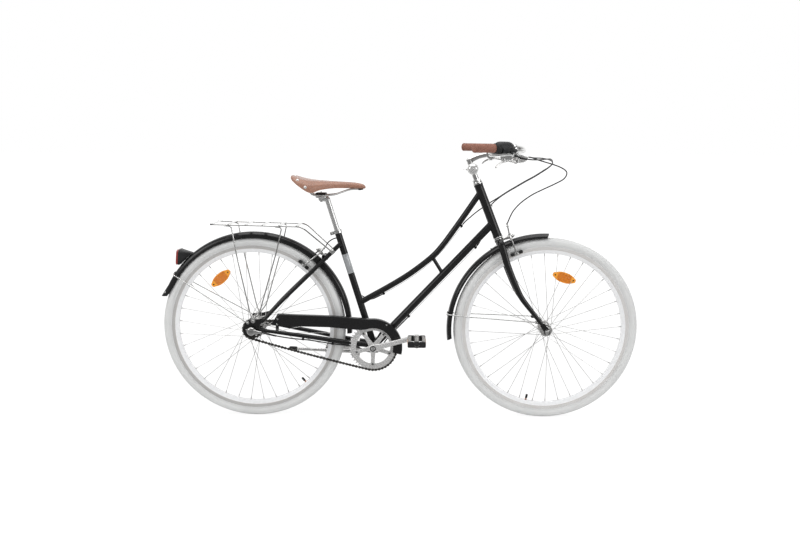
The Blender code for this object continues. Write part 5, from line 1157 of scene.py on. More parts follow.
def make_lever_adjuster(name, side):
    """The cable's knurled barrel, the blade's pin and the clamp's screw."""
    middle, centre, inboard, down, axis = lever_places(side)
    shape = Shape()
    knurl = [(0, 0.0262), (0.0052, 0.0262)]
    for k in range(5):
        knurl += [(radius, height + 0.0018 * k)
                  for radius, height in ((0.0055, 0.0268), (0.0055, 0.0277), (0.005, 0.0281))]
    knurl += [(0.0038, 0.0358), (0.0036, 0.04), (0.003, 0.0408), (0, 0.0408)]
    shape.lathe(knurl, frame_at(lever_nose(side), inboard), 20)
    shape.rod(0.0025, centre - axis * 0.0094, centre + axis * 0.0094, 12)
    for face in (-1, 1):
        shape.screw(0.0036, centre + axis * (0.009 * face), axis * face, rise=0.0014)
    shape.screw(0.0034, middle + down * 0.016 - axis * 0.0066, -axis)
    piece("lever_adjuster_" + name, shape, CHROME, "steering")


def make_lever_blade(name, side):
    _, centre, inboard, down, axis = lever_places(side)
    shape = Shape()
    rows = eased([(0.0, 0.0, 0.0058, 0.0056), (0.01, 0.001, 0.0052, 0.0058),
                  (0.028, -0.0007, 0.0042, 0.0062), (0.0395, -0.0012, 0.004, 0.0066),
                  (0.0613, 0.0028, 0.004, 0.007), (0.074, 0.0075, 0.004, 0.007),
                  (0.0852, 0.0135, 0.004, 0.0064), (0.0925, 0.0195, 0.0037, 0.0056),
                  (0.096, 0.0235, 0.0032, 0.0046)], 40)
    points = [centre - inboard * row[0] + down * row[1] for row in rows]
    shape.bar(points, [row[2] for row in rows], [row[3] for row in rows], axis, 20, 3.0, ends=0.0016)
    shape.rod(0.007, centre - axis * 0.0059, centre + axis * 0.0059, 28, soft=0.0005)
    word = "brake_lever_" + name
    piece(word + "_blade", shape, ALLOY, word, word, sharp=50)


def make_shifter():
    inboard = to_side(GRIP_INBOARD, -1)
    outward = inboard.cross(UP).normalized()
    start = on_grip(SHIFTER_FROM, -1)

    def ribbed(k, i, radius, height):
        if 3 <= i <= 6 and k % 4 in (0, 1):
            radius -= 0.001
        return radius, height

    def at(distance, out, rise):
        return on_grip(distance, -1) + outward * out + UP * rise

    profile = [(SLEEVE_BORE, 0), (0.016, 0), (0.0168, 0.0008), (0.0172, 0.0024), (0.0178, 0.007),
               (0.0186, 0.0125), (0.0193, 0.0175), (0.0196, 0.02), (0.0195, 0.0208), (0.019, 0.0214),
               (0.0182, 0.0217), (SLEEVE_BORE, 0.0217)]
    shape = Shape().lathe(profile, frame_at(start, inboard), 96, ring=True, change=ribbed)
    piece("twist_shifter_sleeve", shape, BLACK_RUBBER, "twist_shifter", "twist_shifter", sharp=50)
    hood = [(0.108, 0.001, 0.0196, 0.0184), (0.1092, 0.002, 0.0208, 0.0196), (0.114, 0.0024, 0.0211, 0.02),
            (0.13, 0.0024, 0.021, 0.02), (0.141, 0.0028, 0.0204, 0.0192), (0.148, 0.0026, 0.0189, 0.0176),
            (0.153, 0.0006, 0.0166, 0.0152), (0.156, -0.0006, 0.0142, 0.0134)]
    shape = Shape()
    rows = eased(hood, 26)
    shape.bar([at(row[0], 0, row[1]) for row in rows], [row[3] for row in rows], [row[2] for row in rows],
              UP, 28, 2.6, ends=0.0006)
    wedge = [(0.13, 0.01, 0.0, 0.018, 0.009), (0.143, 0.0115, -0.0008, 0.0158, 0.0084),
             (0.151, 0.015, -0.0055, 0.0095, 0.0052), (0.159, 0.019, -0.007, 0.006, 0.0028),
             (0.167, 0.0197, -0.0075, 0.0032, 0.002), (0.1742, 0.02, -0.0076, 0.0009, 0.0012)]
    rows = eased(wedge, 24)
    shape.bar([at(*row[:3]) for row in rows], [row[4] for row in rows], [row[3] for row in rows], UP, 24,
              2.8, ends=0.0006)
    heading = (inboard * 0.86 - UP * 0.5).normalized()
    boss = at(0.144, 0.015, -0.0118)
    shape.lathe([(0, 0), (0.0046, 0), (0.0046, 0.006), (0.004, 0.0064), (0.0038, 0.012), (0.0033, 0.0126),
                 (0, 0.0126)], frame_at(boss, heading), 20)
    shape.screw(0.003, at(0.142, 0.006, -0.0162), -UP, 1)
    piece("shifter_housing", shape, [BLACK_RESIN, CHROME], "steering", "shifter_body", sharp=50)
    window = Shape()
    place = frame_at(at(0.1486, 0.004, 0.0176), (UP * 0.8 + inboard + outward * 0.2).normalized())
    window.lathe([(0.007, -0.003), (0.0072, 0.0), (0.0066, 0.0016), (0.0048, 0.0028), (0.0024, 0.0034),
                  (0, 0.0036)], place, 28)
    piece("gear_window", window, CLEAR, "steering", sharp=50)


make_bar_and_stem()
make_grips()
for lever_name, lever_side in (("right", -1), ("left", 1)):
    make_lever_bracket(lever_name, lever_side)
    make_lever_adjuster(lever_name, lever_side)
    make_lever_blade(lever_name, lever_side)
make_shifter()

# Frame tubes
TOP_TUBE_LINE = [(0.3036, 0, 0.8673), (0.2491, 0, 0.7862), (0.206, 0, 0.724), (0.1651, 0, 0.6673),
                 (0.124, 0, 0.6215), (0.0478, 0, 0.5615), (-0.0256, 0, 0.5146), (-0.106, 0, 0.4688),
                 (-0.1462, 0, 0.4459)]
DOWN_TUBE_LINE = [Vector((0.3498, 0, 0.7499)), Vector((-0.093, 0, 0.279))]
DOWN_RUN = (DOWN_TUBE_LINE[1] - DOWN_TUBE_LINE[0]).normalized()
STRUT_LINE = [Vector((0.1257, 0, 0.6221)), Vector((0.1665, 0, 0.556))]
CHAINSTAY_LINE = [(-0.1, 0.02, 0.283), (-0.2, 0.0305, 0.297), (-0.317, 0.0425, 0.318),
                  (-0.47, 0.0585, 0.343), (-0.525, 0.0625, 0.351)]
SEATSTAY_LINE = [(-0.2183, 0.019, 0.6719), (-0.2254, 0.0205, 0.665), (-0.3529, 0.044, 0.5418),
                 (-0.4437, 0.056, 0.4535), (-0.502, 0.0625, 0.391), (-0.513, 0.0625, 0.3795)]
HEAD_BORE_RADIUS = 0.015
SEAT_BORE_RADIUS = 0.0116
SHELL_RADIUS = 0.0205
SHELL_BORE_RADIUS = 0.0176
CHAINSTAY_RADIUS = 0.0095
SEATSTAY_RADIUS = 0.008
REAR_BRIDGE = Vector((-0.28, 0, 0.6226))
REAR_BOLT_AXIS = (UP * 0.702 - FORWARD * 0.712).normalized()
BAND_PLACES = (0.29, 0.366)
SEAT_TUBE_TOP = SEAT_TUBE_LENGTH + 0.019


def meeting_ring(point, along, radius, joint, sign, sides):
    """Where a tube's surface crosses another round tube, ahead of the point or behind it."""
    base, base_along, base_radius = joint
    place = frame_at(point, along)
    along = Vector(along).normalized()
    run = along - base_along * along.dot(base_along)
    ring = []
    for c, s in circle(sides):
        spot = place @ Vector((radius * c, radius * s, 0))
        offset = spot - base
        flat = offset - base_along * offset.dot(base_along)
        b = flat.dot(run)
        root = math.sqrt(max(b * b - run.dot(run) * (flat.dot(flat) - base_radius ** 2), 0))
        ring.append(spot + along * ((sign * root - b) / run.dot(run)))
    return ring


def weld_bead(shape, ring):
    sizes = [0.00115 + 0.00016 * (k % 2) for k in range(len(ring))]
    shape.sweep(ring, sizes, 8, closed=True)


def joined_tube(shape, points, radius, first=None, last=None, sides=40):
    """A tube whose ends fit the round tubes (base, direction, radius) that they meet, with a weld at each."""
    points = [Vector(point) for point in points]
    count = len(points)
    radii = one_each(radius, count)
    rings = []
    for i, point in enumerate(points):
        place = frame_at(point, points[min(i + 1, count - 1)] - points[max(i - 1, 0)])
        rings.append([place @ Vector((radii[i] * c, radii[i] * s, 0)) for c, s in circle(sides)])
    kept = list(range(count))
    for joint, end, sign in ((first, 0, 1), (last, count - 1, -1)):
        if not joint:
            continue
        run = (points[end + sign] - points[end]).normalized() * sign
        weld = meeting_ring(points[end], run, radii[end], joint, sign, sides)
        inner = (joint[0], joint[1], joint[2] - 0.0008)
        rings[end] = meeting_ring(points[end], run, radii[end], inner, sign, sides)
        reach = max((spot - points[end]).dot(run) * sign for spot in weld) + 0.001
        kept = [i for i in kept if i == end or (points[i] - points[end]).dot(run) * sign > reach]
        weld_bead(shape, weld)
    shape.loft([rings[i] for i in kept])


HEAD_JOINT = (HEAD_TOP, HEAD_DOWN, HEAD_TUBE_RADIUS)
SEAT_JOINT = (BOTTOM_BRACKET, SEAT_UP, SEAT_TUBE_RADIUS)
SHELL_JOINT = (BOTTOM_BRACKET, LEFT, SHELL_RADIUS)


def make_main_tubes():
    length = HEAD_LENGTH
    ends = [(HEAD_BORE_RADIUS, 0), (0.0172, 0), (0.01745, 0.0006), (0.01745, 0.006), (0.017, 0.0078),
            (HEAD_TUBE_RADIUS, 0.0095)]
    profile = ends + [(radius, length - height) for radius, height in reversed(ends)]
    shape = Shape().lathe(profile, frame_at(HEAD_TOP, HEAD_DOWN), 64, ring=True)
    piece("head_tube_body", shape, BLACK_PAINT, "frame", "head_tube")
    shape = Shape()
    joined_tube(shape, smooth_path(TOP_TUBE_LINE, 72), TOP_TUBE_RADIUS, HEAD_JOINT, SEAT_JOINT)
    piece("top_tube_body", shape, BLACK_PAINT, "frame", "top_tube")
    shape = Shape()
    joined_tube(shape, spaced(DOWN_TUBE_LINE, 12), DOWN_TUBE_RADIUS, HEAD_JOINT, SHELL_JOINT, 48)
    top_run = (Vector(TOP_TUBE_LINE[5]) - Vector(TOP_TUBE_LINE[3])).normalized()
    joined_tube(shape, spaced(STRUT_LINE, 8), STRUT_RADIUS, (STRUT_LINE[0], top_run, TOP_TUBE_RADIUS),
                (STRUT_LINE[1], DOWN_RUN, DOWN_TUBE_RADIUS), 32)
    piece("down_tube_body", shape, BLACK_PAINT, "frame", "down_tube")


def make_seat_tube():
    steps = 56

    def foot(k, i, radius, height):
        if height < 0.02:
            height = math.sqrt(0.019 ** 2 - (radius * circle(steps)[k][0]) ** 2)
        return radius, height

    top = SEAT_TUBE_TOP
    profile = [(SEAT_BORE_RADIUS, 0.015), (SEAT_BORE_RADIUS, top), (0.0126, top), (0.0129, top - 0.0003),
               (0.0129, 0.015)]
    shape = Shape().lathe(profile, frame_at(BOTTOM_BRACKET, SEAT_UP), steps, ring=True, change=foot)
    half = [(SHELL_BORE_RADIUS, 0.034), (0.0197, 0.034), (0.0205, 0.0332), (0.0205, 0.0)]
    shape.lathe(both_halves(half), frame_at(BOTTOM_BRACKET, LEFT), 64, ring=True)
    weld_bead(shape, meeting_ring(BOTTOM_BRACKET, SEAT_UP, SEAT_TUBE_RADIUS, SHELL_JOINT, 1, 56))
    piece("seat_tube_body", shape, BLACK_PAINT, "frame", "seat_tube")
    start, end = BAND_PLACES
    run = end - start
    band = Shape().lathe([(0.01275, 0), (0.01298, 0), (0.01306, 0.0002), (0.01306, run - 0.0002),
                          (0.01298, run), (0.01275, run)],
                         frame_at(BOTTOM_BRACKET + SEAT_UP * start, SEAT_UP), 56, ring=True)
    piece("seat_tube_band", band, BAND_SILVER, "frame")
    cups = Shape()

    def splines(k, i, radius, height):
        if i in (1, 2) and k % 4 < 2:
            radius += 0.0012
        return radius, height

    for side in (-1, 1):
        cups.lathe([(0.0092, 0.03), (0.0092, 0.0345), (0.0105, 0.0345), (0.011, 0.0334), (0.014, 0.0334),
                    (0.0144, 0.0345), (0.0168, 0.0345), (0.0172, 0.034), (0.0172, 0.03)],
                   frame_at(BOTTOM_BRACKET, LEFT * side), 48, ring=True, change=splines)
    piece("bottom_bracket_cups", cups, CHROME, "frame", "bottom_bracket")


def dropout_outline():
    """The plate that joins the stays, with a slot for the axle that opens to the rear."""
    front = [(-0.523, 0.3665), (-0.5175, 0.374), (-0.4975, 0.3865), (-0.508, 0.3963), (-0.53, 0.3905),
             (-0.57, 0.3875), (-0.576, 0.37), (-0.584, 0.357)]
    slot = [(-0.584, 0.3532), *arc(0.0052, 90, -91, -15, REAR_AXLE.x, REAR_AXLE.z), (-0.584, 0.3428)]
    lower = [(-0.582, 0.3385), (-0.56, 0.33), (-0.52, 0.334), (-0.487, 0.343), (-0.486, 0.352),
             (-0.515, 0.359)]
    return front + slot + lower


def make_chainstays():
    shape = Shape()
    count = 48
    for side in (-1, 1):
        shares = eased([(1.0,), (1.0,), (0.9,), (0.8,), (0.66,)], count)
        radii = [CHAINSTAY_RADIUS * row[0] for row in shares]
        for back, share in ((4, 0.97), (3, 0.88), (2, 0.7), (1, 0.35)):
            radii[-back] *= share
        joined_tube(shape, smooth_path(on_side(CHAINSTAY_LINE, side), count), radii, SHELL_JOINT)
        middle = side * (STAY_HALF_WIDTH + DROPOUT_THICKNESS / 2)
        shape.prism(dropout_outline(), DROPOUT_THICKNESS, side_place(middle))
        for x, z in ((-0.5638, 0.3786), (-0.544, 0.38)):
            eyelet = Vector((x, middle, z))
            shape.rod(0.006, eyelet - LEFT * 0.0029, eyelet + LEFT * 0.0029, 24, soft=0.0004)
    shape.bar([(-0.149, 0, 0.2868), (-0.183, 0, 0.2912)], 0.003, 0.03, LEFT, 24, 8)
    piece("chainstays_body", shape, BLACK_PAINT, "frame", "chainstays", bevel=0.0005)


def make_seatstays():
    shape = Shape()
    count = 48
    for side in (-1, 1):
        line = on_side(SEATSTAY_LINE, side)
        radii = [SEATSTAY_RADIUS * share for share in shared(line, [0.94, 1.0, 1.0, 0.94, 0.88, 0.7], count)]
        shape.sweep(smooth_path(line, count), radii, 28, side=LEFT, ends=0.006)
    low, high = (Vector(point) for point in SEATSTAY_LINE[1:3])
    left = low.lerp(high, 0.43)
    run = high - low
    joints = [(point, along.normalized(), SEATSTAY_RADIUS)
              for point, along in ((mirrored(left), mirrored(run)), (left, run))]
    reach = LEFT * abs(left.y)
    joined_tube(shape, spaced([REAR_BRIDGE - reach, REAR_BRIDGE + reach], 8), 0.007, *joints, sides=32)
    piece("seatstays_body", shape, BLACK_PAINT, "frame", "seatstays")


def make_seat_clamp():
    lug = [(-0.029, 0.0013), (-0.029, 0.0078), (-0.0278, 0.009), (-0.019, 0.009), (-0.016, 0.008)]
    outline = [(x, -y) for x, y in lug] + arc(0.0172, -148, 149, 8) + lug[::-1] + arc(0.0131, 174, -175, -12)
    place = frame_at(BOTTOM_BRACKET + SEAT_UP * (SEAT_TUBE_TOP + 0.001), SEAT_UP)
    shape = Shape().prism(outline, 0.012, place)
    piece("seat_clamp_collar", shape, CHROME, "frame", "seat_clamp", bevel=0.0006)
    bolt = Shape()
    centre = place @ Vector((-0.0235, 0, 0))
    bolt.rod(0.0026, centre - LEFT * 0.011, centre + LEFT * 0.011, 12)
    bolt.screw(0.0046, centre - LEFT * 0.0088, -LEFT)
    bolt.nut(0.0085, 0.0042, centre + LEFT * 0.0088, LEFT)
    piece("seat_clamp_bolt", bolt, BRUSHED, "frame")


def make_headset():
    upper = frame_at(HEAD_TOP, -HEAD_DOWN)
    lower = frame_at(HEAD_BOTTOM, HEAD_DOWN)
    bore = HEAD_BORE_RADIUS
    shape = Shape().lathe([(bore, 0.0003), (0.0184, 0.0003), (0.019, 0.0009), (0.019, 0.0054),
                           (0.0187, 0.0064), (0.0178, 0.0072), (0.0173, 0.0078), (0.0172, 0.0094),
                           (0.0168, 0.0099), (bore, 0.0099)], upper, 64, ring=True)
    piece("headset_cup_upper", shape, CHROME, "frame", "headset_upper_cup")
    shape = Shape().lathe([(bore, 0.0003), (0.0189, 0.0003), (0.0195, 0.0009), (0.0195, 0.0038),
                           (0.019, 0.0048), (0.0182, 0.0058), (0.018, 0.007), (0.0176, 0.0075),
                           (bore, 0.0075)], lower, 64, ring=True)
    piece("headset_cup_lower", shape, CHROME, "frame", "headset_lower_cup")
    shape = Shape().lathe([(0.012, 0.0104), (0.0168, 0.0104), (0.0172, 0.0108), (0.0172, 0.0124),
                           (0.0164, 0.013), (0.0164, 0.0134), (0.0169, 0.0136), (0.0169, 0.0142),
                           (0.012, 0.0142)], upper, 64, ring=True)
    shape.lathe([(0.012, 0.0145), (0.0165, 0.0145), (0.0172, 0.0151), (0.0172, 0.018), (0.0163, 0.0188),
                 (0.013, 0.019), (0.012, 0.0186)], upper, 8, ring=True)
    shape.lathe([(0.0128, 0.0079), (0.0176, 0.0079), (0.018, 0.0084), (0.018, 0.0103), (0.017, 0.0111),
                 (0.0128, 0.0112)], lower, 64, ring=True)
    piece("headset_nut_and_race", shape, CHROME, "steering")


# Fork
BLADE_LINE = [(0.3876, 0.035, 0.6525), (0.4044, 0.0395, 0.5979), (0.4332, 0.044, 0.5271),
              (0.4597, 0.047, 0.474), (0.505, 0.0505, 0.4154), (0.54, 0.0524, 0.371)]
FORK_CROWN = HEAD_BOTTOM + HEAD_DOWN * 0.018
FORK_EYELET = Vector((0.5155, 0.0503, 0.3835))


def make_fork():
    shape = Shape()
    steerer_top = -(HEAD_LENGTH + 0.012)
    shape.lathe([(0.0117, 0.008), (0.0124, 0.008), (0.0127, 0.0084), (0.0127, steerer_top),
                 (0.0117, steerer_top)], frame_at(HEAD_BOTTOM, HEAD_DOWN), 40, ring=True)
    shape.lathe([(0.012, 0.0114), (0.0164, 0.0114), (0.0168, 0.012), (0.016, 0.015), (0.014, 0.02),
                 (0.012, 0.02)], frame_at(HEAD_BOTTOM, HEAD_DOWN), 48, ring=True)
    count = 72
    for side in (-1, 1):
        line = [FORK_CROWN + LEFT * (out * side) + HEAD_DOWN * drop
                for out, drop in ((-0.004, 0), (0.014, 0), (0.0262, 0.0018), (0.033, 0.0115))]
        line += on_side(BLADE_LINE, side)
        widths = [0.0092, 0.0094, 0.01, 0.0105, 0.0105, 0.0105, 0.01, 0.009, 0.0075, 0.006]
        depths = [0.0125, 0.0125, 0.0128, 0.013, 0.013, 0.0125, 0.0118, 0.0105, 0.0085, 0.007]
        shape.sweep(smooth_path(line, count), shared(line, widths, count), 32,
                    wide=shared(line, depths, count), side=HEAD_FORWARD, ends=0.003)
        tip = [(-0.026, 0.021), (-0.012, 0.033), (0.002, 0.015), (0.012, 0.004), (0.011, -0.008),
               (0.0054, -0.0122)]
        tip += arc(0.005, 0, 181, 20) + [(-0.005, -0.0116), (-0.0092, -0.0098), (-0.013, 0.002)]
        outline = [(FRONT_AXLE.x + x, FRONT_AXLE.z + z) for x, z in tip]
        shape.prism(outline, 0.0045, side_place(side * (FORK_HALF_WIDTH + 0.00225)))
        lug = mirrored(FORK_EYELET) if side < 0 else FORK_EYELET
        shape.bar([lug - FORWARD * 0.005, lug + FORWARD * 0.018 - UP * 0.001], 0.0058, 0.0018, LEFT, 16, 5,
                  ends=0.003)
    piece("fork_body", shape, BLACK_PAINT, "steering", "fork", bevel=0.0005, sharp=45)


# Mudguards, their wires and the tail reflector
REAR_FENDER_CENTRE = REAR_AXLE + FORWARD * 0.005 - UP * 0.001
FRONT_FENDER_CENTRE = FRONT_AXLE - FORWARD * 0.01
REAR_FENDER_RADIUS = 0.3685
FRONT_FENDER_RADIUS = 0.3645
FENDER_WALL = 0.0011
STAY_WIRE_RADIUS = 0.0021


def make_fender(name, body, centre, span, slant, shape_at, count):
    """A rolled mudguard between two angles; the slants draw its edges back from the crown's tips."""
    shape = Shape()
    across = 11
    outer = []
    inner = []
    for k in range(-across, across + 1):
        share = abs(k) / across
        start = span[0] + slant[0] * share ** 2
        end = span[1] - slant[1] * share ** 2
        outer_line = []
        inner_line = []
        for m in range(count + 1):
            angle = start + (end - start) * m / count
            radius, skirt = shape_at(math.degrees(angle))
            rest = skirt - 0.0082
            half = smooth_path([(0, 0, 0), (0.008, -0.0013, 0), (0.014, -0.004, 0), (0.018, -0.0082, 0),
                                (0.0201, -0.0082 - rest * 0.4, 0), (0.021, -skirt, 0)], across + 1)
            here = half[abs(k)]
            run = half[min(abs(k) + 1, across)] - half[max(abs(k) - 1, 0)]
            deep = here - Vector((-run.y, run.x, 0)).normalized() * FENDER_WALL
            sign = -1 if k < 0 else 1
            outer_line.append(around(centre, angle, radius + here.y, here.x * sign))
            inner_line.append(around(centre, angle, radius + deep.y, deep.x * sign))
        outer.append(outer_line)
        inner.append(inner_line)
    width = count + 1
    total = len(outer) * width
    faces = []
    for i in range(len(outer) - 1):
        for m in range(count):
            a = i * width + m
            faces.append((a, a + 1, a + width + 1, a + width))
            faces.append((total + a, total + a + width, total + a + width + 1, total + a + 1))
        for a in (i * width, i * width + count):
            faces.append((a, a + width, a + width + total, a + total))
    shape.add([point for line in outer + inner for point in line], faces)
    for line in (outer[0], outer[-1]):
        shape.sweep(line, 0.0013, 10)
    piece(name + "_blade", shape, BLACK_PAINT, body, name)


def rear_fender_shape(degrees):
    """The crown's radius and the skirt's depth: the tail flares out, and the skirt narrows to both ends."""
    tail = max(degrees - 153, 0) / 8.3
    front = max(45 - degrees, 0) / 48
    return REAR_FENDER_RADIUS + 0.0097 * tail ** 1.3, 0.023 - 0.0025 * tail - 0.006 * front


def front_fender_shape(_):
    """The crown's radius and the skirt's depth are the same all along."""
    return FRONT_FENDER_RADIUS, 0.0168


def make_stay_wire(name, body, centre, degrees, radius, bolt, seat_y):
    """A wire from a bolt, over the mudguard's crown under a clip and back to the other side's bolt."""
    angle = math.radians(degrees)
    low = around(centre, angle, radius - 0.026, 0.0256)
    shoulder = around(centre, angle, radius - 0.0035, 0.0244)
    crown = around(centre, angle, radius + STAY_WIRE_RADIUS + 0.0006, 0.0085)
    straight = bolt + Vector((low.x - bolt.x, 0, low.z - bolt.z)).normalized() * 0.02
    half = [bolt, straight, low, shoulder, crown]
    points = rounded(half + [mirrored(point) for point in reversed(half)], 0.0075, 6)
    shape = Shape().sweep(points, STAY_WIRE_RADIUS, 14)
    for side in (-1, 1):
        at = Vector((bolt.x, seat_y * side, bolt.z))
        outward = LEFT * side
        shape.lathe([(0.0022, 0), (0.005, 0), (0.0054, 0.0004), (0.0054, 0.003), (0.005, 0.0034),
                     (0.0022, 0.0034)], frame_at(at, outward), 28, ring=True)
        shape.screw(0.0044, at + outward * 0.0034, outward, rise=0.0024)
    piece(name + "_wire", shape, CHROME, body, name)
    clip = Shape()
    top = around(centre, angle, radius + 0.0005)
    outward = (top - centre).normalized()
    clip.bar([top - LEFT * 0.0095 + outward * 0.0006, top + outward * 0.0022,
              top + LEFT * 0.0095 + outward * 0.0006], 0.0072, 0.001, outward, 16, 6)
    piece(name + "_clip", clip, BLACK_RESIN, body, bevel=0.0004)


def make_fender_details():
    rivets = Shape()
    degrees = 158.2
    angle = math.radians(degrees)
    radius, _ = rear_fender_shape(degrees)
    for side in (-1, 1):
        at = around(REAR_FENDER_CENTRE, angle, radius - 0.0072, 0.0172 * side)
        outward = (around(REAR_FENDER_CENTRE, angle, radius, 0.03 * side) - at).normalized()
        rivets.lathe([(0, 0.0019), (0.0016, 0.0018), (0.003, 0.001), (0.0036, 0.0), (0.0036, -0.001)],
                     frame_at(at, outward), 20)
    top = around(REAR_FENDER_CENTRE, math.radians(46.0), REAR_FENDER_RADIUS)
    rivets.nut(0.008, 0.004, top, top - REAR_FENDER_CENTRE, washer=0.0062)
    piece("rear_fender_rivets", rivets, BRUSHED, "frame")
    bracket = Shape()
    foot = around(FRONT_FENDER_CENTRE, math.radians(121.5), FRONT_FENDER_RADIUS + 0.0004)
    outward = (foot - FRONT_FENDER_CENTRE).normalized()
    rear = FORK_CROWN - HEAD_FORWARD * 0.014
    end = foot + outward * 0.0008 - FORWARD * 0.01 - UP * 0.0066
    line = [rear + HEAD_DOWN * 0.004, rear + HEAD_DOWN * 0.01 - HEAD_FORWARD * 0.0012,
            foot + outward * 0.0014 + HEAD_FORWARD * 0.002, end]
    bracket.bar(rounded(line, 0.004), 0.0008, 0.0075, LEFT, 16, 7)
    bracket.screw(0.004, line[-1] + outward * 0.0006, outward, rise=0.002)
    piece("front_fender_bracket", bracket, CHROME, "steering", bevel=0.0002)


def make_tail_reflector():
    """A black horn on the mudguard's crown, with a red lens in its mouth."""
    angle = math.radians(131.0)
    out = around(Vector((0, 0, 0)), angle, 1.0)
    along = Vector((-out.z, 0, out.x))
    root = around(REAR_FENDER_CENTRE, angle, REAR_FENDER_RADIUS + 0.0004)
    low = Vector((-0.8382, 0, 0.5888))
    high = Vector((-0.833, 0, 0.6482))
    middle = (low + high) / 2
    half = (high - low) / 2
    ring = soft_square(40, 5)

    def mouth(u, v, back, shrink):
        return middle + LEFT * (0.03 - shrink) * u + half * v * (1 - shrink / half.length) + FORWARD * back

    rings = []
    for step in range(11):
        line = []
        for u, v in ring:
            base = root + LEFT * (0.012 * u) - along * (0.014 * v)
            line.append(base.lerp(mouth(u, v, 0.012, 0.0012), (step / 10) ** (1.0 - 0.38 * v)))
        rings.append(line)
    for back, shrink in ((0.0112, 0.0), (0.0078, 0.0), (0.0078, 0.0014)):
        rings.append([mouth(u, v, back, shrink) for u, v in ring])
    piece("tail_reflector_housing", Shape().loft(rings), BLACK_RESIN, "frame", "tail_reflector", sharp=50)
    levels = [(0.0082, 0.0008), (0.0012, 0.0004), (0.0002, 0.0014), (0.0, 0.003)]
    rings = [[mouth(u, v, back, shrink) for u, v in ring] for back, shrink in levels]
    shape = Shape().loft(rings, 1, caps=(-1, 0))
    columns, rows = 14, 13
    wide = 0.0245
    tall = half.length - 0.006
    up = half.normalized()
    for c in range(columns):
        for r in range(rows):
            u = (c + 0.5) / columns * 2 - 1
            v = (r + 0.5) / rows * 2 - 1
            centre = middle + LEFT * (wide * u) + up * (tall * v)
            shape.facet(centre, LEFT * (wide / columns), up * (tall / rows), centre - FORWARD * 0.0008)
    piece("tail_reflector_lens", shape, [RED_FACE, RED_EDGE], "frame", sharp=30)


# Rear rack
RACK_HALF_WIDTH = 0.061
RACK_ROD_RADIUS = 0.0028
DECK_REAR = Vector((-0.693, RACK_HALF_WIDTH, 0.7474))
DECK_FRONT = Vector((-0.3572, RACK_HALF_WIDTH, 0.7398))
RACK_STRUT_END = Vector((-0.2519, 0.0368, 0.6469))
RACK_FOOT = Vector((-0.544, 0.0676, 0.386))
SLAT_PLACES = (0.03, 0.205, 0.393, 0.578, 0.762, 0.95)
REAR_LEG = [(-0.642, 0.0612, 0.7425), (-0.6164, 0.0612, 0.7415), (-0.598, 0.0625, 0.6268),
            (-0.5554, 0.066, 0.4199), (-0.546, 0.0676, 0.39)]
FRONT_LEG = [(-0.456, 0.0612, 0.738), (-0.4299, 0.0612, 0.7374), (-0.4499, 0.0625, 0.6509),
             (-0.5173, 0.066, 0.4221), (-0.542, 0.0676, 0.39)]


def make_rack():
    shape = Shape()
    caps = Shape()
    for side in (-1, 1):
        outward = LEFT * side
        rail = on_side((RACK_STRUT_END, DECK_FRONT, DECK_REAR), side)
        shape.sweep(rounded(rail, 0.022, 8), RACK_ROD_RADIUS, 16)
        for leg in (REAR_LEG, FRONT_LEG):
            shape.sweep(rounded(on_side(leg, side), 0.018, 8), 0.0025, 16, ends=0.001)
        foot = to_side(RACK_FOOT, -side)
        shape.rod(0.0085, foot - LEFT * 0.0018, foot + LEFT * 0.0018, 32, soft=0.0004)
        shape.screw(0.0048, foot + outward * 0.0018, outward, rise=0.003)
        run = (rail[2] - rail[1]).normalized()
        caps.rod(0.0031, rail[2] - run * 0.006, rail[2] + run * 0.0004, 20, soft=0.0006)
        end = rail[0]
        near, far = on_side(SEATSTAY_LINE[1:3], side)
        heading = (far - near).normalized()
        centre = near + heading * (Vector((end.x, 0.0265 * side, end.z)) - near).dot(heading)
        shape.lathe(collar(0.0079, 0.0096, 0.01, 0.0066, 0.0072), frame_at(centre, heading), 36, ring=True)
        tab = [centre + (end - centre).normalized() * 0.0088, end,
               end + (end - rail[1]).normalized() * 0.003]
        shape.bar(tab, 0.0045, 0.0011, LEFT, 16, 6)
        shape.screw(0.0036, end + outward * 0.0012, outward, rise=0.0022)
    half = RACK_HALF_WIDTH + 0.0012
    for share in SLAT_PLACES:
        middle = DECK_REAR.lerp(DECK_FRONT, share)
        line = [Vector((middle.x, y, middle.z + rise))
                for y, rise in ((-half, -0.0006), (-half + 0.003, 0.0016), (-half + 0.008, 0.0024),
                                (half - 0.008, 0.0024), (half - 0.003, 0.0016), (half, -0.0006))]
        shape.bar(smooth_path(line, 30), 0.007, 0.0011, UP, 20, 6)
    piece("rack_body", shape, CHROME, "frame", "rear_rack", sharp=45)
    piece("rack_end_caps", caps, BLACK_RESIN, "frame")


make_main_tubes()
make_seat_tube()
make_chainstays()
make_seatstays()
make_seat_clamp()
make_headset()
make_fork()
make_fender("rear_fender", "frame", REAR_FENDER_CENTRE, (math.radians(-3), math.radians(161.3)),
            (0.0, math.radians(1.5)), rear_fender_shape, 120)
make_fender("front_fender", "steering", FRONT_FENDER_CENTRE, (math.radians(87.8), math.radians(187.4)),
            (math.radians(1.2), math.radians(1.3)), front_fender_shape, 80)
make_stay_wire("rear_fender_stay", "frame", REAR_FENDER_CENTRE, 146.0, REAR_FENDER_RADIUS,
               Vector((-0.5638, 0.0674, 0.3786)), 0.0653)
make_stay_wire("front_fender_stay", "steering", FRONT_FENDER_CENTRE, 171.0, FRONT_FENDER_RADIUS,
               Vector((0.5155, 0.0545, 0.3835)), 0.0524)
make_fender_details()
make_tail_reflector()
make_rack()

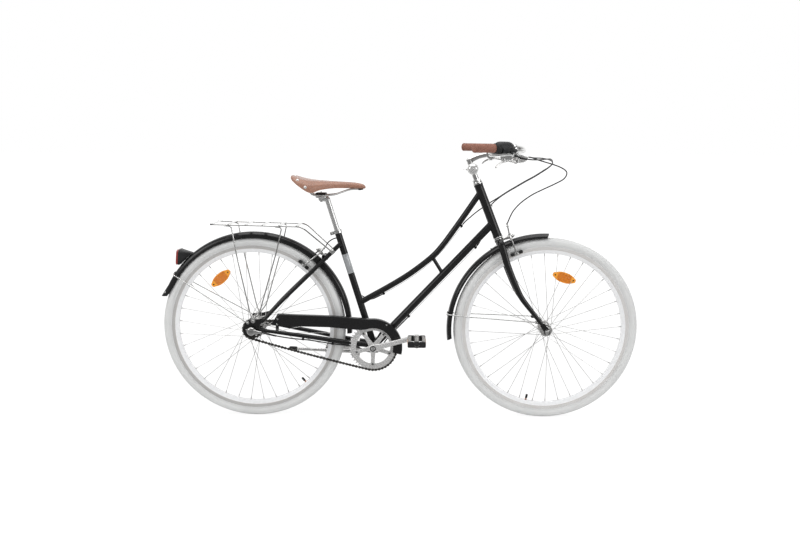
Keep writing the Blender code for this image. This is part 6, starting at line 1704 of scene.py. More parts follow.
# Chain guard
GUARD_Y = -0.05225
GUARD_THICKNESS = 0.0015
GUARD_INNER = 0.0755
GUARD_OUTER = 0.11
GUARD_REAR = [(-0.152, 0.3502), (-0.2536, 0.3599), (-0.457, 0.3647), (-0.4777, 0.3737), (-0.456, 0.4084),
              (-0.2449, 0.4022)]


def arc_run(radius, first, last, step=4):
    """Points about the crank axle from one angle in degrees to another."""
    count = max(int(abs(last - first) / step), 2)
    return side_view(around(BOTTOM_BRACKET, math.radians(first + (last - first) * k / count), radius)
                     for k in range(count + 1))


def make_chain_guard():
    lip_line = [GUARD_REAR[4], GUARD_REAR[5], *arc_run(GUARD_OUTER, 96, -14)]
    edge = [(GUARD_REAR[4][0] + 0.001, GUARD_REAR[4][1] - 0.003),
            (GUARD_REAR[5][0], GUARD_REAR[5][1] - 0.003)]
    outline = arc_run(GUARD_INNER, -14, 112) + GUARD_REAR[:4] + edge + arc_run(GUARD_OUTER - 0.003, 96, -14)
    shape = Shape().prism(soft_loop(outline, 0.009), GUARD_THICKNESS, side_place(GUARD_Y))
    lip = [(0.0034, -0.00075), (0.002, -0.0006), (0.0009, 0.0), (0.0002, 0.001), (0.0, 0.0022), (0.0, 0.018),
           (0.0013, 0.018), (0.0013, 0.0028), (0.0021, 0.0013), (0.0034, 0.0007)]
    run = spaced([Vector((x, GUARD_Y, z)) for x, z in lip_line], 90)
    shape.sweep(run, 1.0, wide=1.0, side=LEFT, section=lip)
    end = Vector((GUARD_REAR[3][0] + 0.003, GUARD_Y, GUARD_REAR[3][1] + 0.003))
    shape.sweep(spaced([end, run[0] - UP * 0.0015], 8), 1.0, wide=1.0, side=LEFT, section=lip)
    piece("chain_guard_plate", shape, BLACK_PAINT, "frame", "chain_guard", sharp=50)
    bracket = Shape()
    outward = around(Vector((0, 0, 0)), math.radians(60), 1.0)
    start = BOTTOM_BRACKET + outward * 0.0215 - LEFT * 0.0358
    bend = BOTTOM_BRACKET + outward * 0.09 - LEFT * 0.0358
    foot = BOTTOM_BRACKET + outward * 0.104 - LEFT * 0.0506
    line = rounded([start, bend, BOTTOM_BRACKET + outward * 0.096 - LEFT * 0.0506, foot], 0.008)
    bracket.bar(line, 0.007, 0.0008, LEFT, 16, 7)
    tab = [Vector((-0.456, -0.0506, 0.376)), Vector((-0.456, -0.0506, 0.355)),
           Vector((-0.456, -0.057, 0.348))]
    bracket.bar(rounded(tab, 0.004), 0.006, 0.0008, LEFT, 16, 7)
    piece("chain_guard_bracket", bracket, BLACK_PAINT, "frame")
    screws = Shape()
    for x, z in ((-0.4544, 0.3909), (-0.456, 0.37)):
        screws.screw(0.0038, Vector((x, GUARD_Y - 0.0007, z)), -LEFT, rise=0.002)
    screws.screw(0.0034, foot - outward * 0.002 - LEFT * 0.0024, -LEFT, rise=0.0018)
    piece("chain_guard_screws", screws, CHROME, "frame")


# Chain and toothed wheels
RING_PITCH_RADIUS = CHAIN_PITCH / (2 * math.sin(math.pi / RING_TEETH))
SPROCKET_PITCH_RADIUS = CHAIN_PITCH / (2 * math.sin(math.pi / SPROCKET_TEETH))
CHAIN_SAG_SHARE = 0.15


def chain_run():
    """The angles where the chain leaves its wheels, and the length of its straight top run."""
    line = REAR_AXLE - BOTTOM_BRACKET
    difference = RING_PITCH_RADIUS - SPROCKET_PITCH_RADIUS
    heading = math.atan2(line.z, line.x)
    lean = math.asin(difference / line.length)
    run = math.sqrt(line.length ** 2 - difference ** 2)
    return heading - math.pi / 2 + lean, heading + math.pi / 2 - lean, lean, run


def chain_pins():
    upper, lower, lean, run = chain_run()
    ring_arc = RING_TEETH * CHAIN_PITCH * (math.pi + 2 * lean) / math.tau
    sprocket_arc = SPROCKET_TEETH * CHAIN_PITCH * (math.pi - 2 * lean) / math.tau
    lower_run = CHAIN_LINKS * CHAIN_PITCH - ring_arc - sprocket_arc - run
    sag = math.sqrt(max(3 * run * (lower_run - run) / 8, 0)) * CHAIN_SAG_SHARE
    ring_top = around(BOTTOM_BRACKET, upper, RING_PITCH_RADIUS)
    sprocket_top = around(REAR_AXLE, upper, SPROCKET_PITCH_RADIUS)
    sprocket_low = around(REAR_AXLE, lower, SPROCKET_PITCH_RADIUS)
    ring_low = around(BOTTOM_BRACKET, lower, RING_PITCH_RADIUS)
    pins = []
    for k in range(CHAIN_LINKS):
        place = k * CHAIN_PITCH
        if place < run:
            pins.append(ring_top.lerp(sprocket_top, place / run))
            continue
        place -= run
        if place < sprocket_arc:
            angle = upper + (math.pi - 2 * lean) * place / sprocket_arc
            pins.append(around(REAR_AXLE, angle, SPROCKET_PITCH_RADIUS))
            continue
        place -= sprocket_arc
        if place < lower_run:
            share = place / lower_run
            pins.append(sprocket_low.lerp(ring_low, share) - UP * (4 * sag * share * (1 - share)))
            continue
        angle = lower + (math.pi + 2 * lean) * (place - lower_run) / ring_arc
        pins.append(around(BOTTOM_BRACKET, angle, RING_PITCH_RADIUS))
    return pins


def make_chain():
    """Every link of the chain: two outer or two inner plates, a roller and a riveted pin."""
    pins = chain_pins()
    shape = Shape()
    half_outline = arc(1, -90, 91, 30)
    for k, pin in enumerate(pins):
        after = pins[(k + 1) % len(pins)]
        along = (after - pin).normalized()
        length = (after - pin).length
        rotation = Matrix((along, LEFT.cross(along), LEFT)).transposed().to_4x4()
        outline = [(length + 0.0045 * c, 0.0045 * s) for c, s in half_outline]
        outline += [(length * 0.62, 0.0022), (length * 0.38, 0.0022)]
        outline += [(-0.0045 * c, -0.0045 * s) for c, s in half_outline]
        outline += [(length * 0.38, -0.0022), (length * 0.62, -0.0022)]
        reach = 0.0036 if k % 2 == 0 else 0.0025
        for side in (-1, 1):
            at = Vector((pin.x, CHAIN_Y + reach * side, pin.z))
            shape.prism(outline, 0.0009, Matrix.Translation(at) @ rotation, k % 2)
        middle = Vector((pin.x, CHAIN_Y, pin.z))
        shape.rod(0.0037, middle - LEFT * 0.0019, middle + LEFT * 0.0019, 12)
        shape.rod(0.0018, middle - LEFT * 0.0045, middle + LEFT * 0.0045, 10, 1)
    piece("chain_links", shape, [CHAIN_DARK, CHAIN_BRIGHT], "frame", "chain", sharp=30)


def toothed(centre, teeth, pitch_radius, first_gap):
    """The outline of a toothed wheel, with a round seat for a roller in each gap."""
    root = pitch_radius - 0.0046
    tip = pitch_radius + 0.0034
    step = math.tau / teeth
    seat = 0.0038 / root
    outline = []
    for k in range(teeth):
        middle = first_gap + k * step
        for shift, radius in ((-seat, pitch_radius - 0.003), (-seat * 0.6, root + 0.0005), (0, root),
                              (seat * 0.6, root + 0.0005), (seat, pitch_radius - 0.003),
                              (step / 2 - 0.0013 / tip, tip - 0.0007), (step / 2, tip),
                              (step / 2 + 0.0013 / tip, tip - 0.0007)):
            outline.append(around(centre, middle + shift, radius))
    return side_view(outline)


CHAIN_PLATE = 0.0026
SPIDER_ANGLES = [CRANK_ANGLE + math.radians(36 + 72 * k) for k in range(5)]


def make_chainring():
    """The toothed plate, its scalloped inner edge that widens at the spider's arms, and two raised rings."""
    hole = []
    for k in range(150):
        angle = math.tau * k / 150
        radius = BOLT_CIRCLE_RADIUS
        for arm in SPIDER_ANGLES:
            off = (angle - arm + math.pi) % math.tau - math.pi
            radius -= 0.0085 * math.exp(-(off / 0.115) ** 4)
        hole.append(around(BOTTOM_BRACKET, angle, radius))
    outline = toothed(BOTTOM_BRACKET, RING_TEETH, RING_PITCH_RADIUS, chain_run()[0])
    shape = Shape().prism(outline, CHAIN_PLATE, side_place(CHAIN_Y), 0, [side_view(hole)])
    for low, high in ((0.07, 0.0712), (0.0795, 0.0806)):
        shape.lathe([(low, 0.0012), (low + 0.0003, 0.0016), (high - 0.0003, 0.0016), (high, 0.0012)],
                    frame_at(BOTTOM_BRACKET + LEFT * CHAIN_Y, -LEFT), 120)
    piece("chainring_plate", shape, CRANK_ALLOY, "crank", "chainring", bevel=0.0004)


def make_sprocket():
    """The rear toothed plate, its round windows and its boss."""
    upper, _, _, run = chain_run()
    phase = (run % CHAIN_PITCH) / CHAIN_PITCH
    outline = toothed(REAR_AXLE, SPROCKET_TEETH, SPROCKET_PITCH_RADIUS,
                      upper + (1 - phase) * math.tau / SPROCKET_TEETH)
    holes = [side_view(around(REAR_AXLE, math.tau * k / 48, 0.015) for k in range(48))]
    for k in range(6):
        middle = around(REAR_AXLE, math.tau * k / 6, 0.0245)
        holes.append(side_view(around(middle, math.tau * j / 16, 0.0042) for j in range(16)))
    shape = Shape().prism(outline, CHAIN_PLATE, side_place(CHAIN_Y), 0, holes)
    shape.lathe([(0.0062, -0.009), (0.016, -0.009), (0.0168, -0.008), (0.0168, 0.003), (0.016, 0.0037),
                 (0.0062, 0.0037)], frame_at(REAR_AXLE + LEFT * CHAIN_Y, LEFT), 48, ring=True)
    piece("sprocket_plate", shape, CHAIN_DARK, "sprocket", "rear_sprocket", bevel=0.0003)


# Cranks and pedals
# Each row: distance along the arm, distance from the bike's middle, half height and half thickness
CRANK_LINE = [(-0.016, 0.0628, 0.0085, 0.0058), (-0.01, 0.0628, 0.0138, 0.0062),
              (0.0, 0.0628, 0.015, 0.0062), (0.012, 0.063, 0.0142, 0.0062), (0.035, 0.0642, 0.0106, 0.0062),
              (0.1, 0.0685, 0.0092, 0.006), (0.155, 0.0728, 0.0104, 0.0062), (0.172, 0.0735, 0.0118, 0.0062),
              (0.182, 0.0735, 0.007, 0.0056)]
SPIDER_LINE = [(0.003, 0.053, 0.012, 0.004), (0.018, 0.0508, 0.0096, 0.0034),
               (0.034, 0.0482, 0.0078, 0.0026), (0.052, 0.0472, 0.0074, 0.0021),
               (0.064, 0.047, 0.0082, 0.0021), (0.0695, 0.047, 0.006, 0.0019)]


def make_crank(name, side):
    """A forged arm with its hub, pedal boss, dust cap and pedal spindle, and the spider on the drive side."""
    outward = LEFT * side
    direction = CRANK_FORWARD * -side
    shape = Shape()
    line = [BOTTOM_BRACKET + direction * reach + outward * y for reach, y, _, _ in CRANK_LINE]
    count = 56
    shape.bar(smooth_path(line, count), shared(line, [row[2] for row in CRANK_LINE], count),
              shared(line, [row[3] for row in CRANK_LINE], count), LEFT, 32, 2.9, ends=0.003)
    inner = 0.0448 if side < 0 else 0.054
    deep = 0.0655 - inner
    shape.lathe([(0.0085, 0), (0.0146, 0), (0.015, 0.0006), (0.015, deep), (0.0085, deep)],
                frame_at(BOTTOM_BRACKET + outward * inner, outward), 48, ring=True)
    spindle = BOTTOM_BRACKET + direction * CRANK_LENGTH
    shape.lathe([(0.0, 0.0062), (0.0085, 0.0062), (0.0085, 0.0085), (0.008, 0.009), (0, 0.009)],
                frame_at(spindle + outward * 0.074, outward), 32)
    if side < 0:
        for angle in SPIDER_ANGLES:
            out = around(Vector((0, 0, 0)), angle, 1.0)
            arm = [BOTTOM_BRACKET + out * reach - LEFT * y for reach, y, _, _ in SPIDER_LINE]
            shape.bar(smooth_path(arm, 24), shared(arm, [row[2] for row in SPIDER_LINE], 24),
                      shared(arm, [row[3] for row in SPIDER_LINE], 24), LEFT, 24, 3.2, ends=0.0016)
    shape.rod(0.0045, spindle + outward * 0.076, spindle + outward * 0.183, 20, 1)
    face = BOTTOM_BRACKET + outward * 0.069
    shape.lathe([(0, -0.0006), (0.0106, -0.0006), (0.0112, 0.0), (0.0112, 0.0006), (0.0104, 0.001),
                 (0.0078, 0.0004), (0.0074, -0.0002), (0, -0.0002)], frame_at(face, outward), 36, 2)
    shape.nut(0.011, 0.0022, face, outward, 1)
    if side < 0:
        for angle in SPIDER_ANGLES:
            at = around(BOTTOM_BRACKET, angle, BOLT_CIRCLE_RADIUS, -0.049)
            shape.lathe([(0.0026, 0.0), (0.005, 0.0), (0.0054, 0.0004), (0.0054, 0.0012), (0.0048, 0.0018),
                         (0.0026, 0.0018)], frame_at(at, outward), 24, 1, ring=True)
            shape.rod(0.0027, at - outward * 0.0008, at + outward * 0.0009, 6, 2)
    piece(name + "_arm", shape, [CRANK_ALLOY, CHROME, BLACK_RESIN], "crank", name, sharp=45)


def make_crank_axle():
    shape = Shape().rod(0.008, BOTTOM_BRACKET - LEFT * 0.068, BOTTOM_BRACKET + LEFT * 0.068, 28, soft=0.0006)
    for side in (-1, 1):
        shape.lathe([(0.008, 0), (0.0092, 0), (0.0092, 0.003), (0.008, 0.003)],
                    frame_at(BOTTOM_BRACKET + LEFT * (0.035 * side), LEFT * side), 28, ring=True)
    piece("crank_axle_body", shape, CHROME, "crank", "crank_axle")


def make_pedal(name, side):
    outward = LEFT * side
    centre = BOTTOM_BRACKET + CRANK_FORWARD * (-side * CRANK_LENGTH) + outward * 0.1375
    shape = Shape()
    place = frame_at(centre, outward, UP)
    shape.lathe([(0.0052, -0.052), (0.0105, -0.052), (0.0118, -0.05), (0.0118, -0.04), (0.01, -0.034),
                 (0.0096, 0.0), (0.01, 0.036), (0.0052, 0.036)], place, 36, 2, ring=True)
    shape.lathe([(0.0052, 0.035), (0.0104, 0.035), (0.0122, 0.042), (0.0122, 0.0505), (0.0112, 0.0522),
                 (0.0052, 0.0522)], place, 36, ring=True)
    chevron = [(-0.01, -0.002), (-0.0072, -0.002), (0, -0.0074), (0.0072, -0.002), (0.01, -0.002),
               (0, -0.0098)]
    shape.prism(chevron, 0.0012, Matrix.Translation(centre + outward * 0.0524) @ side_place(0), 2)
    for end in (-1, 1):
        middle = centre + outward * (0.047 * end)
        outline = soft_loop([(-0.033, -0.0085), (-0.029, -0.0105), (0.029, -0.0105), (0.033, -0.0085),
                             (0.033, 0.0085), (0.029, 0.0105), (0.0135, 0.0105), (0.01, 0.0088),
                             (-0.01, 0.0088), (-0.0135, 0.0105), (-0.029, 0.0105), (-0.033, 0.0085)], 0.004)
        hole = [(0.009 * c, 0.009 * s) for c, s in circle(24)]
        plate = Matrix.Translation(middle) @ side_place(0)
        shape.prism(outline, 0.0088, plate, 0, [hole])
        for edge in (-1, 1):
            shape.prism([(edge * x, z) for x, z in ((0.016, -0.004), (0.027, -0.004), (0.027, 0.004),
                                                    (0.016, 0.004))], 0.0104, plate)
    for edge in (-1, 1):
        bar = centre + FORWARD * (0.0262 * edge)
        shape.bar([bar - outward * 0.05, bar + outward * 0.05], 0.0062, 0.009, UP, 24, 5, slot=2)
        for k in range(9):
            rib = bar + outward * (-0.04 + 0.01 * k)
            for up in (-1, 1):
                shape.bar([rib + UP * (0.0086 * up) - FORWARD * 0.0064, rib + UP * (0.0086 * up)
                           + FORWARD * 0.0064], 0.0016, 0.0016, UP, 12, 3, slot=2)
        face = centre + FORWARD * (0.0326 * edge)
        shape.bar([face - outward * 0.023, face + outward * 0.023], 0.001, 0.0056, UP, 20, 6, slot=1)
    shape.lathe([(0.0, 0.0512), (0.0048, 0.0512), (0.005, 0.052), (0.0042, 0.0527), (0.0, 0.0528)], place,
                28)
    piece(name + "_body", shape, [BLACK_RESIN, AMBER_RIM, PEDAL_ALLOY], name, name, bevel=0.0005)


# Brake arms
CALIPERS = {"front": {"bolt": HEAD_BOTTOM + HEAD_DOWN * 0.017, "axis": HEAD_FORWARD, "layer": 0.042,
                      "reach": 0.0657, "lean": 0.0, "pad_ahead": 0.0434, "rise": 0.012, "barrel": 0.0345,
                      "anchor": 0.001, "from": 0.0125, "tilt": 0.157},
            "rear": {"bolt": REAR_BRIDGE, "axis": REAR_BOLT_AXIS, "layer": 0.0233, "reach": 0.076,
                     "lean": 0.008, "pad_ahead": 0.034, "rise": 0.015, "barrel": 0.012, "anchor": 0.006,
                     "from": 0.0065, "tilt": 0.0}}
ARM_LAYER = 0.0066


def caliper_place(which):
    """X across the bike, Y down towards the rim, Z along the brake's bolt."""
    axis = CALIPERS[which]["axis"]
    down = LEFT.cross(axis)
    if down.z > 0:
        down = -down
    columns = Matrix((down.cross(axis), down, axis)).transposed().to_4x4()
    return Matrix.Translation(CALIPERS[which]["bolt"]) @ columns


def cable_up(which):
    return (caliper_place(which).to_3x3() @ Vector((0, -1, CALIPERS[which]["tilt"]))).normalized()


def barrel_top(which):
    spec = CALIPERS[which]
    place = caliper_place(which)
    sign = 1 if (place.to_3x3() @ Vector((1, 0, 0))).y < 0 else -1
    return place @ Vector((0.019 * sign, -spec["rise"], spec["layer"])) + cable_up(which) * spec["barrel"]


def add_cable_barrel(shape, end, up, spec):
    """The threaded barrel that the casing ends in, and the bare wire that goes on to the other arm."""
    long = spec["barrel"]
    knurl = [(0.0014, -0.004), (0.0046, -0.004), (0.0046, 0.002), (0.0026, 0.0026)]
    for k in range(4):
        base = 0.003 + (long - 0.0075) * k / 4
        knurl += [(0.0026, base), (0.0029, base + 0.0006)]
    knurl += [(0.0026, long - 0.007), (0.005, long - 0.0066), (0.0053, long - 0.0058),
              (0.0053, long - 0.003), (0.0048, long - 0.0022), (0.0032, long - 0.0016), (0.003, long),
              (0.0014, long)]
    shape.lathe(knurl, frame_at(end, up), 24, 1, ring=True)
    wire_low = end - up * (spec["rise"] - spec["anchor"])
    shape.rod(0.0008, wire_low - up * 0.005, end + up * 0.002, 8, 1)


def add_brake_pad(shape, middle, post, axis, across):
    """A grooved rubber pad, its steel holder, and its post with a nut and a washer."""
    count = 30
    grooved = [0.006 - (0.0008 if k in (8, 9, 20, 21) else 0.0) for k in range(count)]
    grooved[0] = grooved[-1] = 0.0034
    grooved[1] = grooved[-2] = 0.0052
    shape.bar(spaced([middle - axis * 0.0235, middle + axis * 0.0235], count), grooved, 0.0046, across, 24,
              4, 2)
    holder = middle + across * 0.0052
    shape.bar([holder - axis * 0.0085, holder + axis * 0.0085], 0.005, 0.0011, across, 20, 5, 1)
    shape.rod(0.0032, post - across * 0.005, post + across * 0.004, 20, 1)
    shape.nut(0.01, 0.004, post + across * 0.0038, across, 1)
    shape.rod(0.0052, post - across * 0.0046, post - across * 0.003, 24, 1, soft=0.0003)


def make_brake_arm(which, side):
    spec = CALIPERS[which]
    place = caliper_place(which)
    turn = place.to_3x3()
    axis = turn @ Vector((0, 0, 1))
    sign = 1 if (turn @ Vector((1, 0, 0))).y * side > 0 else -1
    layer = spec["layer"] + (ARM_LAYER if side > 0 else 0)
    reach = spec["reach"]
    lean = spec["lean"]
    cable_side = sign if side < 0 else -sign

    def at(x, y, z=0.0):
        return place @ Vector((x * sign, y, layer + z))

    shape = Shape()
    main = [at(-0.003, 0.001), at(0.012, -0.0048), at(0.026, -0.003), at(0.0355, 0.008),
            at(0.0375, 0.026, lean * 0.3), at(0.034, reach - 0.017, lean * 0.8),
            at(0.029, reach - 0.001, lean)]
    shape.bar(smooth_path(main, 44), shared(main, [0.0056, 0.0054, 0.005, 0.005, 0.0045, 0.004, 0.0046], 44),
              0.003, axis, 20, 3.2, ends=0.0018)
    shape.rod(0.008, at(0, 0, -0.0025), at(0, 0, 0.0025), 32, soft=0.0005)
    top = -spec["rise"] if side < 0 else -spec["anchor"]
    upper = [place @ Vector((x * cable_side, y, layer))
             for x, y in ((0.0, 0.0), (0.0085, top * 0.4), (0.016, top * 0.8), (0.019, top))]
    shape.bar(smooth_path(upper, 24), shared(upper, [0.006, 0.0046, 0.004, 0.0046], 24), 0.003, axis, 20,
              3.2, ends=0.0018)
    if side < 0:
        add_cable_barrel(shape, upper[-1], cable_up(which), spec)
    else:
        shape.nut(0.009, 0.004, upper[-1] + axis * 0.0022, axis, 1, washer=0.0052)
        shape.rod(0.0022, upper[-1] - axis * 0.006, upper[-1] + axis * 0.0075, 12, 1)
    pad = place @ Vector((0.0188 * sign, reach, spec["pad_ahead"]))
    add_brake_pad(shape, pad, main[-1], axis, turn @ Vector((sign, 0, 0)))
    spring = [at(0.004, -0.0085, -0.0034), at(0.015, -0.002, -0.004), at(0.024, 0.005, -0.004),
              at(0.031, 0.012, -0.0034)]
    shape.sweep(smooth_path(spring, 16), 0.0009, 8, 1)
    word = which + "_brake_arm_" + ("right" if side < 0 else "left")
    piece(word + "_forging", shape, [ALLOY, CHROME, BLACK_RUBBER], word, word, sharp=45)


def make_brake_bolt(which, body):
    spec = CALIPERS[which]
    place = caliper_place(which)
    axis = place.to_3x3() @ Vector((0, 0, 1))
    base = spec["bolt"]
    shape = Shape()
    front = spec["layer"] + ARM_LAYER + 0.0028
    shape.rod(0.003, base - axis * 0.018, base + axis * (front + 0.008), 16)
    shape.nut(0.01, 0.005, base + axis * front, axis)
    shape.lathe([(0.003, 0), (0.0056, 0), (0.005, 0.003), (0.003, 0.0046), (0, 0.005)],
                frame_at(base + axis * (front + 0.005), axis), 24)
    back = spec["layer"] - 0.0028
    start = spec["from"]
    run = back - start
    shape.lathe([(0.003, 0), (0.0075, 0), (0.0078, run * 0.1), (0.0052, run * 0.16), (0.0052, run * 0.5),
                 (0.0068, run * 0.54), (0.0068, run * 0.72), (0.0056, run * 0.76), (0.0074, run * 0.84),
                 (0.0074, run), (0.003, run)], frame_at(base + axis * start, axis), 32, ring=True)
    shape.nut(0.01, 0.0046, base - axis * (0.0125 if which == "front" else 0.007), -axis)
    piece(which + "_brake_bolt", shape, CHROME, body, sharp=40)


# Bell
BELL_CENTRE = HEAD_TOP - HEAD_DOWN * 0.06
BELL_LEVER_ROOT = BELL_CENTRE + Vector((-0.0205, -0.0195, -0.002))


def make_bell():
    shape = Shape()
    shape.lathe(collar(0.0118, 0.0144, 0.015, 0.0044, 0.005), frame_at(BELL_CENTRE, HEAD_DOWN), 48, 1,
                ring=True)
    shape.rod(0.0045, BELL_CENTRE - LEFT * 0.013, BELL_CENTRE - LEFT * 0.025, 20, 1)
    shape.lathe([(0.0, 0.0), (0.019, 0.0), (0.0198, 0.0008), (0.0198, 0.0026), (0, 0.0026)],
                frame_at(BELL_CENTRE - LEFT * 0.0205, -LEFT), 48, 1)
    dome = [(0.0202, 0.0), (0.0214, 0.0), (0.0215, 0.001), (0.0213, 0.0046), (0.0203, 0.0082),
            (0.0184, 0.0116), (0.0156, 0.0147), (0.0118, 0.0171), (0.007, 0.0183), (0.0042, 0.0184),
            (0.0038, 0.0178), (0.0, 0.0178)]
    inner = [(0.0, 0.0166), (0.011, 0.016), (0.0172, 0.0116), (0.0202, 0.0046)]
    shape.lathe([*inner, *dome], frame_at(BELL_CENTRE - LEFT * 0.0228, -LEFT), 64, 0)
    shape.screw(0.003, BELL_CENTRE - LEFT * (0.0228 + 0.0177), -LEFT, 0, 0.0016)
    piece("bell_dome", shape, [BELL_CHROME, BLACK_RESIN], "steering", "bell", sharp=45)
    lever = Shape()
    lever.rod(0.004, BELL_LEVER_ROOT - LEFT * 0.0013, BELL_LEVER_ROOT + LEFT * 0.0013, 24, soft=0.0003)
    blade = [BELL_LEVER_ROOT + Vector((-x, 0, z))
             for x, z in ((0.001, -0.0006), (0.006, -0.001), (0.012, -0.001), (0.0168, -0.0018))]
    lever.bar(smooth_path(blade, 14), 0.0009, 0.0024, LEFT, 16, 4, ends=0.001)
    piece("bell_lever_blade", lever, CHROME, "bell_lever", "bell_lever", sharp=45)


# Gear bell crank and kickstand
def make_bell_crank():
    base = REAR_AXLE - LEFT * 0.0735
    shape = Shape()
    shape.lathe([(0, 0), (0.0165, 0), (0.0176, 0.0008), (0.0176, 0.0026), (0.0162, 0.0032), (0, 0.0032)],
                frame_at(base, -LEFT), 56, 1)
    shape.lathe([(0.0158, 0.0028), (0.0157, 0.005), (0.0146, 0.0076), (0.0118, 0.0092), (0.006, 0.0098),
                 (0, 0.0099)], frame_at(base, -LEFT), 56, 0)
    slot = base - LEFT * 0.0096
    shape.bar([slot - FORWARD * 0.0085, slot + FORWARD * 0.0085], 0.0012, 0.0011, LEFT, 16, 4, slot=1,
              ends=0.0008)
    nose = [base + FORWARD * x - LEFT * y - UP * z
            for x, y, z in ((0.012, 0.005, 0.001), (0.022, 0.0062, 0.0022), (0.03, 0.0066, 0.0028),
                            (0.0396, 0.0068, 0.003))]
    shape.bar(smooth_path(nose, 18), shared(nose, [0.01, 0.0066, 0.005, 0.004], 18),
              shared(nose, [0.0034, 0.0036, 0.0036, 0.0034], 18), LEFT, 24, 2.6, ends=0.0012)
    piece("shift_bell_crank_cap", shape, [ALLOY, BLACK_RESIN], "frame", "shift_bell_crank", sharp=45)


KICKSTAND_SPOT = (-0.165, 0.03, 0.245)
KICKSTAND_PIVOT = Vector(KICKSTAND_SPOT)
FOLDED = Vector((-0.265, 0.042, 0)).normalized()
DEPLOYED = Vector((-0.02, 0.16, -0.225)).normalized()
SWING = FOLDED - DEPLOYED
KICKSTAND_AXIS = (LEFT - SWING * LEFT.dot(SWING) / SWING.length_squared).normalized()


def make_kickstand():
    shape = Shape()
    shape.lathe([(0, -0.01), (0.0104, -0.01), (0.011, -0.0094), (0.011, 0.0106), (0.0092, 0.0128),
                 (0.005, 0.013), (0, 0.013)], frame_at(KICKSTAND_PIVOT, KICKSTAND_AXIS), 40)
    line = [KICKSTAND_PIVOT + FOLDED * reach for reach in (0, 0.06, 0.17, 0.245, 0.268)]
    shape.sweep(smooth_path(line, 40), shared(line, [0.0076, 0.007, 0.0064, 0.0062, 0.006], 40), 20, side=UP,
                ends=0.002)
    foot = [KICKSTAND_PIVOT + FOLDED * reach for reach in (0.236, 0.24, 0.26, 0.266, 0.27)]
    shape.sweep(foot, [0.0066, 0.008, 0.0083, 0.008, 0.0068], 20, 1, ends=0.001)
    for k in range(4):
        ring = KICKSTAND_PIVOT + FOLDED * (0.243 + 0.0046 * k)
        shape.lathe([(0.0078, -0.0007), (0.0086, 0), (0.0078, 0.0007)], frame_at(ring, FOLDED), 24, 1)
    piece("kickstand_rod", shape, [ALLOY, BLACK_RUBBER], "kickstand", "kickstand_leg", sharp=45)


def make_kickstand_bracket():
    """Two cheeks about the pivot, the block and plate above them, the bolt and the pivot's pin."""
    x, _, z = KICKSTAND_SPOT
    outline = [(-0.179, 0.2862), (-0.1815, 0.245), *arc(0.0165, 180, 361, 15, x, z), (-0.1485, 0.245),
               (-0.151, 0.2862)]
    hole = [(x + 0.012 * c, z + 0.012 * s) for c, s in circle(32)]
    shape = Shape()
    for y in (-0.006, 0.014):
        shape.prism(outline, 0.008, side_place(y), 0, [hole])
    for size, y, z in (((0.025, 0.028, 0.012), 0.004, 0.279), ((0.034, 0.056, 0.004), 0, 0.3)):
        shape.box(size, Matrix.Translation((-0.1655, y, z)))
    shape.nut(0.013, 0.006, Vector((-0.1655, 0, 0.302)), UP, 1, washer=0.0085)
    shape.rod(0.004, (-0.1655, 0, 0.28), (-0.1655, 0, 0.301), 16, 1)
    shape.rod(0.006, KICKSTAND_PIVOT - KICKSTAND_AXIS * 0.038, KICKSTAND_PIVOT - KICKSTAND_AXIS * 0.0104, 20,
              1)
    piece("kickstand_bracket", shape, [ALLOY, CHROME], "frame", bevel=0.0007)


# Cables
FRONT_CABLE = [(0.495, -0.136, 0.986), (0.5413, -0.106, 0.9732), (0.5747, -0.085, 0.9624),
               (0.6, -0.065, 0.9497), (0.6095, -0.05, 0.9357), (0.6005, -0.04, 0.9165),
               (0.5708, -0.03, 0.8981), (0.53, -0.024, 0.878), (0.4887, -0.02, 0.8563),
               (0.4503, -0.0188, 0.828), (0.4247, -0.019, 0.7999), (0.412, -0.019, 0.776)]
REAR_CABLE = [(0.51, 0.128, 0.99), (0.548, 0.112, 0.988), (0.574, 0.096, 0.981), (0.58, 0.08, 0.97),
              (0.565, 0.068, 0.957), (0.5434, 0.06, 0.944), (0.508, 0.05, 0.923), (0.4736, 0.042, 0.905),
              (0.4394, 0.035, 0.8855), (0.4058, 0.03, 0.866), (0.3725, 0.027, 0.8443),
              (0.3426, 0.025, 0.826), (0.3128, 0.023, 0.8058), (0.2895, 0.02, 0.7891), (0.2661, 0.014, 0.77),
              (0.246, 0.005, 0.753), (0.2339, 0.0, 0.738)]
SHIFT_CABLE = [(0.406, -0.208, 1.002), (0.427, -0.197, 0.995), (0.448, -0.183, 0.9905),
               (0.47, -0.165, 0.9885), (0.494, -0.138, 0.988), (0.522, -0.1, 0.989), (0.548, -0.052, 0.989),
               (0.564, -0.005, 0.98), (0.568, 0.03, 0.9665), (0.557, 0.048, 0.953), (0.542, 0.052, 0.942),
               (0.508, 0.043, 0.9215), (0.4736, 0.035, 0.9035), (0.4394, 0.0285, 0.884),
               (0.4058, 0.0245, 0.8648), (0.374, 0.0225, 0.843), (0.347, 0.0212, 0.818),
               (0.34, 0.0208, 0.79), (0.345, 0.0206, 0.76), (0.343, 0.0205, 0.733), (0.331, 0.018, 0.712),
               (0.312, 0.01, 0.694)]


def lever_end(side):
    """Where a casing leaves its lever's barrel, and a point straight ahead of it."""
    inboard = to_side(GRIP_INBOARD, side)
    start = (lever_pivot(side) - to_side(LEVER_DOWN, side) * BARREL_RISE
             + inboard * (0.004 + BARREL_LENGTH + 0.0003))
    return [start, start + inboard * 0.02]


def barrel_end(which, reach):
    """A point above a caliper's cable barrel, and the place on it where the casing ends."""
    end = barrel_top(which) + cable_up(which) * 0.0006
    return [end + cable_up(which) * reach, end]


def nearest_share(path, place):
    """How far along a path it passes nearest to a place, from 0 to 1."""
    return min(range(len(path)), key=lambda k: (path[k] - place).length) / (len(path) - 1)


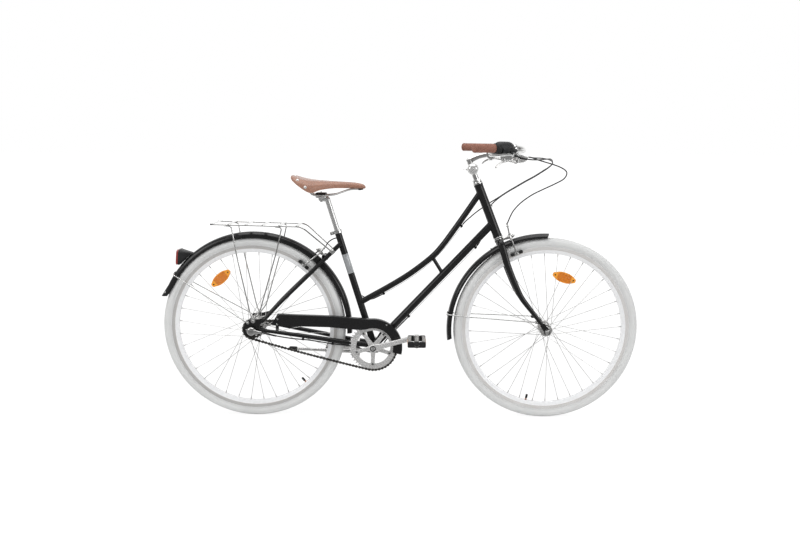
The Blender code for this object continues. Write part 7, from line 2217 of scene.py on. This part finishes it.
def below_top_tube():
    """Points that follow the top tube just beneath it, between its front and rear cable stops."""
    line = smooth_path(TOP_TUBE_LINE, 21)
    points = []
    for i in range(6, 18):
        run = (line[i + 1] - line[i - 1]).normalized()
        point = line[i] + Vector((-run.z, 0, run.x)) * (TOP_TUBE_RADIUS + CABLE_RADIUS + 0.0008)
        if abs(point.x - 0.1377) < 0.045:
            point.y = STRUT_RADIUS + CABLE_RADIUS + 0.0032
        points.append(point)
    return points


def casing(points, bare=()):
    """A cable casing along points. Between the two shares in bare its inner wire shows, with end caps."""
    shape = Shape()
    count = len(points) - 1
    cuts = [0, *(round(share * count) for share in bare), count]
    for k, (first, last) in enumerate(zip(cuts, cuts[1:])):
        run = points[first:last + 1]
        if k == 1:
            shape.sweep(run, 0.0008, 8, 1)
            continue
        shape.sweep(run, CABLE_RADIUS, 14)
        for end, inner in ((run[0], run[1]), (run[-1], run[-2])):
            heading = (inner - end).normalized()
            shape.rod(CABLE_RADIUS + 0.0005, end - heading * 0.0005, end + heading * 0.009, 16, 1,
                      soft=0.0004)
    return shape


def cable_stop(shape, middle, along, surface):
    """A small cast stop between a cable and the tube it runs beside."""
    along = Vector(along).normalized()
    shape.lathe(collar(0.0029, 0.0042, 0.0045, 0.004, 0.0045), frame_at(middle, along), 24, ring=True)
    inward = (Vector(surface) - Vector(middle)).normalized()
    shape.bar([Vector(middle) + inward * 0.0034, Vector(surface) + inward * 0.001], 0.0018, 0.0042, along,
              16, 4)


BENEATH_TOP_TUBE = below_top_tube()
FRONT_STOP = Vector(REAR_CABLE[-1])
UP_SEAT_TUBE = [BOTTOM_BRACKET + SEAT_UP * (0.205 + 0.06 * k) + FORWARD * 0.006
                + LEFT * (SEAT_TUBE_RADIUS + CABLE_RADIUS + 0.001) for k in range(4)]
BELOW_DOWN_TUBE = Vector((-DOWN_RUN.z, 0, DOWN_RUN.x)) * (DOWN_TUBE_RADIUS + CABLE_RADIUS + 0.0015)
ALONG_DOWN_TUBE = [DOWN_TUBE_LINE[0].lerp(DOWN_TUBE_LINE[1], 0.17 + 0.1875 * k) + BELOW_DOWN_TUBE
                   for k in range(5)]


def make_brake_cables():
    line = [*lever_end(-1), *FRONT_CABLE, *barrel_end("front", 0.004)]
    piece("front_brake_casing", casing(smooth_path(line, 150)), [CASING, CHROME], "steering",
          "front_brake_cable", sharp=50)
    line = [*lever_end(1), *REAR_CABLE, *BENEATH_TOP_TUBE[::2], (-0.095, 0.012, 0.459),
            (-0.118, 0.0172, 0.457), (-0.138, 0.0172, 0.466), *UP_SEAT_TUBE, (-0.208, 0.0235, 0.662),
            (-0.214, 0.03, 0.676), (-0.226, 0.031, 0.686), (-0.24, 0.026, 0.688), (-0.253, 0.014, 0.684),
            (-0.264, -0.001, 0.677), (-0.27, -0.012, 0.669), *barrel_end("rear", 0.006)]
    path = smooth_path(line, 420)
    bare = [nearest_share(path, place) for place in (FRONT_STOP, BENEATH_TOP_TUBE[-1])]
    piece("rear_brake_casing", casing(path, bare), [CASING, CHROME], "frame", "rear_brake_cable", sharp=50,
          blend=("frame", "steering", Vector((0.285, 0, 0.79)), Vector((0.4, 0, 0.96))))


def make_shift_cable():
    line = [(0.3896, -0.2136, 1.0102), *SHIFT_CABLE, *ALONG_DOWN_TUBE, (-0.072, -0.004, 0.26),
            (-0.088, -0.012, 0.254), (-0.125, -0.02, 0.26), (-0.16, -0.0262, 0.278), (-0.25, -0.037, 0.2925),
            (-0.34, -0.0465, 0.309), (-0.4, -0.06, 0.318), (-0.46, -0.072, 0.331),
            (REAR_AXLE.x + 0.048, -0.0795, 0.343), (REAR_AXLE.x + 0.0402, -0.0803, REAR_AXLE.z - 0.003)]
    path = smooth_path(line, 420)
    shape = casing(path, [nearest_share(path, ALONG_DOWN_TUBE[k]) for k in (0, 3)])
    shape.sweep(path[-14:], CABLE_RADIUS + 0.001, 14)
    piece("shift_casing", shape, [CASING, CHROME], "frame", "shift_cable", sharp=50,
          blend=("frame", "steering", Vector((0.325, 0, 0.7)), Vector((0.42, 0, 0.93))))


def make_cable_stops():
    shape = Shape()
    for place, run in ((FRONT_STOP, Vector((1, 0, 1))), (BENEATH_TOP_TUBE[-1], Vector((1, 0, 0.5)))):
        cable_stop(shape, place, run, place - Vector((run.z, 0, -run.x)).normalized() * 0.002)
    for k in (0, 3):
        place = ALONG_DOWN_TUBE[k]
        cable_stop(shape, place, DOWN_RUN, place - BELOW_DOWN_TUBE.normalized() * 0.003)
    for place in (Vector((-0.25, -0.037, 0.2925)), Vector((-0.3602, -0.05, 0.313))):
        cable_stop(shape, place, (-1, -0.1, 0.15), place + Vector((0, 0.004, 0.01)))
    for k in (1, 3):
        cable_stop(shape, UP_SEAT_TUBE[k], SEAT_UP, UP_SEAT_TUBE[k] - LEFT * 0.003)
    piece("cable_stops", shape, BLACK_PAINT, "frame", sharp=45)
    middle = Vector((0.3395, 0, 0.815)) + HEAD_FORWARD * 0.0012
    ring = [middle + HEAD_DOWN * (0.0062 * c) + HEAD_FORWARD * (0.0042 * s + 0.0022) for c, s in circle(28)]
    piece("head_tube_cable_loop", Shape().sweep(ring, 0.0011, 10, closed=True), CHROME, "frame")


make_chain_guard()
make_chain()
make_chainring()
make_sprocket()
make_crank("crank_right", -1)
make_crank("crank_left", 1)
make_crank_axle()
make_pedal("pedal_right", -1)
make_pedal("pedal_left", 1)
for which_brake, brake_body in (("front", "steering"), ("rear", "frame")):
    make_brake_arm(which_brake, -1)
    make_brake_arm(which_brake, 1)
    make_brake_bolt(which_brake, brake_body)
make_bell()
make_bell_crank()
make_kickstand()
make_kickstand_bracket()
make_brake_cables()
make_shift_cable()
make_cable_stops()
